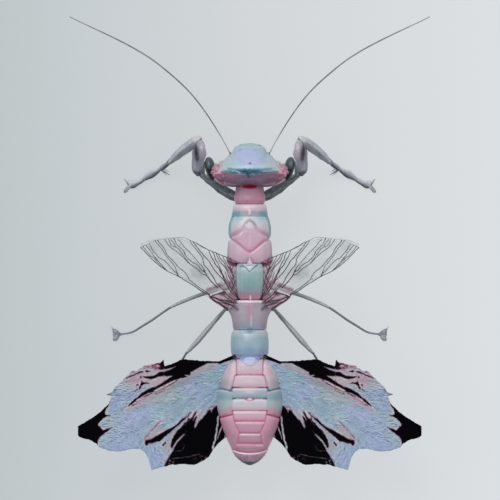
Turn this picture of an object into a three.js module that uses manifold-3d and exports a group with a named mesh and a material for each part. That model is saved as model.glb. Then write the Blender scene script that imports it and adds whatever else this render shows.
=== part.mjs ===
// A life-size mantis standing on six feet with all four wings spread.
// Millimetres, +Z up, +Y towards the head, +X to the animal's right.
// Plan dimensions are in drafting units of 0.2 mm: x counts out from the mid-plane,
// and stations count back from the front datum, so a larger station is nearer the tail.
import * as THREE from "three";
import { mergeVertices } from "three/addons/utils/BufferGeometryUtils.js";
import Module from "manifold-3d";

const wasm = await Module();
wasm.setup();

// ---- driving dimensions -------------------------------------------------
const UNIT = 0.2; // mm in one drafting unit
const DATUM = 243.95; // station that lies at y = 0
const GAP = 0.1; // mm left between neighbouring pieces
const WING_THICK = 0.5; // mm
const FEELER_R = 0.27; // mm, antenna radius
const FLOOR = 0; // mm, level of the foot flats
const SHOULDER_Z = 11.9; // mm, top of the shoulders under the forewings

const at = (x, s, z) => new THREE.Vector3(x * UNIT, (DATUM - s) * UNIT, z);

// Trunk loops: [station, half width in units, top z, widest z, underside z]
const TRUNK = {
  neck: [
    [183.5, 13.6, 12.8, 11.3, 9.2],
    [188, 14.4, 13.1, 11.2, 8.9],
    [196, 16.1, 13.3, 11.1, 8.6],
    [204.6, 15.4, 13.4, 11.0, 8.3],
  ],
  prothorax_collar: [
    [205.1, 16.1, 13.5, 10.9, 8.2],
    [206.5, 16.8, 13.8, 10.9, 8.0],
    [211, 17.5, 14.0, 10.8, 7.8],
    [216.2, 18.2, 14.1, 10.7, 7.6],
  ],
  prothorax_shield: [
    [216.7, 18.4, 14.1, 10.7, 7.6],
    [221, 20.1, 14.5, 10.6, 7.4],
    [227, 21.4, 14.8, 10.5, 7.3],
    [233, 21.6, 14.9, 10.5, 7.3],
    [239.3, 19.8, 14.5, 10.4, 7.4],
  ],
  prothorax_rear: [
    [239.8, 20.6, 14.5, 10.4, 7.4],
    [243, 21.8, 14.8, 10.4, 7.2],
    [252, 22.4, 14.9, 10.4, 7.0],
    [262.6, 23.0, 14.4, 10.4, 7.0],
  ],
  mesothorax: [
    [263.1, 19.4, 14.0, 10.3, 6.9],
    [267, 20.0, 14.5, 10.3, 6.7],
    [278, 20.0, 14.8, 10.2, 6.5],
    [290, 20.2, 14.6, 10.2, 6.5],
    [299.8, 20.4, 14.0, 10.2, 6.7],
  ],
  metathorax: [
    [300.3, 20.6, 14.0, 10.2, 6.7],
    [303, 22.6, 14.2, 10.2, 6.6],
    [308, 22.6, 14.3, 10.2, 6.6],
    [312, 20.8, 14.3, 10.2, 6.7],
    [318, 18.2, 14.15, 10.2, 6.9],
    [329.4, 16.6, 13.5, 10.2, 7.3],
  ],
  abdomen_waist: [
    [329.9, 16.4, 13.4, 10.2, 7.3],
    [334, 18.3, 14.0, 10.2, 6.9],
    [344, 19.0, 14.5, 10.2, 6.7],
    [353, 18.6, 14.4, 10.1, 6.7],
    [358.2, 16.4, 13.8, 10.1, 7.0],
  ],
  abdomen_front: [
    [358.8, 15.6, 13.3, 10.0, 7.0],
    [361, 20.4, 13.7, 10.0, 6.5],
    [366, 26.2, 14.1, 10.0, 6.0],
    [377, 29.2, 14.3, 9.9, 5.5],
    [388.6, 31.2, 14.3, 9.8, 5.2],
  ],
  abdomen_middle: [
    [389.1, 31.2, 14.3, 9.8, 5.1],
    [397, 33.0, 14.5, 9.8, 5.0],
    [406, 33.4, 14.4, 9.7, 4.9],
    [413.0, 32.4, 14.2, 9.7, 5.0],
  ],
  abdomen_rear: [
    [413.5, 31.6, 14.1, 9.7, 5.0],
    [420, 29.8, 14.1, 9.7, 5.2],
    [430, 26.7, 13.7, 9.6, 5.8],
    [440, 22.3, 13.1, 9.6, 6.5],
    [447.8, 18.6, 12.5, 9.6, 7.1],
  ],
  abdomen_tip: [
    [448.3, 18.5, 12.3, 9.6, 7.2],
    [454, 15.9, 11.8, 9.6, 7.6],
    [460, 10.4, 11.0, 9.7, 8.3],
    [463.6, 4.8, 10.4, 9.8, 9.0],
    [465.5, 1.6, 10.0, 9.8, 9.5],
  ],
};

const COLOURS = {
  trunk_pink: [0xc6a4b2, 0.42],
  trunk_teal: [0x93aab4, 0.4],
  head: [0xa9b6cc, 0.35],
  eye: [0x43524f, 0.2],
  limb: [0x8a8c96, 0.5],
  feeler: [0x777b80, 0.6],
  mouth: [0x9c7787, 0.45],
  forewing: [0xb7b4b8, 0.35],
  hindwing: [0x93a2b8, 0.65],
};

// ---- helpers ------------------------------------------------------------
function solid(geometry) {
  const g = (geometry.index ? geometry.toNonIndexed() : geometry).clone();
  g.deleteAttribute("normal");
  g.deleteAttribute("uv");
  const m = mergeVertices(g, 1e-3);
  return new wasm.Manifold(
    new wasm.Mesh({
      numProp: 3,
      vertProperties: new Float32Array(m.attributes.position.array),
      triVerts: new Uint32Array(m.index.array),
    }),
  );
}

function geometryOf(made) {
  const m = made.getMesh();
  const p = new Float32Array(m.numVert * 3);
  for (let i = 0; i < m.numVert; i++)
    p.set(m.vertProperties.subarray(i * m.numProp, i * m.numProp + 3), i * 3);
  const g = new THREE.BufferGeometry();
  g.setAttribute("position", new THREE.BufferAttribute(p, 3));
  g.setIndex(new THREE.BufferAttribute(new Uint32Array(m.triVerts), 1));
  g.computeVertexNormals();
  return g;
}

// Moves every vertex of a three.js geometry through fn(Vector3) -> Vector3.
function shaped(geometry, fn) {
  const p = geometry.attributes.position;
  const v = new THREE.Vector3();
  for (let i = 0; i < p.count; i++) {
    v.fromBufferAttribute(p, i);
    const w = fn(v.clone());
    p.setXYZ(i, w.x, w.y, w.z);
  }
  return geometry;
}

// The same geometry on the other side of the mid-plane, faces kept outward.
function mirrored(made) {
  return made.mirror([1, 0, 0]);
}

const lerp = (a, b, t) => a + (b - a) * t;
const clamp = (v, a, b) => Math.min(b, Math.max(a, v));
const smooth = (a, b, v) => {
  const t = clamp((v - a) / (b - a), 0, 1);
  return t * t * (3 - 2 * t);
};
const bump = (v, centre, reach) => {
  const t = clamp(Math.abs(v - centre) / reach, 0, 1);
  return (1 - t * t) ** 2;
};

// Reads a table of rows at x by straight lines between them.
function read(rows, x) {
  let i = 0;
  while (i < rows.length - 2 && x > rows[i + 1][0]) i++;
  const a = rows[i],
    b = rows[i + 1],
    t = clamp((x - a[0]) / (b[0] - a[0]), 0, 1);
  return a.map((v, k) => lerp(v, b[k], t));
}

const power = (c, n) => Math.sign(c) * Math.abs(c) ** n;

// A length of the trunk: a closed cylinder whose rings become rounded loops.
function trunk(name, grow = 0, sides = 16) {
  const rows = TRUNK[name];
  const rings = rows.length - 1;
  const g = new THREE.CylinderGeometry(1, 1, 1, sides, rings);
  return solid(
    shaped(g, (v) => {
      const k = Math.round((0.5 - v.y) * rings);
      const [s, half, top, mid, under] = rows[k];
      const r = Math.hypot(v.x, v.z),
        a = Math.atan2(v.z, v.x);
      const ca = power(Math.cos(a), 0.86) * r,
        sa = power(Math.sin(a), 0.9) * r;
      const up = v.z >= 0;
      let x = half * UNIT * ca,
        z = mid + (up ? top - mid : mid - under) * sa;
      if (name === "mesothorax" && up && r > 0.5) {
        // the scutum stands above the shoulders that carry the forewings
        const flank = smooth(12.5, 16.5, Math.abs(x) / UNIT);
        z -= flank * Math.max(0, z - SHOULDER_Z);
      }
      x += grow * ca;
      z += grow * sa;
      const end = k === 0 ? grow : k === rings ? -grow : 0;
      return new THREE.Vector3(x, (DATUM - s) * UNIT + end, z);
    }),
  );
}

// A limb length: a closed cylinder swept along a smooth curve.
// loops: [x, station, z, half breadth mm, half depth mm]
function limb(loops, { sides = 8, rings = 6, round = [0, 0] } = {}) {
  const curve = new THREE.CatmullRomCurve3(
    loops.map(([x, s, z]) => at(x, s, z)),
    false,
    "centripetal",
  );
  const n = loops.length - 1;
  const g = new THREE.CylinderGeometry(1, 1, 1, sides, rings);
  return solid(
    shaped(g, (v) => {
      const k = Math.round((v.y + 0.5) * rings);
      let t = k / rings,
        shrink = 1;
      if (round[0] && k === 0) shrink = round[0];
      if (round[1] && k === rings) shrink = round[1];
      const f = clamp(t * n, 0, n - 1e-9),
        i = Math.floor(f),
        e = f - i;
      const w = e * e * (3 - 2 * e);
      const rb = lerp(loops[i][3], loops[i + 1][3], w) * shrink;
      const rd = lerp(loops[i][4], loops[i + 1][4], w) * shrink;
      const p = curve.getPoint(t);
      const tangent = curve.getTangent(t).normalize();
      const side = new THREE.Vector3()
        .crossVectors(tangent, new THREE.Vector3(0, 0, 1))
        .normalize();
      const lift = new THREE.Vector3().crossVectors(side, tangent);
      // cylinder x -> side, z -> lift keeps faces outward with y along the tangent
      return p
        .addScaledVector(side, v.x * rb)
        .addScaledVector(lift, -v.z * rd * -1);
    }),
  );
}

// Cuts two limb lengths apart at a joint, leaving the gap between them.
function part(a, b, joint, dirA, dirB) {
  const n = dirA.clone().normalize().add(dirB.clone().normalize()).normalize();
  const o = n.dot(joint);
  return [
    a.trimByPlane([-n.x, -n.y, -n.z], -(o - GAP / 2)),
    b.trimByPlane([n.x, n.y, n.z], o + GAP / 2),
  ];
}

const ball = (x, s, z, rx, ry, rz, w = 10, h = 7) =>
  solid(
    shaped(new THREE.SphereGeometry(1, w, h), (v) =>
      at(x, s, z).add(new THREE.Vector3(v.x * rx, v.y * ry, v.z * rz)),
    ),
  );

// A spine: a slim cone from its root towards a direction.
function spine(root, dir, length, radius) {
  const g = new THREE.ConeGeometry(radius, length, 5);
  g.translate(0, length / 2, 0);
  const q = new THREE.Quaternion().setFromUnitVectors(
    new THREE.Vector3(0, 1, 0),
    dir.clone().normalize(),
  );
  g.applyQuaternion(q);
  g.translate(root.x, root.y, root.z);
  return solid(g);
}

// ---- head ---------------------------------------------------------------
// Plan outline by bearing: 90 is straight ahead, 0 is out to the side.
const HEAD_CENTRE = 170; // station
const HEAD_OUTLINE = [
  [-90, 15.8],
  [-66, 17.6],
  [-50, 22.0],
  [-38, 26.6],
  [-28, 31.0],
  [-22, 33.8],
  [-16, 36.2],
  [-9, 38.0],
  [-3.5, 37.9],
  [0, 36.4],
  [7, 33.2],
  [14, 30.4],
  [20, 28.4],
  [27, 26.6],
  [37, 25.2],
  [44, 25.0],
  [51, 26.2],
  [60, 27.1],
  [72, 26.9],
  [90, 26.4],
];
function head(grow = 0) {
  const g = new THREE.SphereGeometry(1, 26, 10);
  return solid(
    shaped(g, (v) => {
      // sphere y is its pole axis: use it as z
      const [X, Y, Z] = [v.x, -v.z, v.y];
      const c = Math.hypot(X, Y);
      const bearing = (Math.atan2(Y, Math.abs(X)) * 180) / Math.PI;
      const reach = read(HEAD_OUTLINE, bearing)[1] * UNIT + grow;
      const cosE = c ** 0.92;
      const dx = c > 1e-6 ? X / c : 0,
        dy = c > 1e-6 ? Y / c : 0;
      let x = reach * dx * cosE,
        y = reach * dy * cosE;
      const up = Z >= 0;
      const height = up ? 5.0 + grow : 3.4 + grow;
      let z = 10.9 + height * power(Z, 0.85);
      // the brow leans back over the neck and the face slopes forward and down
      const f = y / (26 * UNIT);
      if (up) y -= 0.75 * Z;
      z -= up ? 1.1 * smooth(0.1, 1.0, f) : 0.9 * smooth(0.0, 1.0, f);
      return new THREE.Vector3(x, (DATUM - HEAD_CENTRE) * UNIT + y, z);
    }),
  );
}

// The eye is a tall, narrow bead on the side of the head, its front end turned
// a little outward.
const EYE_TURN = (10 * Math.PI) / 180;
const eyeAt = (grow) =>
  solid(
    shaped(new THREE.SphereGeometry(1, 12, 10), (v) =>
      at(39.4, 168.9, 11.4).add(
        new THREE.Vector3(
          v.x * (1.02 + grow),
          v.y * (2.44 + grow),
          v.z * (2.14 + grow),
        ).applyAxisAngle(new THREE.Vector3(0, 0, 1), -EYE_TURN),
      ),
    ),
  );

// ---- fore wing ----------------------------------------------------------
// Margins across the wing by position along it, 0 at the root and 1 at the tip,
// as [along, x, station, z].
const FORE_FRONT = [
  [0, 13.6, 262.5, 13.15],
  [0.1, 17.5, 261.8, 13.25],
  [0.28, 29.5, 257.3, 13.7],
  [0.5, 47.5, 250.2, 14.5],
  [0.66, 63, 240.5, 15.2],
  [0.8, 78, 236.8, 15.7],
  [0.92, 95, 238.8, 16.0],
  [1, 108.6, 243.2, 16.1],
];
const FORE_REAR = [
  [0, 13.0, 300.5, 13.15],
  [0.1, 21.5, 309.3, 13.2],
  [0.24, 43.5, 296.2, 13.5],
  [0.4, 57.5, 284.2, 14.0],
  [0.58, 79.0, 270.8, 14.7],
  [0.76, 94.5, 259.5, 15.3],
  [0.9, 104.0, 250.0, 15.8],
  [1, 108.8, 245.2, 16.0],
];
function foreWing() {
  const along = 12,
    across = 3;
  const g = new THREE.BoxGeometry(1, 1, 1, along, across, 1);
  return solid(
    shaped(g, (v) => {
      const t = v.x + 0.5,
        c = v.y + 0.5; // c: 0 rear margin, 1 front margin
      const [, fx, fs, fz] = read(FORE_FRONT, t);
      const [, rx, rs, rz] = read(FORE_REAR, t);
      const camber = 0.55 * Math.sin(Math.PI * c) * smooth(0.05, 0.5, t);
      return at(
        lerp(rx, fx, c),
        lerp(rs, fs, c),
        lerp(rz, fz, c) + camber + v.z * WING_THICK,
      );
    }),
  );
}

// ---- hind wing ----------------------------------------------------------
const HINGE_X = 14.5,
  HINGE_S = 357,
  HINGE_Z = 12.9;
// Leading margin: station at x, before its thorn and shoulder are added.
const HIND_LEAD = [
  [14.5, 354.8],
  [22, 359.6],
  [32, 362.0],
  [54, 360.3],
  [67.8, 359.2],
  [77.8, 364.0],
  [84.6, 366.0],
  [86.3, 360.3], // first thorn
  [88.8, 364.8],
  [96.8, 364.0],
  [108.8, 368.0],
  [119.8, 372.0],
  [127.8, 380.0],
  [135.8, 388.0],
  [139.2, 392.4],
  [142.8, 394.5], // second thorn
  [143.8, 405.0],
  [149.8, 412.0],
  [161.8, 420.0],
  [171.6, 425.0],
];
// Trailing margin by lobes: station at x.
const HIND_TRAIL = [
  [14.5, 359.8],
  [24, 436.9],
  [36.8, 448.8],
  [42.4, 458.0],
  [55, 464.3],
  [60, 463.4],
  [76.8, 464.2],
  [85.4, 466.0],
  [98.2, 469.5],
  [101.6, 457.0],
  [104.8, 451.5],
  [109.8, 448.4],
  [118.4, 448.2],
  [129.2, 451.0],
  [140, 450.4],
  [150.4, 446.6],
  [153, 443.4],
  [165.8, 437.4],
  [171.6, 434.6],
];
const hindMargins = (x) => [read(HIND_LEAD, x)[1], read(HIND_TRAIL, x)[1]];
function hindLevel(x, s) {
  const dx = (x - HINGE_X) * UNIT,
    dy = (s - HINGE_S) * UNIT;
  const r = Math.hypot(dx, dy),
    a = Math.atan2(Math.max(dy, 0), Math.max(dx, 1e-6));
  const lead = 1.5 * Math.cos(a) * Math.sin((Math.PI * Math.min(r, 38)) / 40);
  const fall = 2.3 * Math.sin(a) ** 2 * smooth(0, 7, r);
  return HINGE_Z + lead - fall;
}
const HIND_STATIONS = [
  14.5, 19, 24, 32, 42.4, 55, 67.8, 77.8, 84.6, 86.3, 88.8, 98.2, 101.6, 104.8,
  109.8, 119.8, 127.8, 135.8, 139.2, 142.8, 143.8, 149.8, 153, 161.8, 171.6,
];
function hindWing() {
  const along = HIND_STATIONS.length - 1,
    across = 3;
  const g = new THREE.BoxGeometry(1, 1, 1, along, across, 1);
  return solid(
    shaped(g, (v) => {
      const x = HIND_STATIONS[Math.round((v.x + 0.5) * along)],
        c = v.y + 0.5;
      const [lead, trail] = hindMargins(x);
      const s = lerp(trail, lead, c);
      return at(x, s, hindLevel(x, s) + v.z * WING_THICK);
    }),
  );
}

// ---- legs (animal's right side; the left is its mirror image) ------------
const dir = (a, b) => at(...b).sub(at(...a));
function foot(x, s, bearing, spread, reach) {
  // Two claws splayed flat on the floor.
  const out = (deg, len, r0, r1) => {
    const a = ((bearing + deg) * Math.PI) / 180;
    const c = Math.cos(a),
      d = Math.sin(a);
    return limb(
      [
        [x - c * 1.2, s + d * 1.2, FLOOR + 0.3, r0, 0.4],
        [x + c * len * 0.6, s - d * len * 0.6, FLOOR + 0.26, r0 * 0.8, 0.36],
        [x + c * len, s - d * len, FLOOR + 0.2, r1, 0.26],
      ],
      { sides: 5, rings: 2 },
    );
  };
  return out(spread, reach, 0.44, 0.25).add(out(-spread, reach, 0.44, 0.25));
}

const flatten = (made) => made.trimByPlane([0, 0, 1], FLOOR);

function foreLeg() {
  const troch = [48.6, 174.6, 5.0],
    knee = [50.4, 138.6, 10.6],
    ankle = [82.6, 163.2, 2.95];
  let coxa = limb(
    [
      [10, 198.5, 9.8, 1.0, 1.2],
      [19, 194.4, 9.0, 1.08, 1.2],
      [28, 189.0, 7.8, 1.08, 1.1],
      [39.5, 181.0, 6.2, 0.84, 0.9],
      [50.4, 173.0, 4.6, 0.6, 0.7],
    ],
    { sides: 8, rings: 6 },
  );
  let femur = limb(
    [
      [50.0, 177.0, 3.8, 0.66, 0.72],
      [52.8, 168.2, 5.4, 1.16, 1.0],
      [51.8, 160.6, 6.9, 1.34, 1.22],
      [50.6, 153.6, 8.3, 1.52, 1.28],
      [50.3, 146.4, 9.8, 1.2, 1.12],
      [50.2, 137.0, 11.0, 0.64, 0.7],
    ],
    { sides: 8, rings: 8, round: [0.5, 0.6] },
  );
  let tibia = limb(
    [
      [47.6, 136.2, 11.3, 0.6, 0.68],
      [55.4, 142.0, 9.9, 1.08, 0.98],
      [61.9, 146.6, 8.3, 1.15, 0.95],
      [71.8, 154.0, 5.6, 0.94, 0.84],
      [79.2, 160.2, 3.7, 0.6, 0.6],
      [86.6, 165.8, 2.2, 0.5, 0.5],
    ],
    { sides: 8, rings: 6, round: [0.6, 0] },
  );
  let tarsus = limb(
    [
      [79.8, 161.0, 3.4, 0.46, 0.48],
      [86.6, 166.2, 2.2, 0.52, 0.52],
      [91.4, 169.5, 1.5, 0.44, 0.46],
      [99.6, 174.9, 0.85, 0.74, 0.68],
      [106.4, 179.4, 0.52, 0.54, 0.52],
      [111.6, 181.8, 0.54, 0.62, 0.56],
      [117.0, 184.3, 0.5, 0.7, 0.52],
      [121.4, 186.4, 0.4, 0.54, 0.42],
    ],
    { sides: 6, rings: 7 },
  );
  tarsus = flatten(tarsus.add(foot(121.0, 185.9, 3, 51, 7.9)));
  [coxa, femur] = part(
    coxa,
    femur,
    at(...troch),
    dir([39.5, 181.0, 6.2], troch),
    dir(troch, knee),
  );
  [femur, tibia] = part(
    femur,
    tibia,
    at(...knee),
    dir([50.6, 153.6, 8.3], knee),
    dir(knee, [61.9, 146.6, 8.3]),
  );
  [tibia, tarsus] = part(
    tibia,
    tarsus,
    at(...ankle),
    dir([71.8, 154, 5.6], ankle),
    dir(ankle, [91.4, 169.5, 1.5]),
  );
  // raptorial spines under the femur, and the tibia's terminal spurs
  const inward = new THREE.Vector3(0.35, -0.15, -1);
  [
    [51.6, 166.0, 5.55],
    [50.8, 160.5, 6.15],
    [50.2, 155.0, 7.1],
    [49.8, 149.5, 8.2],
  ].forEach(([x, s, z]) => {
    femur = femur.add(spine(at(x + 2, s, z + 0.35), inward, 1.7, 0.27));
  });
  [
    [62, 147.6, 7.5],
    [68.5, 153.0, 5.9],
    [75, 159.0, 4.1],
  ].forEach(([x, s, z]) => {
    tibia = tibia.add(
      spine(at(x, s, z + 0.3), new THREE.Vector3(-0.35, -0.6, -0.8), 1.5, 0.25),
    );
  });
  tarsus = tarsus.add(
    spine(at(88.6, 167.6, 1.9), new THREE.Vector3(-0.86, -0.52, -0.05), 2.4, 0.3),
  );
  return { coxa, femur, tibia, tarsus };
}

function midLeg() {
  const troch = [25.5, 287.2, 7.4],
    knee = [82.6, 307.8, 12.0],
    ankle = [114.6, 331.2, 0.95];
  let coxa = limb(
    [
      [12, 282, 8.8, 1.15, 1.3],
      [20, 285, 7.9, 1.0, 1.15],
      [27.5, 288, 7.2, 0.7, 0.8],
    ],
    { sides: 8, rings: 3 },
  );
  let femur = limb(
    [
      [22.5, 286, 7.2, 0.6, 0.72],
      [36, 290.2, 8.6, 0.54, 0.7],
      [56, 297.2, 10.4, 0.45, 0.57],
      [83.8, 309.0, 12.3, 0.29, 0.33],
    ],
    { sides: 7, rings: 6, round: [0, 0.7] },
  );
  let tibia = limb(
    [
      [81.0, 307.0, 12.6, 0.3, 0.33],
      [91.2, 315.0, 9.0, 0.28, 0.3],
      [99.5, 321.0, 5.6, 0.3, 0.32],
      [115.6, 331.9, 0.6, 0.27, 0.28],
    ],
    { sides: 7, rings: 6, round: [0.7, 0] },
  );
  let tarsus = limb(
    [
      [113.4, 330.4, 1.3, 0.27, 0.28],
      [118.4, 333.0, 0.5, 0.29, 0.32],
      [124.0, 334.4, 0.3, 0.28, 0.34],
      [132.6, 334.0, 0.28, 0.42, 0.36],
    ],
    { sides: 6, rings: 5 },
  );
  tarsus = flatten(tarsus.add(foot(132.4, 333.8, 0, 54, 9.8)));
  [coxa, femur] = part(
    coxa,
    femur,
    at(...troch),
    dir([20, 285, 7.9], troch),
    dir(troch, [36, 290.2, 8.6]),
  );
  [femur, tibia] = part(
    femur,
    tibia,
    at(...knee),
    dir([56, 297.2, 10.4], knee),
    dir(knee, [99.5, 320.4, 5.6]),
  );
  [tibia, tarsus] = part(
    tibia,
    tarsus,
    at(...ankle),
    dir([99.5, 320.4, 5.6], ankle),
    dir(ankle, [124, 334.4, 0.3]),
  );
  return { coxa, femur, tibia, tarsus };
}

function hindLeg() {
  const troch = [25.0, 309.4, 7.3],
    knee = [63.4, 352.4, 10.2],
    ankle = [89.5, 399.0, 0.95];
  let coxa = limb(
    [
      [12, 301, 8.8, 1.15, 1.3],
      [19, 305, 7.9, 1.0, 1.15],
      [26.6, 310.8, 7.1, 0.7, 0.8],
    ],
    { sides: 8, rings: 3 },
  );
  let femur = limb(
    [
      [22.8, 307.2, 7.1, 0.44, 0.66],
      [34.2, 320.4, 8.0, 0.54, 0.8],
      [44.2, 331.8, 8.8, 0.62, 0.9],
      [52.2, 341.2, 9.5, 0.62, 0.84],
      [58.8, 348.4, 10.0, 0.48, 0.58],
      [64.6, 354.0, 10.4, 0.3, 0.34],
    ],
    { sides: 7, rings: 8, round: [0, 0.7] },
  );
  let tibia = limb(
    [
      [62.4, 350.0, 10.7, 0.3, 0.33],
      [67.2, 359.4, 9.4, 0.28, 0.3],
      [78.4, 380.0, 5.2, 0.3, 0.33],
      [90.2, 400.4, 0.6, 0.27, 0.28],
    ],
    { sides: 7, rings: 6, round: [0.7, 0] },
  );
  let tarsus = limb(
    [
      [88.8, 397.8, 1.3, 0.27, 0.28],
      [91.8, 403.4, 0.5, 0.29, 0.32],
      [94.6, 408.6, 0.3, 0.28, 0.34],
      [99.4, 416.8, 0.28, 0.42, 0.36],
    ],
    { sides: 6, rings: 5 },
  );
  tarsus = flatten(tarsus.add(foot(99.2, 416.6, -60, 54, 9.6)));
  [coxa, femur] = part(
    coxa,
    femur,
    at(...troch),
    dir([19, 305, 7.9], troch),
    dir(troch, [34.2, 320.4, 8.0]),
  );
  [femur, tibia] = part(
    femur,
    tibia,
    at(...knee),
    dir([52.2, 341.2, 9.5], knee),
    dir(knee, [78.4, 380, 5.2]),
  );
  [tibia, tarsus] = part(
    tibia,
    tarsus,
    at(...ankle),
    dir([78.4, 380, 5.2], ankle),
    dir(ankle, [94.6, 408.6, 0.3]),
  );
  return { coxa, femur, tibia, tarsus };
}

// ---- antenna: a five-sided rod swept forward, outward and up ---------------
function antenna() {
  const line = new THREE.CatmullRomCurve3(
    [
      [19.5, 155.5, 10.4],
      [25.2, 143.0, 11.4],
      [37.4, 121.6, 13.2],
      [54.2, 97.4, 15.2],
      [72.0, 79.4, 16.8],
      [92.6, 61.8, 18.2],
      [111.6, 49.6, 19.2],
      [133.6, 38.2, 20.0],
      [159.0, 26.2, 20.6],
      [178.4, 18.2, 21.0],
    ].map((p) => at(...p)),
    false,
    "centripetal",
  );
  const section = new THREE.Shape();
  for (let i = 0; i < 5; i++) {
    const a = (i * Math.PI) / 2.5;
    const p = [Math.cos(a) * FEELER_R, Math.sin(a) * FEELER_R];
    if (i) section.lineTo(...p);
    else section.moveTo(...p);
  }
  section.closePath();
  return solid(
    new THREE.ExtrudeGeometry(section, {
      steps: 24,
      bevelEnabled: false,
      extrudePath: line,
    }),
  );
}

// ---- mouth --------------------------------------------------------------
function mouth() {
  // clypeus, labrum and jaws as one wedge hanging under the front of the head
  const g = new THREE.CylinderGeometry(1, 1, 1, 12, 4);
  const rows = [
    [152.6, 11.0, 9.6, 6.5],
    [152.0, 10.4, 8.2, 7.0],
    [152.8, 9.2, 7.2, 6.4],
    [154.0, 7.0, 6.2, 5.2],
    [155.4, 4.0, 5.4, 3.2],
  ];
  return solid(
    shaped(g, (v) => {
      const k = Math.round((0.5 - v.y) * 4);
      const [s, half, z, deep] = rows[k];
      return new THREE.Vector3(
        v.x * half * UNIT,
        (DATUM - s) * UNIT - v.z * deep * UNIT,
        z,
      );
    }),
  );
}

function palp() {
  return limb(
    [
      [7.5, 155.0, 6.8, 0.28, 0.28],
      [11.0, 151.0, 6.1, 0.27, 0.27],
      [11.6, 147.6, 5.0, 0.26, 0.26],
      [9.8, 148.6, 3.9, 0.26, 0.26],
    ],
    { sides: 6, rings: 6, round: [0, 0.7] },
  );
}

function cercus() {
  return limb(
    [
      [7.6, 452.5, 7.6, 0.4, 0.4],
      [6.8, 457.5, 7.2, 0.36, 0.36],
      [5.4, 463.6, 7.3, 0.26, 0.26],
    ],
    { sides: 6, rings: 4, round: [0, 0.7] },
  );
}

// ---- assembly -----------------------------------------------------------
const group = new THREE.Group();
group.name = "mantis";
function put(name, made, look) {
  const [colour, roughness] = COLOURS[look];
  const mesh = new THREE.Mesh(
    geometryOf(made),
    new THREE.MeshStandardMaterial({ color: colour, roughness, metalness: 0 }),
  );
  mesh.name = name;
  group.add(mesh);
}
function pair(name, made, look) {
  put(name + "_right", made, look);
  put(name + "_left", mirrored(made), look);
}

const grownHead = head(GAP);
const eye = eyeAt(0);
const eyeHole = eyeAt(GAP);
put("head", head().subtract(eyeHole).subtract(mirrored(eyeHole)), "head");
pair("eye", eye, "eye");
const jaw = mouth().subtract(grownHead);
put("mouthparts", jaw, "mouth");
const jawRoom = mouth().scale([1.06, 1, 1]);
pair("palp", palp().subtract(jaw).subtract(jawRoom), "mouth");
pair("antenna", antenna().subtract(grownHead), "feeler");

const TEAL = new Set(["mesothorax", "abdomen_waist", "abdomen_middle"]);
for (const name of Object.keys(TRUNK)) {
  let made = trunk(name);
  if (name === "neck") made = made.subtract(grownHead);
  put(name, made, TEAL.has(name) ? "trunk_teal" : "trunk_pink");
}
pair(
  "cercus",
  cercus().subtract(trunk("abdomen_tip", GAP)).subtract(trunk("abdomen_rear", GAP)),
  "limb",
);

const fore = foreLeg();
let foreCoxa = fore.coxa
  .subtract(trunk("neck", GAP))
  .subtract(trunk("prothorax_collar", GAP));
pair("foreleg_coxa", foreCoxa, "limb");
pair("foreleg_femur", fore.femur, "limb");
pair("foreleg_tibia", fore.tibia, "limb");
pair("foreleg_tarsus", fore.tarsus, "limb");

const mid = midLeg();
pair("midleg_coxa", mid.coxa.subtract(trunk("mesothorax", GAP)), "limb");
pair("midleg_femur", mid.femur, "limb");
pair("midleg_tibia", mid.tibia, "limb");
pair("midleg_tarsus", mid.tarsus, "limb");

const hind = hindLeg();
pair(
  "hindleg_coxa",
  hind.coxa.subtract(trunk("metathorax", GAP)).subtract(trunk("mesothorax", GAP)),
  "limb",
);
pair("hindleg_femur", hind.femur, "limb");
pair("hindleg_tibia", hind.tibia, "limb");
pair("hindleg_tarsus", hind.tarsus, "limb");

const keepBiggest = (made) =>
  made.decompose().sort((a, b) => b.volume() - a.volume())[0];
let fw = foreWing();
for (const n of ["prothorax_rear", "mesothorax", "metathorax"])
  fw = fw.subtract(trunk(n, GAP * 2));
pair("forewing", keepBiggest(fw), "forewing");
let hw = hindWing();
for (const n of [
  "abdomen_waist",
  "abdomen_front",
  "abdomen_middle",
  "abdomen_rear",
])
  hw = hw.subtract(trunk(n, GAP));
pair("hindwing", keepBiggest(hw), "hindwing");

export default group;
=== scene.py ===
"""The looks of a life-size mantis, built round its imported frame.

Working units are millimetres. Plan positions use the drafting units of the CAD:
0.2 mm each, x out from the mid-plane and stations counted back from the front datum.
"""

import math

import bpy
import numpy as np
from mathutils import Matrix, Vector


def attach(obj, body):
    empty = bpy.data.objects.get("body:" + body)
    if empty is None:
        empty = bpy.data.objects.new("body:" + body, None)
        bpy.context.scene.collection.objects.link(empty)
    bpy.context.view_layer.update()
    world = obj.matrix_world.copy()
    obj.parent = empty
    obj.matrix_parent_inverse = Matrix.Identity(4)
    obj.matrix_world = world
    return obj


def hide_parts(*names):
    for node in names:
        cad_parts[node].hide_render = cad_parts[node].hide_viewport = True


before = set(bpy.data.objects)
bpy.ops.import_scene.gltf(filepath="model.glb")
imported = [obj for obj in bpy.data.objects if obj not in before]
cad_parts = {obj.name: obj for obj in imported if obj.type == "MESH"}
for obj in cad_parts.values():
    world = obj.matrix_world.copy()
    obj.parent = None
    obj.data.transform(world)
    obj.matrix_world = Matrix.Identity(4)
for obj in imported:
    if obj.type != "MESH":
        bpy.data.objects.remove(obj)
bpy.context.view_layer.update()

UNIT, DATUM = 0.2, 243.95
rng = np.random.default_rng(20241)


# ---------------------------------------------------------------- small maths
def place(x, s, z):
    """Plan units and a height in mm to mm in the row frame."""
    x, s, z = np.broadcast_arrays(
        np.asarray(x, float), np.asarray(s, float), np.asarray(z, float)
    )
    return np.stack([x * UNIT, (DATUM - s) * UNIT, z], -1)


def smooth(a, b, v):
    t = np.clip((v - a) / (b - a), 0, 1)
    return t * t * (3 - 2 * t)


def mix(a, b, w):
    w = np.asarray(w, float)[..., None]
    return np.asarray(a, float) * (1 - w) + np.asarray(b, float) * w


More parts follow.
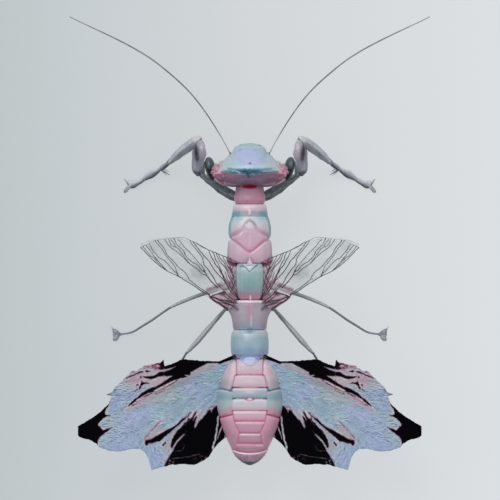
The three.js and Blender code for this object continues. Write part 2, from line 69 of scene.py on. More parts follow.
def power(c, n):
    return np.sign(c) * np.abs(c) ** n


def gauss(d, w):
    return np.exp(-0.5 * (d / w) ** 2)


def _hash(i, j, k, seed):
    with np.errstate(over="ignore"):
        n = (
            i * np.int64(374761393)
            + j * np.int64(668265263)
            + k * np.int64(1440662683)
            + np.int64(seed) * np.int64(974634777)
        )
        n = (n ^ (n >> 13)) * np.int64(1274126177)
        n = n ^ (n >> 16)
    return (n & 0xFFFFFF) / float(0xFFFFFF)


def vnoise(x, y, z=None, seed=0):
    """Smooth value noise from 0 to 1."""
    x, y = np.broadcast_arrays(np.asarray(x, float), np.asarray(y, float))
    xi, yi = np.floor(x).astype(np.int64), np.floor(y).astype(np.int64)
    fx, fy = x - xi, y - yi
    fx, fy = fx * fx * (3 - 2 * fx), fy * fy * (3 - 2 * fy)
    if z is None:
        k = np.int64(0)
        a = _hash(xi, yi, k, seed) * (1 - fx) + _hash(xi + 1, yi, k, seed) * fx
        b = _hash(xi, yi + 1, k, seed) * (1 - fx) + _hash(xi + 1, yi + 1, k, seed) * fx
        return a * (1 - fy) + b * fy
    z = np.broadcast_to(np.asarray(z, float), x.shape)
    zi = np.floor(z).astype(np.int64)
    fz = z - zi
    fz = fz * fz * (3 - 2 * fz)
    out = 0.0
    for k in (0, 1):
        a = (
            _hash(xi, yi, zi + k, seed) * (1 - fx)
            + _hash(xi + 1, yi, zi + k, seed) * fx
        )
        b = (
            _hash(xi, yi + 1, zi + k, seed) * (1 - fx)
            + _hash(xi + 1, yi + 1, zi + k, seed) * fx
        )
        out = out + (a * (1 - fy) + b * fy) * (fz if k else 1 - fz)
    return out


def fbm(x, y, z=None, seed=0, octaves=3):
    total, amp, norm = 0.0, 1.0, 0.0
    for o in range(octaves):
        f = 2.03**o
        total = total + amp * vnoise(
            x * f, y * f, None if z is None else z * f, seed + 17 * o
        )
        norm += amp
        amp *= 0.5
    return total / norm


def pchip(xs, ys, x):
    """Monotone cubic reading of a table."""
    xs, ys = np.asarray(xs, float), np.asarray(ys, float)
    h = np.diff(xs)
    d = np.diff(ys) / h
    m = np.zeros_like(ys)
    m[1:-1] = np.where(
        d[:-1] * d[1:] > 0, 2 * d[:-1] * d[1:] / (d[:-1] + d[1:] + 1e-12), 0
    )
    m[0], m[-1] = d[0], d[-1]
    x = np.clip(np.asarray(x, float), xs[0], xs[-1])
    i = np.clip(np.searchsorted(xs, x, side="right") - 1, 0, len(xs) - 2)
    t = (x - xs[i]) / h[i]
    return (
        (2 * t**3 - 3 * t**2 + 1) * ys[i]
        + (t**3 - 2 * t**2 + t) * h[i] * m[i]
        + (-2 * t**3 + 3 * t**2) * ys[i + 1]
        + (t**3 - t**2) * h[i] * m[i + 1]
    )


def poly_sdf(X, Y, pts, closed=True):
    """Distance to a polyline, or signed distance to a closed outline, negative inside."""
    pts = np.asarray(pts, float)
    n = len(pts)
    d = np.full(X.shape, 1e9)
    inside = np.zeros(X.shape, bool)
    for k in range(n if closed else n - 1):
        (ax, ay), (bx, by) = pts[k], pts[(k + 1) % n]
        ex, ey = bx - ax, by - ay
        wx, wy = X - ax, Y - ay
        t = np.clip((wx * ex + wy * ey) / (ex * ex + ey * ey + 1e-12), 0, 1)
        d = np.minimum(d, np.hypot(wx - ex * t, wy - ey * t))
        if closed:
            c = ((ay <= Y) & (by > Y)) | ((by <= Y) & (ay > Y))
            xi = ax + (Y - ay) * ex / (ey if abs(ey) > 1e-12 else 1e-12)
            inside ^= c & (X < xi)
    return np.where(inside, -d, d) if closed else d


def crom(points, t):
    """A centripetal Catmull-Rom curve through the points, t from 0 to 1."""
    p = np.asarray(points, float)
    n = len(p) - 1
    ext = np.vstack([2 * p[0] - p[1], p, 2 * p[-1] - p[-2]])
    t = np.asarray(t, float)
    f = np.clip(t * n, 0, n - 1e-9)
    i = np.floor(f).astype(int)
    w = (f - i)[:, None]
    p0, p1, p2, p3 = ext[i], ext[i + 1], ext[i + 2], ext[i + 3]
    dt = [
        np.maximum(np.sum((b - a) ** 2, 1) ** 0.25, 1e-6)[:, None]
        for a, b in ((p0, p1), (p1, p2), (p2, p3))
    ]
    t1 = ((p1 - p0) / dt[0] - (p2 - p0) / (dt[0] + dt[1]) + (p2 - p1) / dt[1]) * dt[1]
    t2 = ((p2 - p1) / dt[1] - (p3 - p1) / (dt[1] + dt[2]) + (p3 - p2) / dt[2]) * dt[1]
    return (
        p1
        + t1 * w
        + (-3 * p1 + 3 * p2 - 2 * t1 - t2) * w**2
        + (2 * p1 - 2 * p2 + t1 + t2) * w**3
    )


def unit(v):
    v = np.asarray(v, float)
    return v / np.maximum(np.linalg.norm(v, axis=-1, keepdims=True), 1e-12)


# ---------------------------------------------------------------- mesh making
class Soup:
    """Collects closed bodies into one mesh, with a colour for each vertex."""

    def __init__(self):
        self.v, self.q, self.t, self.c, self.uv, self.n = [], [], [], [], [], 0

    def add(self, V, Q=None, T=None, C=(200, 200, 200), A=1.0, uv=None):
        V = np.asarray(V, float).reshape(-1, 3)
        Q = np.zeros((0, 4), int) if Q is None else np.asarray(Q, int)
        T = np.zeros((0, 3), int) if T is None else np.asarray(T, int)
        tri = np.vstack([Q[:, [0, 1, 2]], Q[:, [0, 2, 3]], T])
        a, b, c = V[tri[:, 0]], V[tri[:, 1]], V[tri[:, 2]]
        if np.sum(a * np.cross(b, c)) < 0:
            Q, T = Q[:, ::-1], T[:, ::-1]
        C = np.asarray(C, float)
        C = (
            np.broadcast_to(C, (len(V), 3))
            if C.ndim == 1
            else C.reshape(-1, 3)
        )
        A = np.broadcast_to(np.asarray(A, float), (len(V),))
        self.v.append(V)
        self.q.append(Q + self.n)
        self.t.append(T + self.n)
        self.c.append(np.hstack([C, A[:, None]]))
        self.uv.append(
            np.zeros((len(V), 2)) if uv is None else np.broadcast_to(uv, (len(V), 2))
        )
        self.n += len(V)
        return self

    def mirror(self):
        """The same soup on the other side of the mid-plane."""
        m = Soup()
        for V, Q, T, C, U in zip(self.v, self.q, self.t, self.c, self.uv):
            W = V.copy()
            W[:, 0] *= -1
            m.v.append(W)
            m.q.append(Q[:, ::-1])
            m.t.append(T[:, ::-1])
            m.c.append(C)
            U2 = U.copy()
            U2[:, 0] = 1 - U2[:, 0]
            m.uv.append(U2)
        m.n = self.n
        return m


def linear(c):
    c = np.clip(np.asarray(c, float) / 255.0, 0, 1)
    return np.where(c <= 0.04045, c / 12.92, ((c + 0.055) / 1.055) ** 2.4)


def piece(name, soup, mat, slot, replaces=(), bake_uv=False, flat=False):
    V = np.vstack(soup.v) * 0.001
    V[:, 2] = np.maximum(V[:, 2], 0.0)
    Q, T, C = np.vstack(soup.q), np.vstack(soup.t), np.vstack(soup.c)
    me = bpy.data.meshes.new(name)
    me.vertices.add(len(V))
    me.vertices.foreach_set("co", V.astype(np.float32).ravel())
    loops = np.concatenate([Q.ravel(), T.ravel()]).astype(np.int32)
    starts = np.concatenate(
        [np.arange(len(Q)) * 4, len(Q) * 4 + np.arange(len(T)) * 3]
    ).astype(np.int32)
    me.loops.add(len(loops))
    me.loops.foreach_set("vertex_index", loops)
    me.polygons.add(len(starts))
    me.polygons.foreach_set("loop_start", starts)
    me.update(calc_edges=True)
    me.validate()
    if not flat:
        me.polygons.foreach_set("use_smooth", np.ones(len(starts), bool))
    att = me.color_attributes.new(name="Col", type="FLOAT_COLOR", domain="POINT")
    rgba = np.hstack([linear(C[:, :3]), C[:, 3:4]]).astype(np.float32)
    att.data.foreach_set("color", rgba.ravel())
    if bake_uv:
        U = np.vstack(soup.uv)
        layer = me.uv_layers.new(name="OFBake")
        idx = np.zeros(len(me.loops), np.int32)
        me.loops.foreach_get("vertex_index", idx)
        layer.data.foreach_set("uv", U[idx].astype(np.float32).ravel())
    me.update()
    ob = bpy.data.objects.new(name, me)
    bpy.context.scene.collection.objects.link(ob)
    ob.data.materials.append(mat)
    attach(ob, "root")
    if replaces:
        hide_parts(*replaces)
    return ob


def pair(name, soup, mat, slot, replaces=(), **kw):
    """The right-hand piece and its mirror image; replaces names nodes without their side."""
    piece(name + "_right", soup, mat, slot, [n + "_right" for n in replaces], **kw)
    piece(
        name + "_left", soup.mirror(), mat, slot, [n + "_left" for n in replaces], **kw
    )


def rings(V, cap=True):
    """Closed tube from rings V (R, C, 3), fanned shut at both ends. Returns verts, quads, tris."""
    R, C = V.shape[:2]
    i, j = np.meshgrid(np.arange(R - 1), np.arange(C), indexing="ij")
    jn = (j + 1) % C
    Q = np.stack([i * C + j, i * C + jn, (i + 1) * C + jn, (i + 1) * C + j], -1)
    verts = V.reshape(-1, 3)
    T = np.zeros((0, 3), int)
    if cap:
        n = R * C
        verts = np.vstack([verts, V[0].mean(0), V[-1].mean(0)])
        k = np.arange(C)
        kn = (k + 1) % C
        T = np.vstack(
            [
                np.stack([np.full(C, n), kn, k], -1),
                np.stack([np.full(C, n + 1), (R - 1) * C + k, (R - 1) * C + kn], -1),
            ]
        )
    return verts, Q.reshape(-1, 4), T


def ring_colours(C3):
    """Colours for rings(): the grid's and the two cap centres'."""
    return np.vstack([C3.reshape(-1, 3), C3[0].mean(0), C3[-1].mean(0)])


def sheet(top, bottom):
    """Closed thin body between two grids (A, B, 3)."""
    A, B = top.shape[:2]
    i, j = np.meshgrid(np.arange(A - 1), np.arange(B - 1), indexing="ij")
    a = i * B + j
    Qt = np.stack([a, a + 1, a + B + 1, a + B], -1).reshape(-1, 4)
    off = A * B
    Qb = Qt[:, ::-1] + off
    loop = np.concatenate(
        [
            np.arange(B - 1),
            (np.arange(A - 1)) * B + B - 1,
            (A - 1) * B + np.arange(B - 1, 0, -1),
            np.arange(A - 1, 0, -1) * B,
        ]
    )
    nxt = np.roll(loop, -1)
    Qs = np.stack([loop, loop + off, nxt + off, nxt], -1)
    return np.vstack([top.reshape(-1, 3), bottom.reshape(-1, 3)]), np.vstack(
        [Qt, Qb, Qs]
    )


def tube(path, radius, sides=8, colour=(120, 120, 120), soup=None, round_ends=True):
    """A round tube along a path of points, radius a number or one for each point."""
    p = np.asarray(path, float)
    n = len(p)
    r = np.broadcast_to(np.asarray(radius, float), (n,)).copy()
    c = np.asarray(colour, float)
    c = np.broadcast_to(c, (n, 3)).copy() if c.ndim == 1 else c.copy()
    if round_ends:
        d0, d1 = unit(p[0] - p[1]), unit(p[-1] - p[-2])
        p = np.vstack([p[0] + d0 * r[0] * 0.8, p[0] + d0 * r[0] * 0.45, p, p[-1] + d1 * r[-1] * 0.45, p[-1] + d1 * r[-1] * 0.8])
        r = np.concatenate([[r[0] * 0.3, r[0] * 0.8], r, [r[-1] * 0.8, r[-1] * 0.3]])
        c = np.vstack([c[0], c[0], c, c[-1], c[-1]])
    tan = unit(np.gradient(p, axis=0))
    up = np.array([0.0, 0.0, 1.0])
    side = np.cross(tan, up)
    bad = np.linalg.norm(side, axis=1) < 1e-3
    side[bad] = [1.0, 0.0, 0.0]
    side = unit(side)
    lift = np.cross(side, tan)
    a = np.linspace(0, 2 * np.pi, sides, endpoint=False)
    V = (
        p[:, None]
        + side[:, None] * (np.cos(a)[None, :, None] * r[:, None, None])
        + lift[:, None] * (np.sin(a)[None, :, None] * r[:, None, None])
    )
    v, Q, T = rings(V)
    C3 = np.repeat(c[:, None], sides, 1)
    (soup or Soup()).add(v, Q, T, ring_colours(C3))
    return V


def spikes(soup, roots, dirs, lengths, radii, colours, tips, bend=0.15, sides=4, uvs=None):
    """Many small curved cones, each a closed body, added together as one block."""
    n = len(roots)
    if not n:
        return
    roots, dirs = np.asarray(roots, float), unit(dirs)
    ref = np.where(np.abs(dirs[:, 2:3]) > 0.9, [[1.0, 0, 0]], [[0, 0, 1.0]])
    s1 = unit(np.cross(dirs, ref))
    s2 = np.cross(s1, dirs)
    a = np.linspace(0, 2 * np.pi, sides, endpoint=False)
    L = np.asarray(lengths, float)[:, None, None]
    R = np.asarray(radii, float)[:, None, None]
    rows = []
    for t, w in ((0.0, 1.0), (0.5, 0.62)):
        centre = roots + dirs * (L[:, :, 0] * t) - s2 * (L[:, :, 0] * bend * t * t)
        rows.append(
            centre[:, None]
            + s1[:, None] * np.cos(a)[None, :, None] * R * w
            + s2[:, None] * np.sin(a)[None, :, None] * R * w
        )
    tip = roots + dirs * L[:, :, 0] - s2 * (L[:, :, 0] * bend)
    m = 2 * sides + 1
    V = np.concatenate([rows[0], rows[1], tip[:, None]], 1).reshape(-1, 3)
    k = np.arange(sides)
    kn = (k + 1) % sides
    q1 = np.stack([k, kn, kn + sides, k + sides], -1)
    t1 = np.stack([k + sides, kn + sides, np.full(sides, 2 * sides)], -1)
    base = np.stack([np.zeros(sides - 2, int), k[2:], k[1:-1]], -1)
    off = (np.arange(n) * m)[:, None, None]
    Q = (q1[None] + off).reshape(-1, 4)
    T = (np.vstack([t1, base])[None] + off).reshape(-1, 3)
    c0 = np.broadcast_to(np.asarray(colours, float), (n, 3))
    c1 = np.broadcast_to(np.asarray(tips, float), (n, 3))
    C = np.stack([c0] * sides + [(c0 + c1) / 2] * sides + [c1], 1).reshape(-1, 3)
    uv = None
    if uvs is not None:
        local = np.zeros((m, 2))
        local[:sides] = np.stack([np.cos(a), np.sin(a)], -1) * 0.0015
        local[sides : 2 * sides] = np.stack([np.cos(a), np.sin(a)], -1) * 0.0008
        uv = (np.asarray(uvs, float)[:, None] + local[None]).reshape(-1, 2)
    soup.add(V, Q, T, C, uv=uv)


def blob(soup, centre, radii, colour, turn=None, w=16, h=10, bump=None):
    """A closed ellipsoid, radii in mm along x, y and z, turned by a 3x3 matrix if given."""
    lat = np.linspace(-np.pi / 2, np.pi / 2, h + 1)[1:-1]
    lon = np.linspace(0, 2 * np.pi, w, endpoint=False)
    la, lo = np.meshgrid(lat, lon, indexing="ij")
    V = np.stack([np.cos(la) * np.cos(lo), np.cos(la) * np.sin(lo), np.sin(la)], -1)
    v, Q, T = rings(V)
    v[-2], v[-1] = (0, 0, -1), (0, 0, 1)
    if bump is not None:
        v = v * (1 + bump(v)[:, None])
    v = v * np.asarray(radii, float)
    if turn is not None:
        v = v @ np.asarray(turn, float).T
    soup.add(v + np.asarray(centre, float), Q, T, colour(v) if callable(colour) else colour)
    return v + np.asarray(centre, float)


# ---------------------------------------------------------------- materials
def material(
    name,
    rough=0.4,
    rough_var=0.12,
    coat=0.0,
    coat_rough=0.2,
    spec=0.5,
    bump=0.15,
    bump_mm=0.25,
    tint=0.06,
    grain_mm=0.6,
    metallic=0.0,
    sheen=0.0,
    alpha=False,
    stretch=(1, 1, 1),
):
    """A painted surface: the colour comes from the mesh's vertex colours, its markings together with the painted light
    and shade laid into them in places, varied by grain, with its own roughness and fine relief.
    """
    m = bpy.data.materials.new(name)
    m.use_nodes = True
    nt = m.node_tree
    nt.nodes.clear()
    out = nt.nodes.new("ShaderNodeOutputMaterial")
    b = nt.nodes.new("ShaderNodeBsdfPrincipled")
    nt.links.new(b.outputs["BSDF"], out.inputs["Surface"])
    b.inputs["Metallic"].default_value = metallic
    b.inputs["Specular IOR Level"].default_value = spec
    b.inputs["Coat Weight"].default_value = coat
    b.inputs["Coat Roughness"].default_value = coat_rough
    b.inputs["Sheen Weight"].default_value = sheen
    b.inputs["Sheen Roughness"].default_value = 0.5
    col = nt.nodes.new("ShaderNodeAttribute")
    col.attribute_type, col.attribute_name = "GEOMETRY", "Col"
    tex = nt.nodes.new("ShaderNodeTexCoord")
    mp = nt.nodes.new("ShaderNodeMapping")
    mp.inputs["Scale"].default_value = stretch
    nt.links.new(tex.outputs["Object"], mp.inputs["Vector"])
    grain = nt.nodes.new("ShaderNodeTexNoise")
    grain.inputs["Scale"].default_value = 1000.0 / grain_mm
    grain.inputs["Detail"].default_value = 3.0
    nt.links.new(mp.outputs["Vector"], grain.inputs["Vector"])
    ramp = nt.nodes.new("ShaderNodeMapRange")
    ramp.inputs["From Min"].default_value = 0.3
    ramp.inputs["From Max"].default_value = 0.7
    ramp.inputs["To Min"].default_value = 1 - tint
    ramp.inputs["To Max"].default_value = 1 + tint
    nt.links.new(grain.outputs["Fac"], ramp.inputs["Value"])
    mul = nt.nodes.new("ShaderNodeVectorMath")
    mul.operation = "SCALE"
    nt.links.new(col.outputs["Color"], mul.inputs[0])
    nt.links.new(ramp.outputs["Result"], mul.inputs["Scale"])
    nt.links.new(mul.outputs["Vector"], b.inputs["Base Color"])
    rr = nt.nodes.new("ShaderNodeMapRange")
    rr.inputs["From Min"].default_value = 0.3
    rr.inputs["From Max"].default_value = 0.7
    rr.inputs["To Min"].default_value = max(0.02, rough - rough_var)
    rr.inputs["To Max"].default_value = min(1.0, rough + rough_var)
    nt.links.new(grain.outputs["Fac"], rr.inputs["Value"])
    nt.links.new(rr.outputs["Result"], b.inputs["Roughness"])
    if bump:
        fine = nt.nodes.new("ShaderNodeTexNoise")
        fine.inputs["Scale"].default_value = 1000.0 / bump_mm
        fine.inputs["Detail"].default_value = 4.0
        nt.links.new(mp.outputs["Vector"], fine.inputs["Vector"])
        bp = nt.nodes.new("ShaderNodeBump")
        bp.inputs["Strength"].default_value = bump
        bp.inputs["Distance"].default_value = 0.00006
        nt.links.new(fine.outputs["Fac"], bp.inputs["Height"])
        nt.links.new(bp.outputs["Normal"], b.inputs["Normal"])
    if alpha:
        nt.links.new(col.outputs["Alpha"], b.inputs["Alpha"])
    return m


MAT_SHELL = material("shell", rough=0.40, coat=0.14, coat_rough=0.28, spec=0.42, bump=0.07, bump_mm=0.22, tint=0.02)
MAT_HEAD = material("head_shell", rough=0.42, coat=0.15, coat_rough=0.3, spec=0.4, bump=0.08, bump_mm=0.2, tint=0.025)
MAT_EYE = material("eye", rough=0.42, rough_var=0.08, coat=0.06, coat_rough=0.35, spec=0.22, bump=0.25, bump_mm=0.09, tint=0.08, grain_mm=0.3)
MAT_LIMB = material("limb", rough=0.42, coat=0.15, bump=0.22, bump_mm=0.16, tint=0.09, grain_mm=0.4)
MAT_FEELER = material("feeler", rough=0.55, bump=0.2, bump_mm=0.1, tint=0.12, grain_mm=0.2)
MAT_MOUTH = material("mouth", rough=0.4, coat=0.2, bump=0.2, bump_mm=0.15, tint=0.08)
MAT_MEMBRANE = material("membrane", rough=0.18, rough_var=0.06, spec=0.45, bump=0.22, bump_mm=0.5, tint=0.05, grain_mm=0.8, alpha=True)
MAT_VEIN = material("vein", rough=0.45, coat=0.1, bump=0.15, bump_mm=0.12, tint=0.15, grain_mm=0.3)
MAT_PAINTED = material("painted_wing", rough=0.72, rough_var=0.1, spec=0.04, bump=0.35, bump_mm=0.14, tint=0.10, grain_mm=0.25)
MAT_HAIR = material("setae", rough=0.55, spec=0.25, bump=0.12, bump_mm=0.08, tint=0.10, grain_mm=0.5)
MAT_CORE = material("joint_membrane", rough=0.5, bump=0.3, bump_mm=0.2, tint=0.12, grain_mm=0.4)


# ---------------------------------------------------------------- trunk
TRUNK = {
    "neck": [
        (183.5, 13.4, 12.8, 11.3, 9.2),
        (188, 14.0, 13.1, 11.2, 8.9),
        (192.5, 14.5, 13.2, 11.15, 8.7),
        (196.5, 15.7, 13.3, 11.1, 8.6),
        (200.5, 15.6, 13.4, 11.0, 8.4),
        (203.4, 14.8, 13.3, 11.0, 8.4),
        (204.2, 13.6, 13.2, 11.0, 8.5),
    ],
    "prothorax_collar": [
        (204.4, 15.9, 13.5, 10.9, 8.2),
        (206.5, 16.6, 13.8, 10.9, 8.0),
        (211, 17.3, 14.0, 10.8, 7.8),
        (216.2, 18.0, 14.1, 10.7, 7.6),
    ],
    "prothorax_shield": [
        (216.4, 18.2, 14.1, 10.7, 7.6),
        (221, 19.9, 14.5, 10.6, 7.4),
        (227, 21.2, 14.8, 10.5, 7.3),
        (233, 21.4, 14.9, 10.5, 7.3),
        (236.8, 20.6, 14.7, 10.5, 7.35),
        (239.3, 18.9, 14.5, 10.4, 7.4),
    ],
    "prothorax_rear": [
        (239.8, 20.6, 14.5, 10.4, 7.4),
        (243, 21.8, 14.8, 10.4, 7.2),
        (252, 22.4, 14.9, 10.4, 7.0),
        (262.6, 23.0, 14.4, 10.4, 7.0),
    ],
    "mesothorax": [
        (263.1, 19.4, 14.0, 10.3, 6.9),
        (267, 20.0, 14.5, 10.3, 6.7),
        (278, 20.0, 14.8, 10.2, 6.5),
        (290, 20.2, 14.6, 10.2, 6.5),
        (299.8, 20.4, 14.0, 10.2, 6.7),
    ],
    "metathorax": [
        (300.3, 20.6, 14.0, 10.2, 6.7),
        (303, 22.6, 14.2, 10.2, 6.6),
        (308, 22.6, 14.3, 10.2, 6.6),
        (312, 20.8, 14.3, 10.2, 6.7),
        (318, 18.2, 14.15, 10.2, 6.9),
        (329.4, 16.6, 13.5, 10.2, 7.3),
    ],
    "abdomen_waist": [
        (329.9, 16.4, 13.4, 10.2, 7.3),
        (334, 18.3, 14.0, 10.2, 6.9),
        (344, 19.0, 14.5, 10.2, 6.7),
        (353, 18.6, 14.4, 10.1, 6.7),
        (358.2, 16.4, 13.8, 10.1, 7.0),
    ],
    "abdomen_front": [
        (358.8, 15.6, 13.3, 10.0, 7.0),
        (361, 20.4, 13.7, 10.0, 6.5),
        (366, 26.2, 14.1, 10.0, 6.0),
        (377, 29.2, 14.3, 9.9, 5.5),
        (388.6, 31.2, 14.3, 9.8, 5.2),
    ],
    "abdomen_middle": [
        (389.1, 31.2, 14.3, 9.8, 5.1),
        (397, 33.0, 14.5, 9.8, 5.0),
        (406, 33.4, 14.4, 9.7, 4.9),
        (413.0, 32.4, 14.2, 9.7, 5.0),
    ],
    "abdomen_rear": [
        (413.5, 31.6, 14.1, 9.7, 5.0),
        (420, 29.8, 14.1, 9.7, 5.2),
        (430, 26.7, 13.7, 9.6, 5.8),
        (440, 22.3, 13.1, 9.6, 6.5),
        (447.8, 18.6, 12.5, 9.6, 7.1),
    ],
    "abdomen_tip": [
        (448.6, 18.4, 12.3, 9.6, 7.2),
        (450.5, 17.9, 12.1, 9.6, 7.3),
        (454, 15.9, 11.8, 9.6, 7.6),
        (457, 13.5, 11.4, 9.65, 7.9),
        (460, 10.3, 11.0, 9.7, 8.3),
        (462.4, 6.8, 10.6, 9.75, 8.8),
        (464.4, 3.0, 10.25, 9.8, 9.2),
        (465.5, 1.0, 10.0, 9.8, 9.5),
    ],
}
SHOULDER_Z = 11.9
BLOCK_EDGE = np.array([(263, 11.8), (266, 13.2), (270, 13.8), (288, 13.4), (295, 12.2), (300.5, 10.0)])  # station, half width of the raised block
ABDOMEN = ["abdomen_front", "abdomen_middle", "abdomen_rear", "abdomen_tip"]


def loops_of(names):
    """One table of loops for a run of segments, the doubled rows at the cuts averaged."""
    rows = []
    for n in names:
        for r in TRUNK[n]:
            if rows and r[0] - rows[-1][0] < 0.8:
                rows[-1] = tuple((a + b) / 2 for a, b in zip(rows[-1], r))
            else:
                rows.append(r)
    return np.array(rows)


def section(rows, s):
    """half width (units), top, widest and under heights (mm) at stations s."""
    rows = np.asarray(rows, float)
    return [pchip(rows[:, 0], rows[:, k], s) for k in range(1, 5)]


def angles(top_count, low_count):
    return np.concatenate(
        [
            np.linspace(0, np.pi, top_count, endpoint=False),
            np.linspace(np.pi, 2 * np.pi, low_count, endpoint=False),
        ]
    )


def top_z(rows, x, s):
    """Height of the back at plan position x, s."""
    half, top, mid, _ = section(rows, s)
    c = np.clip(np.abs(x) / half, 0, 1) ** (1 / 0.86)
    return mid + (top - mid) * np.sqrt(np.clip(1 - c * c, 0, 1)) ** 0.9


def stations(s0, s1, step=0.55, lip=0.22):
    """Stations from s0 to s1, closer together at both lips."""
    near = np.array([0, 0.03, 0.09, 0.2, 0.35, 0.55, 0.8, 1.0]) * (lip / UNIT) * 1.3
    inner = np.arange(s0 + near[-1] + step, s1 - near[-1] - step * 0.5, step)
    return np.concatenate([s0 + near, inner, s1 - near[::-1]])


def trunk_mesh(name, s, rows, lip, relief, colour, top_count=150, low_count=60, grow=0.0):
    """A closed segment. relief(xu, s, up) is in mm, outward; colour(xu, s, up, side) is sRGB."""
    a = angles(top_count, low_count)
    half, top, mid, under = section(rows, s)
    ca, sa = power(np.cos(a), 0.86), power(np.sin(a), 0.9)
    up = sa >= 0
    X = half[:, None] * UNIT * ca[None]
    H = np.where(up[None], (top - mid)[:, None], (mid - under)[:, None])
    Z = mid[:, None] + H * sa[None]
    if name in ("mesothorax", "core"):
        edge = pchip(BLOCK_EDGE[:, 0], BLOCK_EDGE[:, 1], np.clip(s, 263, 300.5))[:, None]
        flank = smooth(-0.9, 1.5, np.abs(X) / UNIT - edge) * ((s > 262) & (s < 301.5))[:, None]
        Z = np.where(
            up[None], Z - flank * np.maximum(0, Z - SHOULDER_Z), Z
        )
    S = np.repeat(s[:, None], len(a), 1)
    XU = np.abs(X) / UNIT
    upness = np.clip(sa, -1, 1)[None] * np.ones_like(X)
    D = relief(X / UNIT, S, upness) if relief is not None else 0.0
    inset = np.zeros(len(s))
    for d_end, r in zip((s - s[0], s[-1] - s), np.broadcast_to(lip, 2)):
        d_end = np.clip(d_end * UNIT, 0, r)
        inset = np.maximum(inset, r - np.sqrt(np.clip(r**2 - (r - d_end) ** 2, 0, None)))
    # outward direction of the section's ellipse
    nx = ca[None] / np.maximum(half[:, None] * UNIT, 0.2)
    nz = sa[None] / np.maximum(H, 0.2)
    ln = np.maximum(np.hypot(nx, nz), 1e-9)
    off = D - inset[:, None] + grow
    limit = np.minimum(half[:, None] * UNIT, H) * 0.9
    off = np.maximum(off, -limit)
    X = X + nx / ln * off
    Z = Z + nz / ln * off
    V = np.stack([X, (DATUM - S) * UNIT, Z], -1)
    side = np.clip(XU / np.maximum(half[:, None], 0.5), 0, 1)
    C = colour(X / UNIT, S, upness, side)
    v, Q, T = rings(V)
    return v, Q, T, ring_colours(C)


# colours, sRGB 0..255
PINK_PALE = (226, 206, 215)
PINK = (206, 178, 191)
PINK_DEEP = (189, 140, 162)
CRIMSON = (178, 62, 104)
TEAL_PALE = (188, 202, 208)
TEAL = (134, 164, 176)
TEAL_DEEP = (84, 132, 148)
GREY_LILAC = (150, 142, 156)
LAVENDER = (168, 176, 212)
UNDER = (176, 160, 172)


def mottle(x, s, seed, scale=9.0, amp=7.0):
    return (fbm(x / scale + 40, s / scale, seed=seed, octaves=3) - 0.5) * amp


def underside(C, x, s, up):
    """Pale sternites below, lighter down the middle."""
    w = smooth(-0.05, -0.45, up)
    low = mix(UNDER, (196, 184, 194), gauss(x, 6.0))
    return mix(C, low, w)


def col_neck(x, s, up, side):
    # dusky mauve, darker towards the head: its own mauve with a painted shadow of the head over the front
    C = mix((158, 118, 136), (168, 126, 144), smooth(188, 200, s))
    C = mix(C, (178, 112, 138), smooth(199.5, 201.5, s) * 0.8)
    C = mix(C, (150, 120, 140), gauss(s - 202.0, 0.5) * smooth(15, 11, np.abs(x)) * 0.6)
    C = mix(C, (116, 84, 104), smooth(0.90, 0.97, side) * smooth(196, 190, s) * 0.8)
    C = mix(C, (128, 8, 42), smooth(1.1, 0.75, np.hypot(x / 7.4, (s - 186.6) / 2.4)))
    lines = vnoise(x * 1.1 + 30, s * 0.05, seed=3)
    C = C + ((lines - 0.5) * 8)[..., None]
    C = mix(C, (188, 156, 172), smooth(0.88, 0.99, side) * smooth(188, 194, s) * 0.5)
    C = mix(C, (232, 196, 210), smooth(0.90, 0.98, side) * smooth(200.6, 202.4, s) * 0.8)
    C = mix(C, (222, 108, 144), smooth(203.0, 203.6, s) * smooth(15.5, 12, np.abs(x)))
    return underside(C, x, s, up)


def col_collar(x, s, up, side):
    ax = np.abs(x)
    C = mix((216, 206, 212), (206, 180, 194), smooth(205.5, 209.5, s))
    C = mix(C, (222, 212, 218), gauss(x, 3.0) * smooth(209, 205.5, s) * 0.7)
    C = mix(C, (226, 220, 226), smooth(0.84, 0.95, side) * smooth(209.5, 206, s) * 0.8)
    band = smooth(209.2, 213.0, s) * smooth(1.8, 2.4, ax + (s - 209.8) * 0.4)
    tone = mix((168, 160, 171), (126, 160, 172), smooth(4.0, 12.0, ax))
    C = mix(C, tone, band)
    C = mix(C, (98, 144, 156), gauss(s - 213.9, 0.9) * smooth(7, 12, ax) * 0.55)
    C = mix(C, (140, 136, 148), gauss(s - 212.4, 0.8) * smooth(8, 3, ax) * 0.4)
    C = mix(C, (222, 212, 218), gauss(x, 0.9) * smooth(208.5, 209.5, s) * smooth(215, 213.5, s) * 0.9)
    C = mix(C, (120, 156, 168), smooth(0.95, 1.0, side) * 0.5)
    return underside(C, x, s, up)


def col_shield(x, s, up, side):
    ax = np.abs(x)
    C = mix((204, 208, 216), (204, 190, 202), smooth(219, 232, s))
    C = mix(C, (160, 196, 206), smooth(224.0, 216.6, s) * smooth(3, 13, ax) * 0.9)
    C = mix(C, (192, 152, 174), smooth(228.5, 235, s) * 0.75)
    edge_in = pchip([216, 222, 230, 239], [15.6, 18.0, 19.0, 17.6], s)
    C = mix(C, (196, 214, 220), gauss(ax - edge_in + 1.6, 0.8) * smooth(234, 228, s) * 0.6)
    C = mix(C, (116, 164, 176), smooth(edge_in - 1.0, edge_in + 1.4, ax))
    C = mix(C, (84, 134, 148), smooth(0.96, 1.0, side) * 0.5)
    # shadow beside the raised diamond
    d = poly_sdf(ax, s, DIAMOND)
    C = mix(C, (184, 136, 162), gauss(d - 0.4, 1.5) * smooth(226, 231, s) * 0.8)
    C = mix(C, (142, 136, 152), gauss(d - 0.2, 0.8) * smooth(230, 224, s) * 0.75)
    return underside(C, x, s, up)


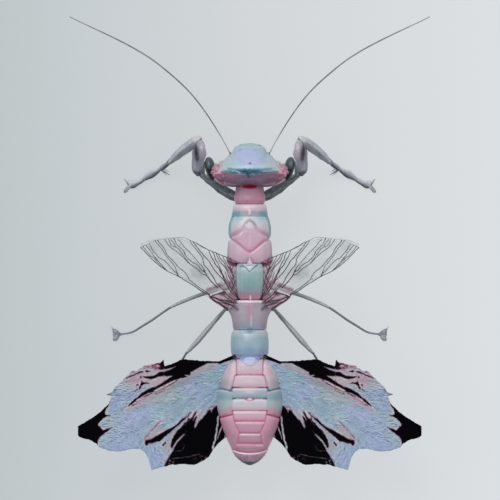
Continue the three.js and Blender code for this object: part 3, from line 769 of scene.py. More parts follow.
def col_rear(x, s, up, side):
    ax = np.abs(x)
    C = mix((212, 186, 200), (206, 174, 190), smooth(240, 252, s))
    C = mix(C, (198, 162, 182), smooth(253, 261, s) * 0.7)
    C = mix(C, (214, 206, 212), smooth(246, 240, s) * smooth(10, 18, ax) * smooth(0, -4, x) * 0.6)
    d = poly_sdf(ax, s, DIAMOND)
    C = mix(C, (222, 212, 216), gauss(d - 0.9, 0.6) * smooth(240, 243, s) * (0.45 + 0.55 * smooth(-2, 3, x)))
    C = mix(C, (196, 158, 178), gauss(d - 0.4, 0.5) * smooth(240, 243, s) * smooth(2, -2, x) * 0.6)
    C = mix(C, (142, 138, 154), smooth(20.6, 22.0, ax) * 0.75)
    C = mix(C, (170, 150, 166), gauss(np.hypot((ax - 5.0) / 4.0, (s - 261.5) / 2.4), 0.8) * 0.7)
    n = fbm(x / 1.6 + 8, s / 1.3, seed=9)
    edge = 261.9 - (ax - 11) * 0.42 + (n - 0.5) * 1.6
    C = mix(C, mix((168, 130, 149), (132, 98, 116), smooth(0.35, 0.65, n)), smooth(-0.4, 0.5, s - edge) * smooth(9.6, 11.4, ax))
    # a pinkish ring round the raised drop: painted shade around it
    C = mix(C, (152, 126, 144), gauss(np.hypot(x / 3.4, (s - 262.6) / 4.6) - 1, 0.18) * 0.6)
    return underside(C, x, s, up)


def col_meso(x, s, up, side):
    ax = np.abs(x)
    edge = pchip(BLOCK_EDGE[:, 0], BLOCK_EDGE[:, 1], s.ravel()).reshape(s.shape)
    wav = fbm(x / 5.0 + 3, s / 4.0, seed=12) - 0.5
    C = mix((180, 192, 198), (146, 172, 175), smooth(268.5, 274.5, s + wav * 2))
    C = mix(C, (128, 162, 164), smooth(275, 283, s) * smooth(13, 6, ax))
    C = mix(C, (136, 148, 156), smooth(283, 291, s + wav * 3))
    C = mix(C, (150, 132, 146), smooth(289.5, 294, s + wav * 3))
    C = mix(C, (180, 118, 142), smooth(293.5, 297.5, s + wav * 2) * smooth(-12, -7, x) * smooth(12, 9, x))
    C = mix(C, (192, 66, 106), smooth(298.0, 299.2, s) * smooth(13, 11.5, ax))
    C = mix(C, (120, 58, 82), smooth(297.0, 299.2, s) * smooth(8.5, 11, ax) * 0.8)
    lines = vnoise(x * 1.3 + 11, s * 0.04, seed=8)
    C = C + ((lines - 0.5) * 9)[..., None]
    C = mix(C, (198, 208, 212), gauss(ax - 12.6, 0.8) * smooth(290, 278, s) * 0.30)
    v_line = poly_sdf(x, s, [(-9.8, 266.6), (-7.6, 265.4), (-5.8, 266.8), (-4.4, 266.4), (0, 271.3), (3.9, 268.0), (7.4, 265.0)], closed=False)
    C = mix(C, (64, 126, 144), gauss(v_line, 0.62) * 0.9)
    above = smooth(0.4, -0.6, (s - 271.0) + ax * 1.12) * smooth(6.4, 5.0, ax)
    C = mix(C, (206, 208, 216), above)
    dots = fbm(x / 0.9 + 12, s / 0.8, seed=15)
    C = mix(C, (98, 110, 124), smooth(0.56, 0.66, dots) * smooth(270, 266, s) * smooth(7, 10, ax) * 0.7)
    C = mix(C, (232, 220, 226), gauss(x - 0.6, 0.55) * smooth(294.8, 296, s))
    # the flanks, under the wing roots
    run = ax * 0.86 - s * 0.42
    fine = vnoise(run * 1.5, s * 0.08 + 3, seed=13)
    F = mix((214, 206, 212), (184, 164, 176), vnoise(run * 0.5 + 9, s * 0.09, seed=14))
    F = mix(F, (112, 70, 88), smooth(0.62, 0.78, fine) * 0.75)
    F = mix(F, (232, 228, 232), smooth(0.34, 0.22, fine) * 0.6)
    F = mix(F, (176, 146, 164), smooth(268, 264, s) * 0.6)
    # lighter next to the raised block's wall: painted light against the shade of the steep wall
    F = mix(F, (236, 230, 236), smooth(2.6, 0.4, ax - edge) * 0.6)
    C = mix(C, F, smooth(-0.2, 1.3, ax - edge))
    C = mix(C, (96, 90, 104), gauss(ax - edge - 0.4, 0.5) * smooth(268, 272, s) * 0.25)
    return underside(C, x, s, up)


def col_meta(x, s, up, side):
    ax = np.abs(x)
    wav = fbm(x / 4.0 + 31, s / 5.0, seed=16) - 0.5
    C = mix((160, 148, 162), (166, 156, 168), smooth(304, 312, s))
    C = mix(C, (160, 168, 170), gauss(np.hypot((ax - 6.8) / 2.2, (s - 316) / 8.0), 0.8) * smooth(2, -3, x) * 0.85)
    C = mix(C, (176, 156, 170), gauss(np.hypot((ax - 11) / 4.0, (s - 315) / 9.0), 0.8) * 0.5)
    C = mix(C, (132, 152, 172), smooth(319, 328.5, s + wav * 4) * smooth(14.5, 8, ax + wav * 6) * 0.85)
    C = mix(C, (148, 128, 146), smooth(318, 328, s) * smooth(9, 14, ax) * 0.7)
    C = mix(C, (190, 146, 162), gauss(ax, 2.6) * smooth(323, 314, s) * 0.75)
    C = mix(C, (196, 118, 146), gauss(x + 0.6, 0.8) * smooth(322, 305, s) * 0.55)
    C = mix(C, (200, 196, 206), gauss(x - 1.5, 0.7) * smooth(312, 318, s) * smooth(329, 324, s) * 0.6)
    C = mix(C, (222, 220, 226), smooth(302.9, 301.9, s) * smooth(13.6, 12.2, ax))
    C = mix(C, (112, 96, 112), smooth(0.90, 1.0, side) * 0.5)
    C = mix(C, (200, 138, 160), smooth(0.955, 0.99, side) * smooth(312, 316, s) * smooth(-4, -9, x) * 0.6)
    # dark blue spot at the rear centre: painted shade in the notch
    C = mix(C, (96, 112, 138), gauss(np.hypot(x / 3.4, (s - 328.8) / 1.4), 0.6) * 0.8)
    C = mix(C, (150, 160, 176), smooth(327.8, 329.2, s) * smooth(3, 5, ax) * 0.5)
    # folds and dark streaks where the hind wings and hind legs join
    streak = vnoise(ax * 0.7 + s * 1.3, s * 0.15 - ax * 0.1, seed=17)
    sh = smooth(12.0, 15.5, ax) * smooth(313, 305, s)
    C = mix(C, mix((118, 114, 130), (98, 86, 106), streak), sh * 0.7)
    d = poly_sdf(ax, s, [(23.5, 304.6), (18.0, 305.8), (14.6, 307.2), (12.4, 309.2)], closed=False)
    C = mix(C, (84, 72, 92), gauss(d, 1.1) * (0.35 + 0.5 * smooth(20, 14, ax)))
    C = mix(C, (66, 50, 66), smooth(0.6, 0.75, streak) * smooth(10.5, 13, ax) * smooth(309, 304, s) * 0.7)
    return underside(C, x, s, up)


def col_waist(x, s, up, side):
    ax = np.abs(x)
    wav = fbm(x / 6.0 + 61, s / 6.0, seed=18) - 0.5
    C = mix((174, 190, 197), (152, 176, 183), smooth(333, 339, s + wav * 3))
    C = mix(C, (150, 174, 186), smooth(340, 346, s + wav * 3))
    C = mix(C, (134, 156, 180), smooth(345, 351, s + wav * 3))
    C = mix(C, (134, 152, 188), smooth(350.5, 356, s - ax * 0.14 + wav * 2))
    C = mix(C, (142, 178, 186), gauss(ax - 15.0, 1.6) * smooth(334, 340, s) * smooth(355, 348, s) * 0.5)
    C = mix(C, (196, 186, 198), smooth(9, 15, ax) * smooth(338, 333.5, s) * 0.7)
    # pale arcs along the top edge: painted highlights
    arc = 334.6 - 1.6 * np.clip(ax / 8.0, 0, 1) ** 2 - 0.9 * np.exp(-((ax / 1.6) ** 2))
    C = mix(C, (192, 208, 216), gauss(s - arc, 0.7) * smooth(9.5, 6, ax) * smooth(0.8, 2.2, ax) * 0.5)
    # dark blue spot at the front centre: painted shade in the notch
    C = mix(C, (112, 138, 160), gauss(np.hypot(x / 3.0, (s - 331.6) / 1.3), 0.7) * 0.85)
    # pale line at both ends of the front edge: painted highlights
    C = mix(C, (206, 216, 222), gauss(s - 331.2, 0.8) * smooth(4, 7, ax) * 0.4)
    C = mix(C, (132, 154, 164), smooth(0.94, 1.0, side) * 0.35)
    C = mix(C, (196, 176, 196), smooth(354.5, 358, s) * smooth(9, 13, ax) * 0.8)
    return underside(C, x, s, up)


CENTRAL = [  # front station, rear station, front, middle and rear colours
    (358.0, 374.6, (216, 198, 208), (208, 190, 200), (204, 172, 187)),
    (374.9, 387.2, (216, 202, 210), (208, 186, 197), (204, 168, 184)),
    (387.7, 398.2, (216, 214, 218), (186, 194, 200), (150, 182, 184)),
    (398.7, 410.4, (214, 216, 221), (202, 196, 204), (202, 172, 187)),
    (410.9, 420.9, (220, 202, 208), (208, 170, 186), (212, 132, 162)),
    (421.4, 432.8, (206, 168, 184), (194, 148, 168), (190, 136, 158)),
    (433.3, 443.2, (206, 160, 179), (186, 140, 161), (186, 126, 150)),
    (443.7, 452.3, (208, 160, 180), (188, 144, 163), (178, 122, 145)),
    (452.8, 466.5, (184, 148, 165), (166, 128, 146), (120, 108, 124)),
]
CENTRE_HALF = [  # station, half width of the central plates (units)
    (358, 13.6), (374.7, 13.0), (375.2, 14.8), (387.2, 17.6), (398.4, 17.4), (411, 17.2),
    (420.9, 15.6), (421.6, 15.4), (432.8, 10.6), (433.4, 10.6), (443.4, 13.4), (452.6, 15.6), (466, 9.0),
]
LATERAL = [  # seam between side plates: station at the centre plates, station at the margin
    (391.0, 388.4),
    (414.2, 417.6),
]


def central_rows(ax, s):
    """Which central plate a point is on, and how far along it, with the last seam curved."""
    seam = 452.7 - 3.1 * np.clip(ax / 16.5, 0, 1.1) ** 2.4
    s2 = np.where(s > 445.5, s + (452.55 - seam) * smooth(445.5, 449.5, s), s)
    t = np.zeros_like(s)
    idx = np.zeros(s.shape, int)
    for k, (a, b, *_c) in enumerate(CENTRAL):
        on = (s2 >= a) & (s2 <= b + 0.25)
        idx = np.where(on, k, idx)
        t = np.where(on, np.clip((s2 - a) / (b - a), 0, 1), t)
    return idx, t, s2


def lateral_t(ax, s):
    """Side plate number and how far along it."""
    out = smooth(15, 32, ax)
    l1 = LATERAL[0][0] * (1 - out) + LATERAL[0][1] * out
    l2 = LATERAL[1][0] * (1 - out) + LATERAL[1][1] * out
    idx = np.where(s < l1, 0, np.where(s < l2, 1, 2))
    a = np.where(idx == 0, 358.0, np.where(idx == 1, l1, l2))
    b = np.where(idx == 0, l1, np.where(idx == 1, l2, 449.0))
    return idx, np.clip((s - a) / np.maximum(b - a, 0.1), 0, 1), l1, l2


def abdomen_seams(ax, s):
    """Distances (units) to the long seams, cross seams and side seams."""
    ch = np.array(CENTRE_HALF)
    long_ = np.abs(ax - np.interp(s, ch[:, 0], ch[:, 1]))
    inner = np.interp(s, ch[:, 0], ch[:, 1])
    _, _, s2 = central_rows(ax, s)
    cross = np.full(s.shape, 1e3)
    for (_a, b, *_r), (a2, *_q) in zip(CENTRAL[:-1], CENTRAL[1:]):
        cross = np.minimum(cross, np.abs(s2 - (b + a2) / 2))
    cross = np.where(ax <= inner + 0.2, cross, 1e3)
    # the last two bands run right across
    last = np.abs(s2 - 452.55)
    cross = np.where(s > 446, np.minimum(cross, last), cross)
    _, _, l1, l2 = lateral_t(ax, s)
    side_seam = np.minimum(np.abs(s - l1), np.abs(s - l2))
    side_seam = np.where(ax >= inner - 0.2, side_seam, 1e3)
    long_ = np.where(s > 446.5, 1e3, long_)
    return long_, cross, side_seam, inner


def relief_abdomen(x, s, up):
    ax = np.abs(x)
    long_, cross, side_seam, inner = abdomen_seams(ax, s)
    idx, t, _ = central_rows(ax, s)
    li, lt, _, _ = lateral_t(ax, s)
    centre = smooth(0.6, -0.6, ax - inner)
    pillow_c = 0.20 * smooth(0.0, 0.08, t) * (1 - 0.62 * t) + 0.05 * np.sin(np.pi * t)
    pillow_l = 0.16 * smooth(0.0, 0.06, lt) * (1 - 0.5 * lt)
    bulge = 0.10 * gauss(ax - (inner + 6), 5.0)
    d = pillow_c * centre + (pillow_l + bulge) * (1 - centre)
    d = d * np.where(s > 446, smooth(447, 445, s) * 0.3 + 0.7, 1)
    groove = np.minimum(np.minimum(long_, cross), side_seam)
    quiet = smooth(388, 390, s) * smooth(412, 409.5, s) * (long_ < np.minimum(cross, side_seam))
    d = d - 0.17 * gauss(groove, 0.65) * (1 - 0.7 * quiet)
    # small oval window in the seam behind the third plate
    eye = np.hypot(ax / 4.2, (s - 398.6) / 1.5)
    d = d + 0.08 * gauss(eye, 0.5) - 0.06 * gauss(eye - 1.0, 0.25)
    d = d + (fbm(x / 4.0, s / 4.0, seed=21) - 0.5) * 0.03
    return d * smooth(0.02, 0.35, up)


def col_abdomen(x, s, up, side):
    ax = np.abs(x)
    long_, cross, side_seam, inner = abdomen_seams(ax, s)
    idx, t, s2 = central_rows(ax, s)
    front = np.array([c[2] for c in CENTRAL], float)[idx]
    mid_ = np.array([c[3] for c in CENTRAL], float)[idx]
    rear = np.array([c[4] for c in CENTRAL], float)[idx]
    # each plate runs from a pale front to a darker, pinker rear: partly its own pink, partly painted light on the
    # raised front and painted shade towards the rear
    C = mix(front, mid_, smooth(0.08, 0.42, t))
    C = mix(C, rear, smooth(0.5, 1.0, t))
    # pale line at the front of the fourth plate: painted highlight on its lip
    C = mix(C, (196, 200, 206), gauss(s2 - 399.7, 0.8) * (idx == 3) * 0.5)
    li, lt, _, _ = lateral_t(ax, s)
    drift = fbm(x / 4.0 + 80, s / 6.0, seed=22) - 0.5
    out = ax - inner
    L = mix((214, 198, 207), (206, 186, 197), smooth(0.1, 0.5, lt + drift * 0.3))
    L = mix(L, (196, 178, 190), smooth(0.6, 1.0, lt + drift * 0.3))
    L = mix(L, (220, 176, 192), gauss(out - 5.6 + drift * 3, 1.3) * 0.45)
    L = mix(L, (222, 206, 214), gauss(out - 3.0 + drift * 3, 1.2) * 0.5)
    L = mix(L, (196, 184, 182), gauss(out - 8.6 + drift * 4, 1.4) * 0.45)
    L = mix(L, (204, 148, 168), smooth(0.86, 0.96, side) * 0.6)
    L1 = mix((186, 200, 205), (160, 186, 188), smooth(0.0, 0.3, lt))
    L1 = mix(L1, (178, 176, 184), smooth(0.42, 0.66, lt + drift * 0.5))
    L1 = mix(L1, (190, 156, 172), smooth(0.62, 0.84, lt + drift * 0.4))
    L1 = mix(L1, (192, 124, 150), smooth(0.84, 1.0, lt + drift * 0.2))
    L2 = mix((220, 170, 189), (204, 152, 172), smooth(0.0, 0.2, lt))
    L2 = mix(L2, (192, 142, 163), smooth(0.35, 0.7, lt + drift * 0.5))
    L2 = mix(L2, (184, 128, 150), smooth(0.75, 1.0, lt))
    lateral = np.where((li == 0)[..., None], L, np.where((li == 1)[..., None], L1, L2))
    w = smooth(-0.5, 0.5, ax - inner) * (s < 447.5)
    C = mix(C, lateral, w)
    C = C * (1 - (smooth(387.0, 391.5, s) * smooth(402, 397.5, s))[..., None] * np.array([0.15, 0.11, 0.08]))
    # the side plates darker from station 376 to 390: painted shade
    C = C * (1 - (w * smooth(376, 384, s) * smooth(390.5, 388.0, s))[..., None] * np.array([0.15, 0.09, 0.09]))
    # dark margin at the flank
    C = mix(C, (104, 110, 128), smooth(0.93, 1.0, side) * 0.5 * (s < 412))
    C = mix(C, (166, 108, 132), smooth(0.92, 1.0, side) * 0.5 * (s >= 412))
    # seams
    thin = fbm(x / 1.6 + 15, s / 1.6, seed=23)
    fade = smooth(0.30, 0.55, thin) * 0.35 + 0.65
    rose, wine = (206, 92, 132), (176, 58, 98)
    seam_c = mix(rose, wine, smooth(3, 14, ax) * 0.7)
    seam_c = mix(seam_c, (218, 112, 148), gauss(s - 443.4, 1.0) + gauss(s - 432.9, 1.0) * 0.4)
    seam_c = mix(seam_c, (26, 30, 46), gauss(s - 387.4, 1.0) * smooth(7.5, 9.5, ax))
    seam_c = mix(seam_c, (150, 182, 184), gauss(s - 398.5, 1.2) * smooth(10.0, 11.0, ax) * smooth(13.6, 12.8, ax))
    seam_c = mix(seam_c, (30, 52, 62), gauss(s - 398.5, 1.2) * smooth(13.2, 14.0, ax))
    seam_c = mix(seam_c, (196, 120, 152), gauss(s - 398.5, 1.2) * smooth(10.0, 9.0, ax))
    C = mix(C, seam_c, gauss(cross, 0.50) * 0.9 * fade)
    long_c = mix((204, 96, 134), (222, 140, 166), smooth(374, 378, s) * smooth(388, 384, s) * 0.8)
    long_w = 0.85 * (1 - 0.92 * smooth(388, 390, s) * smooth(412, 409.5, s)) * (1 - 0.6 * smooth(437, 441, s))
    C = mix(C, long_c, gauss(long_, 0.40) * long_w * fade * (1 - 0.22 * smooth(418, 424, s)))
    C = mix(C, mix((58, 92, 102), (166, 56, 92), smooth(398, 408, s)), gauss(side_seam, 0.50) * 0.85)
    for kx, ks, kc, kr in ((13.2, 374.8, (160, 36, 80), 0.9), (17.5, 387.6, (10, 22, 32), 0.9), (19.6, 390.8, (8, 30, 36), 0.9), (18.4, 388.9, (40, 74, 84), 0.8), (17.4, 410.6, (150, 40, 80), 0.7)):
        C = mix(C, kc, gauss(np.hypot(ax - kx, s - ks) / kr, 0.7) * 0.9)
    # front lips of the plates: painted highlights
    for ls, lc, lw, lo_, hi_ in ((399.7, (228, 234, 237), 0.55, -16.5, 16.5), (388.6, (222, 220, 223), 0.6, -16.8, 16.8), (411.6, (232, 222, 224), 0.6, -16.4, 16.4), (422.3, (232, 214, 214), 0.55, -14.4, 14.6), (434.3, (238, 228, 231), 0.5, -10.2, 10.6), (445.6, (222, 212, 206), 0.45, 5.6, 14.6), (375.8, (222, 206, 213), 0.5, -13.0, 13.0)):
        C = mix(C, lc, gauss(s - ls - 0.3 * (thin - 0.5), lw) * smooth(lo_ - 0.5, lo_ + 1.0, x) * smooth(hi_ + 0.5, hi_ - 1.0, x) * 0.85)
    C = mix(C, (222, 176, 194), gauss(s2 - 445.2, 0.6) * smooth(445, 446, s) * smooth(6, 3, x) * 0.6)
    # pale lines at the front of the second side plate and of the last plate: painted highlights on their lips
    C = mix(C, (232, 210, 220), gauss(lt - 0.05, 0.03) * w * (li == 1) * 0.5)
    C = mix(C, (238, 232, 236), gauss(s2 - 453.55, 0.50) * smooth(450, 451, s2) * smooth(18, 16.5, ax))
    eye = np.hypot(ax / 4.0, (s - 398.7) / 1.5)
    C = mix(C, (186, 70, 112), gauss(eye - 1.0, 0.22) * 0.8)
    C = mix(C, (214, 232, 236), gauss(np.hypot(ax / 1.9, (s - 398.6) / 1.1), 0.7))
    C = mix(C, (222, 206, 214), gauss(np.hypot(x / 7, (s - 391.4) / 2.4), 0.7) * 0.7)
    C = mix(C, (226, 214, 218), gauss(np.hypot(x / 10, (s - 380.5) / 3.0), 0.7) * 0.4)
    # hair-fine lines towards the tip
    tip = smooth(453.0, 456, s2)
    fine = vnoise(x * 1.9 + s * 0.22 * np.sign(x), s * 0.42, seed=31)
    C = C + ((fine - 0.5) * 44 * tip)[..., None]
    rim = pchip([448, 452, 456, 460, 463, 465.5], [18.6, 17.2, 14.4, 10.3, 5.8, 1.0], s.ravel()).reshape(s.shape) - ax
    C = mix(C, (30, 84, 92), smooth(3.6, 1.2, rim + (fine - 0.5) * 2) * smooth(456.5, 460, s) * 0.95)
    C = mix(C, (30, 84, 92), smooth(461.0, 463.0, s + (fine - 0.5) * 1.5) * 0.95)
    C = mix(C, (110, 84, 104), smooth(2.0, 0.6, rim) * smooth(452, 455, s) * 0.5)
    C = mix(C, (146, 92, 114), smooth(0.5, 0.7, thin) * gauss(np.hypot((x + 13) / 4, (s - 449.6) / 1.8), 0.8) * 0.8)
    w = smooth(-0.02, -0.4, up)
    stern = mix((206, 188, 198), (184, 162, 176), smooth(0.0, 1.0, (s - 358) / 18 % 1.0))
    stern = mix(stern, (150, 96, 120), gauss((s - 358) % 18.0 - 17.4, 0.7))
    return mix(C, stern, w)


def no_relief(x, s, up):
    return (fbm(x / 4.0 + 9, s / 4.0, seed=2) - 0.5) * 0.04


def relief_neck(x, s, up):
    return (
        (vnoise(x * 1.1 + 30, s * 0.05, seed=3) - 0.5) * 0.03
        - 0.05 * gauss(s - 202.0, 0.5)
        - 0.04 * gauss(s - 195.2, 1.5)
    )


def relief_collar(x, s, up):
    ax = np.abs(x)
    return (
        0.10 * smooth(210.8, 212.6, s) * smooth(5, 11, ax)
        + 0.10 * gauss(x, 1.1) * smooth(208, 209.5, s)
        - 0.06 * gauss(s - 211.0, 0.8) * smooth(4, 9, ax)
    ) * smooth(0, 0.3, up)


def relief_shield(x, s, up):
    ax = np.abs(x)
    edge_in = pchip([216, 222, 230, 239], [15.6, 18.0, 19.0, 17.6], s)
    d = -0.07 * gauss(ax - edge_in, 0.9)
    d = d + 0.14 * gauss(np.hypot((ax - 12.5) / 5.0, (s - 224) / 5.0), 0.8)
    return d * smooth(0.0, 0.3, up) + no_relief(x, s, up)


def relief_rear(x, s, up):
    ax = np.abs(x)
    d = 0.12 * gauss(np.hypot((ax - 13.5) / 7.0, (s - 251) / 8.0), 0.8)
    d = d - 0.12 * gauss(x, 1.8) * smooth(251, 255, s)
    d = d - 0.10 * smooth(9.6, 11.4, ax) * smooth(-0.6, 0.6, s - 262.4 + (ax - 11) * 0.44)
    return d * smooth(0.0, 0.3, up) + no_relief(x, s, up)


def relief_meso(x, s, up):
    ax = np.abs(x)
    v_line = poly_sdf(x, s, [(-9.8, 266.6), (-7.6, 265.4), (-5.8, 266.8), (-4.4, 266.4), (0, 271.3), (3.9, 268.0), (7.4, 265.0)], closed=False)
    d = -0.10 * gauss(v_line, 0.6)
    d = d + 0.08 * gauss(x - 0.6, 0.8) * smooth(293.5, 295, s)
    d = d - 0.10 * smooth(294, 299, s) * smooth(9, 4, ax)
    run = ax * 0.86 - s * 0.42
    d = d + (vnoise(run * 1.5, s * 0.08 + 3, seed=13) - 0.5) * 0.14 * smooth(14, 15.5, ax)
    d = d + (vnoise(x * 1.3 + 11, s * 0.04, seed=8) - 0.5) * 0.02 * smooth(14, 13, ax)
    return d * smooth(0.0, 0.3, up)


def relief_meta(x, s, up):
    ax = np.abs(x)
    d = 0.08 * gauss(ax, 3.4) * smooth(325, 312, s)
    d = d - 0.05 * gauss(ax, 1.0) * smooth(322, 314, s)
    d = d - 0.12 * gauss(np.hypot(x / 3.2, (s - 329.2) / 1.8), 0.7)
    d = d - 0.05 * gauss(s - 303.2, 0.5) * smooth(14, 12, ax)
    streak = vnoise(ax * 0.7 + s * 1.3, s * 0.15 - ax * 0.1, seed=17)
    d = d + (streak - 0.5) * 0.18 * smooth(13, 16, ax) * smooth(311, 306, s)
    return d * smooth(0.0, 0.3, up) + no_relief(x, s, up)


def relief_waist(x, s, up):
    d = 0.02 * gauss(np.hypot((np.abs(x) - 4.5) / 3.5, (s - 334.0) / 1.6), 0.7)
    return d * smooth(0.0, 0.3, up) + no_relief(x, s, up)


HALF_DIAMOND = [  # outline of the raised diamond, one half: x, station
    (0, 219.8), (3.0, 221.6), (5.4, 224.6), (6.6, 228.0), (8.6, 230.2),
    (12.4, 232.8), (16.2, 235.8), (18.4, 238.4), (13.4, 243.2), (8.2, 247.6), (3.6, 251.2), (0, 252.8),
]
DIAMOND = HALF_DIAMOND + [(-x, st) for x, st in HALF_DIAMOND[-2:0:-1]]

SEGMENTS = [
    ("neck", relief_neck, col_neck, (0.10, 0.16), "pink_shell"),
    ("prothorax_collar", relief_collar, col_collar, (0.12, 0.05), "pink_shell"),
    ("prothorax_shield", relief_shield, col_shield, (0.06, 0.16), "pink_shell"),
    ("prothorax_rear", relief_rear, col_rear, (0.18, 0.04), "pink_shell"),
    ("mesothorax", relief_meso, col_meso, (0.04, 0.10), "teal_shell"),
    ("metathorax", relief_meta, col_meta, (0.10, 0.06), "pink_shell"),
    ("abdomen_waist", relief_waist, col_waist, (0.12, 0.06), "teal_shell"),
]
for name, relief, colour, lip, slot_name in SEGMENTS:
    rows = np.array(TRUNK[name])
    s = stations(rows[0, 0] - 0.05, rows[-1, 0] + 0.05, 0.5, max(lip))
    soup = Soup().add(*trunk_mesh(name, s, rows, lip, relief, colour))
    piece(name + "_plate", soup, MAT_SHELL, slot_name, [name])

# the abdomen is one closed skin of plates from the waist to the tip
rows = loops_of(ABDOMEN)
s = stations(rows[0, 0], 465.4, 0.5, 0.2)
soup = Soup().add(
    *trunk_mesh("abdomen", s, rows, 0.2, relief_abdomen, col_abdomen, 190, 80)
)
piece("abdomen_plates", soup, MAT_SHELL, "pink_shell", ABDOMEN)

# soft joint membrane inside the gaps between the segments
core_rows = loops_of(
    ["neck", "prothorax_collar", "prothorax_shield", "prothorax_rear", "mesothorax", "metathorax", "abdomen_waist", "abdomen_front"]
)
core_rows = core_rows[core_rows[:, 0] < 372]
s = np.arange(186, 366, 1.5)
soup = Soup().add(
    *trunk_mesh(
        "core",
        s,
        core_rows,
        0.3,
        None,
        lambda x, s, up, side: mix(mix((178, 96, 126), (150, 92, 118), vnoise(x / 2, s / 2, seed=4)), (150, 158, 198), smooth(345, 352, s)),
        48,
        24,
        grow=-0.40,
    )
)
piece("trunk_joint_membrane", soup, MAT_CORE, "pink_shell")

# raised diamond on the pronotum, lying over the cut between its two plates
pro_rows = loops_of(["prothorax_shield", "prothorax_rear"])
dia = np.array(HALF_DIAMOND)
s = np.linspace(219.9, 252.7, 110)
c = np.linspace(-1, 1, 91)
half = np.maximum(np.interp(s, dia[:, 1], dia[:, 0]), 0.05)
XD = half[:, None] * c[None]
SD = np.repeat(s[:, None], len(c), 1)
bed = np.array([(216.4, 20.6, 14.1, 10.7, 7.6), (222, 21.0, 14.52, 10.6, 7.4), (230, 21.6, 14.82, 10.5, 7.3), (240, 21.8, 14.80, 10.4, 7.2), (253, 22.4, 14.9, 10.4, 7.0)])
ZD = np.maximum(top_z(bed, XD, SD), top_z(pro_rows, XD, SD) - 0.03)
sd = -poly_sdf(XD, SD, DIAMOND)
lobe = np.hypot(XD / 5.6, (SD - 225.2) / 4.4)
rise = 0.10 + 0.24 * smooth(0.0, 3.0, sd) + 0.08 * smooth(3.0, 9.0, sd)
rise = rise + 0.10 * smooth(1.3, 0.6, lobe)
# a low fold, and the line of a painted highlight along it
fold_and_highlight = poly_sdf(XD, SD, [(-9.9, 235.0), (-8.4, 233.8), (-6.8, 232.2)], closed=False)
rise = rise + 0.07 * gauss(fold_and_highlight, 1.0) + 0.03 * (fbm(XD / 3.0, SD / 3.0, seed=24) - 0.5)
top = np.stack([XD * UNIT, (DATUM - SD) * UNIT, ZD + rise], -1)
low = np.stack([XD * UNIT, (DATUM - SD) * UNIT, ZD - 0.25], -1)
CD = mix((206, 184, 197), (204, 168, 185), smooth(226, 240, SD))
CD = mix(CD, (200, 154, 176), smooth(240, 250, SD) * 0.7)
CD = mix(CD, (218, 204, 212), smooth(1.2, 0.6, lobe) * 0.6)
CD = mix(CD, (202, 128, 160), gauss(sd - 1.0, 1.4) * smooth(236.5, 240.5, SD) * 0.6)
CD = mix(CD, (210, 118, 154), gauss(sd - 1.8, 1.2) * smooth(239, 242, SD) * smooth(1, 6, XD) * smooth(250, 247, SD) * 0.6)
CD = mix(CD, (194, 138, 166), gauss(sd - 0.6, 1.3) * smooth(227, 231, SD) * smooth(240, 237, SD) * 0.6)
CD = mix(CD, (150, 140, 154), gauss(sd - 0.3, 0.7) * smooth(229, 224, SD) * 0.6)
CD = mix(CD, (208, 104, 138), gauss(np.hypot(XD / 2.4, (SD - 251.2) / 1.4), 0.8) * 0.7)
# a pale streak along the fold: painted highlight
CD = mix(CD, (238, 226, 232), gauss(fold_and_highlight, 0.62) * (0.30 + 0.45 * gauss(np.hypot((XD + 8.6) / 1.6, (SD - 234.0) / 1.8), 1.0)))
# small white spots near the lobe: painted highlights
CD = mix(CD, (240, 232, 236), gauss(np.hypot((XD + 4.4) / 0.9, (SD - 224.4) / 1.2), 0.7) * 0.7 + gauss(np.hypot((XD + 0.8) / 1.1, (SD - 222.4) / 1.0), 0.7) * 0.6)
# pale lines along the ridges: painted highlights
for ridge, wt in (([(-16.6, 237.6), (-12.5, 236.4), (-9.6, 234.4), (-6.4, 230.4)], 0.45), ([(16.6, 237.6), (12.6, 236.2), (8.6, 232.8), (6.8, 229.8)], 0.40), ([(-0.6, 246.5), (0.3, 241.0), (-0.4, 236.5)], 0.25)):
    CD = mix(CD, (226, 204, 215), gauss(poly_sdf(XD, SD, ridge, closed=False), 0.9) * wt)
# darker lines behind the left ridge and in the middle crease: painted shade
CD = mix(CD, (192, 150, 174), gauss(poly_sdf(XD, SD, [(-13.5, 239.0), (-8.0, 238.6), (-3.0, 235.0)], closed=False), 1.3) * 0.25)
CD = mix(CD, (184, 144, 168), gauss(poly_sdf(XD, SD, [(-3.2, 228.6), (-1.0, 231.0), (-3.4, 234.6)], False), 0.5) * 0.35)
v, Q = sheet(top, low)
soup = Soup().add(v, Q, None, np.vstack([CD.reshape(-1, 3)] * 2))
piece("pronotum_diamond", soup, MAT_SHELL, "pink_shell")

# small pale bell at the front of the wing-bearing segment
drop_rows = loops_of(["prothorax_rear", "mesothorax"])
s = np.linspace(257.7, 265.4, 40)
c = np.linspace(-1, 1, 31)
half = pchip([257.7, 258.6, 260.4, 262.4, 264.2, 265.0, 265.4], [0.15, 0.8, 1.2, 2.0, 3.3, 3.5, 3.1], s)
XD, SD = half[:, None] * c[None], np.repeat(s[:, None], len(c), 1)
ZD = np.array([[float(top_z(drop_rows, 0.0, q))] * len(c) for q in s])
rise = 0.12 + 0.30 * np.sqrt(np.clip(1 - c[None] ** 2, 0, 1)) * smooth(257.6, 259.5, SD) * smooth(266.5, 262.5, SD)
v, Q = sheet(np.stack([XD * UNIT, (DATUM - SD) * UNIT, ZD + rise], -1), np.stack([XD * UNIT, (DATUM - SD) * UNIT, ZD - 0.2 + 0 * XD], -1))
CD = mix((224, 214, 221), (202, 190, 200), smooth(260.5, 264.5, SD))
CD = mix(CD, (190, 160, 176), smooth(0.75, 1.0, np.abs(c))[None] * np.ones_like(SD) * 0.7)
soup = Soup().add(v, Q, None, np.vstack([CD.reshape(-1, 3)] * 2))
piece("pronotum_drop", soup, MAT_SHELL, "pink_shell")

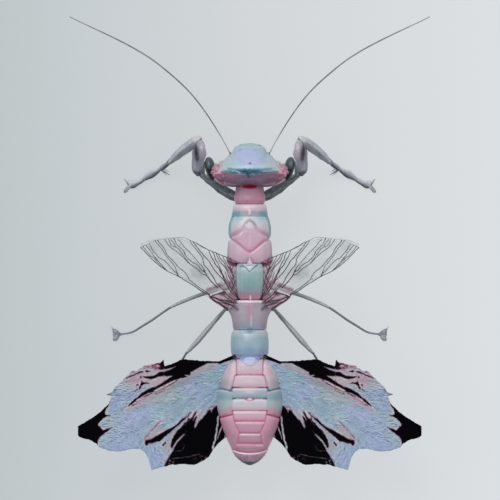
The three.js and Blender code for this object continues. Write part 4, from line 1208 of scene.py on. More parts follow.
# lavender tongue of the waist, lying over the first plate of the abdomen
lobe_rows = loops_of(["abdomen_waist", "abdomen_front"])
s = np.linspace(353.6, 365.6, 60)
c = np.linspace(-1, 1, 61)
half = pchip([353.6, 356, 358.4, 361, 363.2, 364.6, 365.3, 365.6], [4.2, 8.2, 9.8, 8.8, 6.4, 3.8, 1.8, 0.3], s)
XD, SD = half[:, None] * c[None], np.repeat(s[:, None], len(c), 1)
base = np.interp(s, [353.6, 357.0, 360.0, 365.6], [float(top_z(lobe_rows, 0.0, q)) for q in (353.6, 356.0, 361.0, 365.6)])
sag = (XD * UNIT) ** 2 * 0.085
ZD = np.maximum(base[:, None] - sag, top_z(lobe_rows, XD, SD) - 0.02 + 0.25 * smooth(358.4, 360.6, SD))
edge = np.minimum(1 - np.abs(c)[None], np.minimum((s - s[0]) / 2.0, (s[-1] - s) / 1.6)[:, None])
rise = 0.02 + 0.20 * np.sqrt(np.clip(edge / 0.4, 0, 1)) * smooth(354.5, 358.2, SD)
v, Q = sheet(np.stack([XD * UNIT, (DATUM - SD) * UNIT, ZD + rise], -1), np.stack([XD * UNIT, (DATUM - SD) * UNIT, ZD - 0.3], -1))
arc = 357.6 + 1.3 * (XD / 6.0) ** 2
CD = mix((136, 150, 194), (184, 188, 224), smooth(-0.5, 0.8, SD - arc))
CD = mix(CD, (128, 170, 206), gauss(SD - arc + 1.0, 0.7) * smooth(7.5, 5, np.abs(XD)) * 0.8)
CD = mix(CD, (104, 150, 184), gauss(SD - arc + 0.9, 0.5) * gauss(XD + 4.0, 1.6) * 0.8)
CD = mix(CD, (222, 224, 240), gauss(SD - arc - 0.2, 0.5) * smooth(6.5, 4, np.abs(XD)) * 0.9)
CD = mix(CD, (198, 200, 224), gauss(np.hypot(XD / 4.5, (SD - 359.6) / 1.4), 0.8) * 0.6)
CD = mix(CD, (196, 186, 206), smooth(361.5, 365, SD) * 0.7)
CD = mix(CD, (200, 184, 204), smooth(0.72, 1.0, np.abs(c))[None] * smooth(356, 359, SD) * 0.8)
soup = Soup().add(v, Q, None, np.vstack([CD.reshape(-1, 3)] * 2))
piece("waist_tongue", soup, MAT_SHELL, "teal_shell")

# ---------------------------------------------------------------- head
HEAD_CENTRE = 170
HEAD_OUTLINE = np.array(
    [
        (-90, 15.8), (-66, 17.6), (-50, 22.0), (-38, 26.6), (-28, 31.0), (-22, 33.8), (-16, 36.2), (-9, 38.0), (-3.5, 37.9), (0, 36.4),
        (7, 33.2), (14, 30.4), (20, 28.4), (27, 26.6), (37, 25.2), (44, 25.0), (51, 26.2), (60, 27.1), (72, 26.9), (90, 26.4),
    ]
)


def head_grid(nlon, nlat, grow=0.0):
    lon = np.linspace(0, 2 * np.pi, nlon, endpoint=False)
    lat = np.linspace(-np.pi / 2, np.pi / 2, nlat + 1)[1:-1]
    la, lo = np.meshgrid(lat, lon, indexing="ij")
    X, Y, Z = np.cos(la) * np.cos(lo), np.cos(la) * np.sin(lo), np.sin(la)
    c = np.hypot(X, Y)
    bearing = np.degrees(np.arctan2(Y, np.abs(X)))
    reach = pchip(HEAD_OUTLINE[:, 0], HEAD_OUTLINE[:, 1], bearing) * UNIT + grow
    ce = c**0.92
    x, y = reach * X / c * ce, reach * Y / c * ce
    up = Z >= 0
    z = 10.9 + np.where(up, 5.0 + grow, 3.4 + grow) * power(Z, 0.85)
    f = y / (26 * UNIT)
    y = np.where(up, y - 0.75 * Z, y)
    z = z - np.where(up, 1.1 * smooth(0.1, 1.0, f), 0.9 * smooth(0.0, 1.0, f))
    P3 = np.stack([x, (DATUM - HEAD_CENTRE) * UNIT + y, z], -1)
    return P3, lon, lat, la, lo


HG, hlon, hlat, hla, hlo = head_grid(380, 220)
du = np.roll(HG, -1, 1) - np.roll(HG, 1, 1)
dv = np.gradient(HG, axis=0)
HN = unit(np.cross(du, dv))
HXU, HS, HZ = HG[..., 0] / UNIT, DATUM - HG[..., 1] / UNIT, HG[..., 2]
HUP = np.sin(hla)
ax = np.abs(HXU)
onback = smooth(0.05, 0.3, HUP)


def spot(x, s_, rx, ry=None, turn=0.0):
    """A soft round mark on both sides of the head, at a distance x from its middle."""
    c, n = np.cos(np.radians(turn)), np.sin(np.radians(turn))
    a, b = ax - x, HS - s_
    return gauss(np.hypot((a * c + b * n) / rx, (b * c - a * n) / (ry or rx)), 0.72)


def trail(pts, w):
    return gauss(poly_sdf(ax, HS, pts, False), w)


CROWN_REAR = pchip([0, 3, 8, 14, 20, 27, 34], [169.0, 169.4, 170.1, 170.3, 170.4, 170.8, 171.2], ax)
OCCIPUT = pchip([0, 2.5, 4.5, 6.5, 12, 18, 24, 30, 36], [177.4, 176.6, 175.4, 174.3, 173.9, 173.5, 172.6, 171.9, 171.6], ax)
D = 0.20 * smooth(-10.0, -2.0, HS - CROWN_REAR) * smooth(0.8, -1.2, HS - CROWN_REAR) * smooth(33, 22, ax)
D = D - 0.22 * gauss(HS - (CROWN_REAR + OCCIPUT) / 2, 1.5) * smooth(31, 23, ax)
D = D - 0.12 * gauss(np.hypot(HXU / 2.0, (HS - 175) / 2.2), 0.8)
D = D + 0.05 * trail([(10.2, 172.6), (13.6, 171.2), (17.4, 171.2)], 0.5)
D = D - 0.10 * trail([(0, 186.2), (9, 186.0), (15, 185.9), (21, 184.4)], 0.6) + 0.05 * trail([(13, 184.8), (19, 184.3), (24.5, 182.9)], 0.7)
D = D - 0.10 * trail([(35.2, 176.8), (31.5, 179.6), (28.8, 181.8), (26.4, 183.8)], 0.8)
D = D + 0.10 * trail([(34.6, 175.8), (32, 177.4), (29.2, 179.4)], 0.6)
D = D + 0.10 * gauss(np.hypot(HXU / 1.6, (HS - 164.4) / 1.6), 0.5)
D = D - 0.10 * gauss(ax - 17.0, 1.6) * smooth(167, 158, HS) * smooth(146, 150, HS)
D = D + 0.10 * gauss(ax - 26.5, 2.4) * smooth(170, 166, HS) * smooth(158, 162, HS)
D = D * onback
# face: a shield over the mouth, furrows beside it and a rim round the antenna sockets
face = smooth(0.25, -0.1, HUP) * smooth(160, 152, HS)
D = D + face * (0.12 * gauss(ax, 7.0) - 0.14 * gauss(ax - 9.5, 1.1) - 0.12 * gauss(HZ - 10.1, 0.16) * smooth(9, 7, ax))
sock = np.sqrt(((ax - 19.3) * UNIT) ** 2 + ((HS - 155.6) * UNIT) ** 2 + (HZ - 10.6) ** 2)
D = D + 0.16 * gauss(sock - 0.62, 0.16) - 0.25 * gauss(sock, 0.3)
D = D + (fbm(HXU / 5.0 + 60, HS / 5.0, HZ / 0.9, seed=41) - 0.5) * 0.05
HV = HG + HN * (D - 0.03)[..., None]

# markings on the head, with painted highlights on the crown
slow = fbm(HXU / 7 + 20, HS / 6, seed=45)
CH = mix((178, 198, 204), (183, 202, 211), smooth(150, 160, HS))
CH = mix(CH, (172, 195, 202), smooth(149, 145.5, HS) * smooth(22, 12, ax))
CH = mix(CH, (194, 210, 216), trail([(14, 147.5), (9, 146.6), (3, 147.6)], 0.5) * 0.6)
CH = mix(CH, (180, 198, 198), spot(24, 165, 5.5, 6) * 0.9)
CH = mix(CH, (190, 206, 202), spot(26, 168, 3.4, 2.4) * 0.7)
CH = mix(CH, (180, 196, 213), spot(18, 160, 6, 7) * 0.7)
core_w = np.hypot(HXU / 14.4, (HS - 158.0) / 10.8)
CH = mix(CH, (178, 189, 223), smooth(1.12, 0.78, core_w + (slow - 0.5) * 0.3) * 0.96)
CH = mix(CH, (160, 179, 211), spot(9.5, 150.2, 4.0, 1.5) * smooth(-3, 3, -HXU) * 0.9 + spot(6, 150.4, 4.0, 1.2) * 0.4)
# a pale streak on the left of the crown's front: painted highlight
CH = mix(CH, (190, 202, 226), trail([(3.6, 151.0), (6.4, 150.7), (8.2, 151.4)], 0.45) * smooth(2, -2, HXU) * 0.8)
CH = mix(CH, (198, 196, 226), spot(2.0, 161.6, 5.2, 2.8) * 0.8 + spot(8, 164, 3, 1.8) * 0.35)
# pale lines along the crown's rear lip: painted highlights
CH = mix(CH, (188, 205, 226), gauss(HS - 166.6, 1.3) * smooth(15, 8, ax) * 0.75)
CH = mix(CH, (186, 208, 214), gauss(HS - 167.8, 1.2) * gauss(ax - 17, 5) * 0.75)
CH = mix(CH, (184, 206, 204), gauss(HS - 168.8, 1.2) * gauss(ax - 25, 4) * 0.7)
CH = mix(CH, (196, 186, 200), spot(20.5, 166.2, 3.4, 1.6, 12) * smooth(0, 4, HXU) * 0.6)
pale = fbm(HXU / 2.4 + 71, HS / 1.8, seed=49)
CH = mix(CH, (204, 196, 208), smooth(0.55, 0.68, pale) * gauss(HS - 165.5, 2.2) * gauss(ax - 21, 4.0) * smooth(0, 5, HXU) * 0.8)
CH = CH + ((slow - 0.5) * 10)[..., None]

# the hind part of the head
RC = mix((106, 82, 106), (118, 82, 106), smooth(6, 22, ax))
# darker just behind the band: painted shade under the crown's rear edge
RC = mix(RC, (82, 80, 104), smooth(177.6, 174.0, HS) * smooth(13, 5, ax) * 0.9)
RC = mix(RC, (124, 98, 126), spot(14.5, 178.5, 4.5, 2.6) * 0.55 + spot(8, 180.5, 3.4, 3.2) * 0.4)
RC = mix(RC, (92, 62, 82), spot(17.5, 180.0, 5, 2.2) * smooth(-2, 6, HXU) * 0.7)
RC = mix(RC, (134, 66, 94), spot(12.0, 175.6, 1.4, 3.0) * 0.35 + spot(5.5, 181.5, 1.2, 3.0) * 0.35)
RC = mix(RC, (146, 66, 94), smooth(20, 27, ax) * smooth(176.4, 173.6, HS) * 0.85)
RC = mix(RC, (204, 140, 164), spot(33, 173.2, 6.0, 1.4) * 0.9)
RC = mix(RC, (160, 84, 112), spot(33.5, 175.2, 3.0, 0.8) * 0.7)
RC = mix(RC, (122, 86, 106), smooth(178, 182, HS) * smooth(14, 20, ax) * 0.5)
RC = mix(RC, (118, 46, 80), smooth(183.0, 184.6, HS) * smooth(10.5, 5.0, ax) * 0.85)
RC = mix(RC, (134, 12, 44), smooth(0.9, 0.5, np.hypot(ax / 8.2, (HS - 186.6) / 2.6)))
RC = mix(RC, (158, 128, 150), trail([(13.5, 185.2), (18.5, 184.8), (22.6, 184.0), (25.4, 182.8)], 0.55) * 0.75)
RC = mix(RC, (78, 66, 88), trail([(12, 187.0), (17, 186.6), (21.4, 185.8)], 0.6) * 0.85)
RC = mix(RC, (106, 40, 62), trail([(35.6, 176.4), (32.8, 178.9), (30.6, 180.4)], 0.6) * 0.75)
RC = mix(RC, (108, 36, 60), smooth(0.5, -0.4, poly_sdf(ax, HS, [(32.8, 179.0), (29.4, 179.4), (27.0, 180.8), (25.2, 184.0), (26.6, 184.8), (28.6, 183.6), (31.0, 181.6)], True)))
RC = mix(RC, (162, 118, 138), trail([(34.9, 175.6), (32.4, 177.0), (29.4, 179.0)], 0.5) * 0.8)
RC = mix(RC, (178, 142, 158), trail([(37.4, 176.0), (34.9, 179.2), (31.8, 182.2), (28.2, 184.9)], 0.9) * 0.9)
RC = mix(RC, (184, 156, 172), (spot(26.4, 176.4, 0.6) + spot(25.0, 183.4, 0.7)) * smooth(3, -3, HXU))
RC = RC + ((fbm(HXU / 3.0 + 70, HS / 4.0, seed=43) - 0.5) * 14)[..., None]
CH = mix(CH, RC, smooth(-0.6, 0.7, HS - OCCIPUT) * onback)

# the dark teal line between the two, a teal marking, its darkness partly a painted shadow cast by the crown's rear edge
wav = (fbm(HXU / 2.6 + 20, HS / 2.0, seed=47) - 0.5) * 1.6
inside = smooth(-0.5, 0.5, HS - CROWN_REAR + wav * 0.7) * smooth(0.6, -0.6, HS - OCCIPUT + wav * 0.5)
BC = mix((50, 112, 132), (66, 92, 112), smooth(170.0, 172.4, HS))
BC = mix(BC, (112, 126, 130), smooth(18.5, 22.5, ax))
BC = mix(BC, (0, 56, 82), np.clip(spot(5.0, 172.6, 2.9, 1.5) * 1.5, 0, 1))
BC = mix(BC, (14, 84, 108), np.clip(gauss(np.hypot(HXU / 3.0, (HS - 172.2) / 1.3), 0.8), 0, 1) * 0.6)
BC = mix(BC, (30, 104, 116), spot(8.0, 171.7, 3.2, 1.1) * smooth(0, 3, HXU))
BC = mix(BC, (46, 112, 134), gauss(np.hypot(HXU / 3.4, (HS - 170.2) / 1.4), 0.7))
BC = mix(BC, (36, 60, 84), np.clip(gauss(np.hypot(HXU / 4.4, (HS - 175.6) / 2.4), 0.8) * 1.2, 0, 1))
BC = mix(BC, (58, 74, 98), spot(10, 173.9, 5.0, 0.9) * 0.9)
CH = mix(CH, BC, inside * onback * smooth(31, 27, ax) * (1 - 0.25 * smooth(19, 24, ax)))
CH = mix(CH, (96, 108, 116), gauss(HS - CROWN_REAR - 1.2, 0.6) * gauss(ax - 25, 3.4) * onback * 0.8)
CH = mix(CH, (56, 126, 140), trail([(21.6, 169.2), (16, 169.5), (10, 169.8), (4, 169.3)], 0.5) * onback * 0.7)
CH = mix(CH, (106, 160, 164), smooth(0.50, 0.62, fbm(HXU / 3.2 + 9, HS / 1.5, seed=46)) * gauss(HS - 169.3, 0.9) * gauss(ax - 17, 6) * onback * 0.75)
CH = mix(CH, (164, 204, 214), trail([(10.2, 173.0), (12.2, 171.6), (14.2, 171.0), (16.4, 170.8), (18.2, 171.3)], 0.42) * onback * smooth(3, -3, HXU) * 0.85)
CH = mix(CH, (178, 190, 206), trail([(13.2, 171.4), (16, 170.9), (19, 171.2), (21, 170.8)], 0.5) * onback * smooth(-3, 3, HXU) * 0.8)
CH = mix(CH, (40, 84, 110), spot(15, 172.7, 1.4, 0.6) * onback * smooth(3, -3, HXU) * 0.8 + spot(12.6, 173.6, 0.8, 0.9) * onback * smooth(-3, 3, HXU) * 0.7)
CH = mix(CH, (40, 52, 72), gauss(np.hypot((HXU + 1.0) / 1.2, (HS - 177.0) / 1.0), 0.7) * onback * 0.9)
CH = mix(CH, (92, 140, 164), gauss(np.hypot(HXU / 1.3, (HS - 164.2) / 1.2), 0.7) * onback)
# pink corners beside the eyes, and the greyish-pink margin in front of them
pink = smooth(28.2, 30.4, ax) * smooth(163, 167.5, HS) * smooth(174.6, 172.4, HS)
CH = mix(CH, mix((222, 182, 200), (204, 152, 174), fbm(ax / 3, HS / 3, seed=44)), pink * 0.95)
CH = mix(CH, (236, 196, 210), spot(32, 169.4, 2.0, 1.8) * 0.9)
CH = mix(CH, (198, 190, 197), smooth(25.6, 27.6, ax) * smooth(168.5, 165.5, HS) * smooth(0.9, 0.4, HUP) * 0.9)
CH = mix(CH, (182, 178, 188), gauss(ax - 19.6, 1.6) * smooth(156, 152.5, HS) * smooth(148, 151, HS) * smooth(0.8, 0.3, HUP) * 0.7)
below = smooth(0.05, -0.25, HUP)
UC = mix((170, 168, 186), (158, 140, 160), smooth(152, 176, HS))
UC = mix(UC, (190, 160, 176), gauss(ax, 6.0) * 0.5)
UC = mix(UC, (116, 84, 104), gauss(ax - 9.5, 1.0) * smooth(162, 154, HS) * 0.7)
UC = mix(UC, (112, 90, 108), gauss(HZ - 10.1, 0.14) * smooth(9, 7, ax) * smooth(158, 152, HS) * 0.8)
UC = mix(UC, (206, 172, 188), smooth(28, 34, ax) * 0.7)
CH = mix(CH, UC, below)
CH = mix(CH, (96, 84, 96), gauss(sock, 0.34) * 0.9)
v, Q, T = rings(HV)
v[-2], v[-1] = HV[0].mean(0), HV[-1].mean(0)
soup = Soup().add(v, Q, T, ring_colours(CH))
piece("head_shell", soup, MAT_HEAD, "head_shell", ["head"])

# ocelli: one bead on the crown, and three on the brow between the antennae
soup = Soup()


def on_head(xu, s_want, low=0.0, high=1.0):
    """Surface point and normal of the head nearest a plan position."""
    d = (HXU - xu) ** 2 + (HS - s_want) ** 2 + np.where((HUP > low) & (HUP < high), 0, 1e6)
    k = np.unravel_index(np.argmin(d), d.shape)
    return HV[k], HN[k], k


p, n, _ = on_head(0, 164.4)
blob(soup, p - n * 0.16, (0.24, 0.24, 0.20), (70, 124, 150))
for xu, low, high in ((0, -0.20, -0.12), (5.0, -0.34, -0.26), (-5.0, -0.34, -0.26)):
    p, n, _ = on_head(xu, 144.5, low, high)
    blob(soup, p - n * 0.08, (0.23, 0.2, 0.23), (64, 74, 92))
piece("ocelli", soup, MAT_EYE, "eye")

# compound eyes: long, narrower behind, leaning a little outwards in front
EYE_AT, EYE_R, EYE_TURN = place(39.4, 168.9, 11.4), (1.0, 2.42, 2.12), 10.0
soup = Soup()
lat = np.linspace(-np.pi / 2, np.pi / 2, 81)[1:-1]
lon = np.linspace(0, 2 * np.pi, 110, endpoint=False)
la, lo = np.meshgrid(lat, lon, indexing="ij")
U3 = np.stack([np.cos(la) * np.cos(lo), np.cos(la) * np.sin(lo), np.sin(la)], -1)
facet = np.cos(lo * 44) * np.cos(la * 52 + (np.round(lo * 22 / np.pi) % 2) * np.pi)
cr, sr = np.cos(np.radians(EYE_TURN)), np.sin(np.radians(EYE_TURN))


def eye_place(u3):
    a = u3[..., 0] * EYE_R[0] * (1 + 0.20 * u3[..., 1])
    b = u3[..., 1] * EYE_R[1]
    return EYE_AT + np.stack([a * cr + b * sr, b * cr - a * sr, u3[..., 2] * EYE_R[2]], -1)


R3 = eye_place(U3 * (1 + 0.004 * facet)[..., None])
v, Q, T = rings(R3)
v[-2], v[-1] = eye_place(np.array([0, 0, -1.0])), eye_place(np.array([0, 0, 1.0]))
oa, ol, oz = U3[..., 0], U3[..., 1], U3[..., 2]
streak = vnoise(oa * 9 + ol * 2, ol * 3.2 + 4, seed=52)
EC = mix((80, 92, 94), (64, 78, 82), smooth(-0.2, 0.6, oa))
EC = mix(EC, (112, 124, 128), gauss(np.hypot((oa - 0.18) / 0.26, (ol - 0.40) / 0.34), 0.8) * 0.85)
EC = mix(EC, (58, 90, 90), gauss(np.hypot((oa + 0.50) / 0.26, (ol - 0.40) / 0.32), 0.8))
EC = mix(EC, (92, 92, 102), smooth(0.62, 0.85, ol) * 0.7)
EC = mix(EC, (2, 14, 20), smooth(0.18, -0.10, ol + 0.10 * oa + (streak - 0.5) * 0.3))
EC = mix(EC, (44, 66, 66), gauss(np.hypot((oa + 0.1) / 0.2, (ol + 0.42) / 0.2), 0.8) * 0.25)
EC = mix(EC, (26, 46, 46), gauss(np.hypot((oa + 0.05) / 0.25, (ol - 0.18) / 0.12), 0.8) * 0.9)
EC = mix(EC, (8, 12, 26), smooth(0.42, 0.70, oa) * smooth(-0.98, -0.8, ol) * smooth(0.99, 0.8, ol) * 0.95)
EC = mix(EC, (88, 96, 102), smooth(0.12, -0.35, oz) * 0.6)
EC = EC + ((streak - 0.5) * 20)[..., None] + (facet * 4)[..., None]
soup.add(v, Q, T, ring_colours(EC))
pair("eye_globe", soup, MAT_EYE, "eye", ["eye"])

# a pink cushion between head and eye
soup = Soup()


def pink_skin(v):
    n = vnoise(v[:, 0] * 2.1, v[:, 1] * 2.1, v[:, 2] * 2.1, seed=55)
    return mix((196, 142, 166), (236, 192, 208), n)


def lumpy(v):
    return 0.16 * (vnoise(v[:, 0] * 1.8 + 3, v[:, 1] * 1.8, v[:, 2] * 1.8, seed=56) - 0.5)


CUSHION = ((35.6, 172.0, 12.35, 0.55, 1.15, 0.95, 14), (32.4, 169.4, 13.2, 0.55, 0.50, 0.50, 0), (34.2, 168.6, 12.9, 0.50, 0.55, 0.55, 0), (29.4, 165.4, 12.5, 0.55, 0.75, 0.55, -30))
for xu, st, z, rx, ry, rz, turn in CUSHION:
    c, n = np.cos(np.radians(turn)), np.sin(np.radians(turn))
    tone = (lambda v: mix((198, 186, 194), (210, 198, 205), vnoise(v[:, 0] * 2, v[:, 1] * 2, v[:, 2] * 2, seed=57))) if xu < 30 else pink_skin
    blob(soup, place(xu, st, z), (rx, ry, rz), tone, [[c, n, 0], [-n, c, 0], [0, 0, 1]], 40, 26, lumpy)
pair("eye_cushion", soup, MAT_CORE, "pink_shell")

# setae of the cushion: a ragged fringe over the eye, a dense pile, and a softer tuft in front
soup = Soup()
roots, dirs, lengths, radii, c0, c1, uvs = [], [], [], [], [], [], []


def cushion_z(x, s_):
    z = np.interp(np.hypot((x * UNIT - 33 * UNIT) / 1.4, 0), [0, 1], [13.3, 12.4])
    for xu, st, zc, rx, ry, rz, turn in CUSHION:
        q = ((x - xu) * UNIT / rx) ** 2 + ((s_ - st) * UNIT / ry) ** 2
        z = np.where(q < 0.98, np.maximum(z, zc + rz * np.sqrt(np.clip(1 - q, 0, 1)) * 0.97), z)
    return z


def tuft(n, xs_, ss_, aim, spread, length, radius, root_tone, tip_tone, lift=0.0):
    x_, s_ = rng.uniform(*xs_, n), rng.uniform(*ss_, n)
    roots.append(np.stack([x_ * UNIT, (DATUM - s_) * UNIT, cushion_z(x_, s_) - 0.06 + lift], -1))
    dirs.append(np.asarray(aim, float) + rng.normal(0, spread, (n, 3)))
    lengths.append(rng.uniform(*length, n))
    radii.append(rng.uniform(*radius, n))
    k = rng.random(n)[:, None]
    c0.append(np.asarray(root_tone[0]) * (1 - k) + np.asarray(root_tone[1]) * k)
    c1.append(np.asarray(tip_tone[0]) * (1 - k) + np.asarray(tip_tone[1]) * k)
    th = np.arctan2((HEAD_CENTRE - s_), x_)
    uvs.append(np.stack([th / (2 * np.pi) + 0.5, 0.25 + 0.5 * np.hypot(x_, s_ - HEAD_CENTRE) / 60], -1))


PINK0, PINK1 = ((198, 140, 164), (226, 178, 196)), ((214, 160, 182), (242, 208, 220))
tuft(46, (36.0, 38.2), (167.4, 173.4), (1.0, 0.05, 0.22), 0.14, (0.30, 0.72), (0.034, 0.052), PINK0, PINK1, 0.3)
tuft(26, (35.0, 37.5), (166.2, 169.5), (0.9, 0.35, 0.3), 0.2, (0.25, 0.6), (0.03, 0.045), PINK0, PINK1, 0.2)
tuft(30, (35.5, 37.6), (173.0, 177.0), (0.7, -0.2, 0.3), 0.2, (0.18, 0.4), (0.03, 0.04), PINK0, PINK1)
tuft(150, (31.0, 37.0), (167.0, 176.0), (0.35, 0.2, 0.9), 0.35, (0.2, 0.42), (0.028, 0.045), ((206, 150, 172), (232, 186, 202)), ((222, 174, 192), (244, 208, 220)))
tuft(90, (30.5, 35.0), (164.4, 168.2), (0.25, 0.75, 0.4), 0.3, (0.35, 0.75), (0.020, 0.032), ((226, 190, 204), (228, 208, 216)), ((230, 214, 222), (226, 221, 226)))
tuft(110, (26.6, 30.2), (161.6, 167.4), (0.35, 0.6, 0.5), 0.3, (0.22, 0.45), (0.02, 0.03), ((200, 190, 197), (210, 198, 205)), ((208, 202, 208), (214, 210, 214)))
roots, dirs, lengths, radii = np.vstack(roots), unit(np.vstack(dirs)), np.concatenate(lengths), np.concatenate(radii)
spikes(soup, roots, dirs, lengths, radii, np.vstack(c0), np.vstack(c1), 0.12, 4, np.vstack(uvs))
pair("head_setae", soup, MAT_HAIR, "pink_shell", bake_uv=True)

# ---------------------------------------------------------------- limbs
def limb_grid(loops, sides=28, count=90, ends=(1.0, 1.0), grow=0.0, trim=(0.0, 1.0)):
    """Rings of a limb length between two shares of its curve, its ends rounded."""
    L = np.array(loops, float)
    pts = np.stack([L[:, 0] * UNIT, (DATUM - L[:, 1]) * UNIT, L[:, 2]], -1)
    n = len(L) - 1
    t = np.linspace(trim[0], trim[1], count)
    # a few more rings close to each end
    t = np.unique(np.concatenate([t, trim[0] + (trim[1] - trim[0]) * np.array([0.002, 0.006, 0.014]), trim[1] - (trim[1] - trim[0]) * np.array([0.002, 0.006, 0.014])]))
    P3 = crom(pts, t)
    e = 1e-4
    tan = unit(crom(pts, np.clip(t + e, 0, 1)) - crom(pts, np.clip(t - e, 0, 1)))
    f = np.clip(t * n, 0, n - 1e-9)
    i = np.floor(f).astype(int)
    w = f - i
    w = w * w * (3 - 2 * w)
    rb = L[i, 3] * (1 - w) + L[i + 1, 3] * w + grow
    rd = L[i, 4] * (1 - w) + L[i + 1, 4] * w + grow
    arc = np.concatenate([[0], np.cumsum(np.linalg.norm(np.diff(P3, axis=0), axis=1))])
    for end, share in ((0, ends[0]), (1, ends[1])):
        r_end = share * min(rb[0 if end == 0 else -1], rd[0 if end == 0 else -1])
        d = arc if end == 0 else arc[-1] - arc
        k = np.sqrt(np.clip(1 - (1 - np.clip(d / max(r_end, 1e-6), 0, 1)) ** 2, 0.02, 1))
        rb, rd = rb * k, rd * k
    side = unit(np.cross(tan, [0.0, 0.0, 1.0]))
    lift = np.cross(side, tan)
    a = np.linspace(0, 2 * np.pi, sides, endpoint=False)
    return {
        "P": P3, "tan": tan, "side": side, "lift": lift, "rb": rb, "rd": rd,
        "a": a, "t": t, "arc": arc,
    }


def limb_add(soup, g, colour, relief=None, edge=1.0):
    """Adds the limb's surface. colour(t, a, arc) and relief(t, a, arc) take grids. edge sets the strength of the
    painted light and shade: sides facing forward painted lighter, sides facing back darker.
    """
    t, a = np.meshgrid(g["t"], g["a"], indexing="ij")
    arc = np.repeat(g["arc"][:, None], len(g["a"]), 1)
    d = relief(t, a, arc) if relief is not None else 0.0
    rb = g["rb"][:, None] + d
    rd = g["rd"][:, None] + d
    V = (
        g["P"][:, None]
        + g["side"][:, None] * (np.cos(a) * rb)[..., None]
        + g["lift"][:, None] * (np.sin(a) * rd)[..., None]
    )
    V[..., 2] = np.maximum(V[..., 2], 0.0)
    g["XU"], g["SS"] = np.abs(V[..., 0]) / UNIT, DATUM - V[..., 1] / UNIT
    front = g["side"][:, None, 1] * np.cos(a) + g["lift"][:, None, 1] * np.sin(a)
    C = colour(t, a, arc)
    # sides facing back painted darker and sides facing forward painted lighter: painted shade and painted light
    C = mix(C, C * 0.38, smooth(-0.25, -0.80, front) * np.minimum(edge, 1.25) * 0.9)
    C = mix(C, C * 0.55 + 100, smooth(0.25, 0.95, front) * 0.50 * edge)
    v, Q, T = rings(V)
    soup.add(v, Q, T, ring_colours(np.clip(C, 3, 250)))
    return V


def limb_point(g, share, angle, out=1.0):
    """A point on the limb's surface, and the outward direction there."""
    k = int(np.clip(np.searchsorted(g["t"], share), 0, len(g["t"]) - 1))
    d = g["side"][k] * math.cos(angle) + g["lift"][k] * math.sin(angle)
    p = g["P"][k] + g["side"][k] * math.cos(angle) * g["rb"][k] * out + g["lift"][k] * math.sin(angle) * g["rd"][k] * out
    return p, d, g["tan"][k]


def grey_limb(dark, mid_, light, seed, warm=0.0, rough=1.0):
    """Grey limb colours: lighter along the back and darker below, painted light and shade from above, mottled."""

    def colour(t, a, arc):
        back = 0.5 + 0.5 * np.sin(a)
        # back runs from 0 underneath to 1 on top: the top painted lighter as painted light from above
        C = mix(dark, mid_, smooth(0.1, 0.55, back))
        C = mix(C, light, smooth(0.62, 0.98, back) * 0.75)
        C = C + ((fbm(arc * 1.7 + 5, np.cos(a) * 1.2 + 4, np.sin(a) * 1.2, seed=seed) - 0.5) * 30 * rough)[..., None]
        C = C + ((vnoise(arc * 0.9, a * 5.0 / np.pi, seed=seed + 1) - 0.5) * 12 * rough)[..., None]
        C = mix(C, (190, 160, 172), warm * smooth(0.5, 0.75, fbm(arc * 0.8, a * 0.8 + 9, seed=seed + 2)))
        return np.clip(C, 6, 250)

    return colour


def knobbly(amp, seed, scale=2.2):
    def relief(t, a, arc):
        return (fbm(arc * scale, np.cos(a) * 1.2 + 7, np.sin(a) * 1.2 + 3, seed=seed) - 0.5) * amp

    return relief


def row_of_spines(soup, g, shares, angle, length, radius, lean, colour=(150, 146, 156), tip=(70, 58, 66), sides=7, bend=0.1):
    roots, dirs, L = [], [], []
    for k, sh in enumerate(shares):
        p, d, tan = limb_point(g, sh, angle, 0.86)
        roots.append(p)
        dirs.append(unit(d + tan * lean))
        L.append(length * (1.0 if k % 2 == 0 else 0.66))
    spikes(soup, roots, dirs, L, np.full(len(L), radius), colour, tip, bend, sides)


def setae(soup, g, count, length, t0=0.05, t1=0.95, lean=1.2, colour=(150, 148, 156), tip=(190, 188, 194), radius=0.018, angles_=(0, 2 * np.pi)):
    roots, dirs = [], []
    for _ in range(count):
        sh = t0 + (t1 - t0) * rng.random()
        an = angles_[0] + (angles_[1] - angles_[0]) * rng.random()
        p, d, tan = limb_point(g, sh, an, 0.97)
        roots.append(p)
        dirs.append(unit(d + tan * lean + rng.normal(0, 0.15, 3)))
    if roots:
        spikes(soup, roots, dirs, length * (0.6 + 0.8 * rng.random(count)), np.full(count, radius), colour, tip, 0.1, 3)


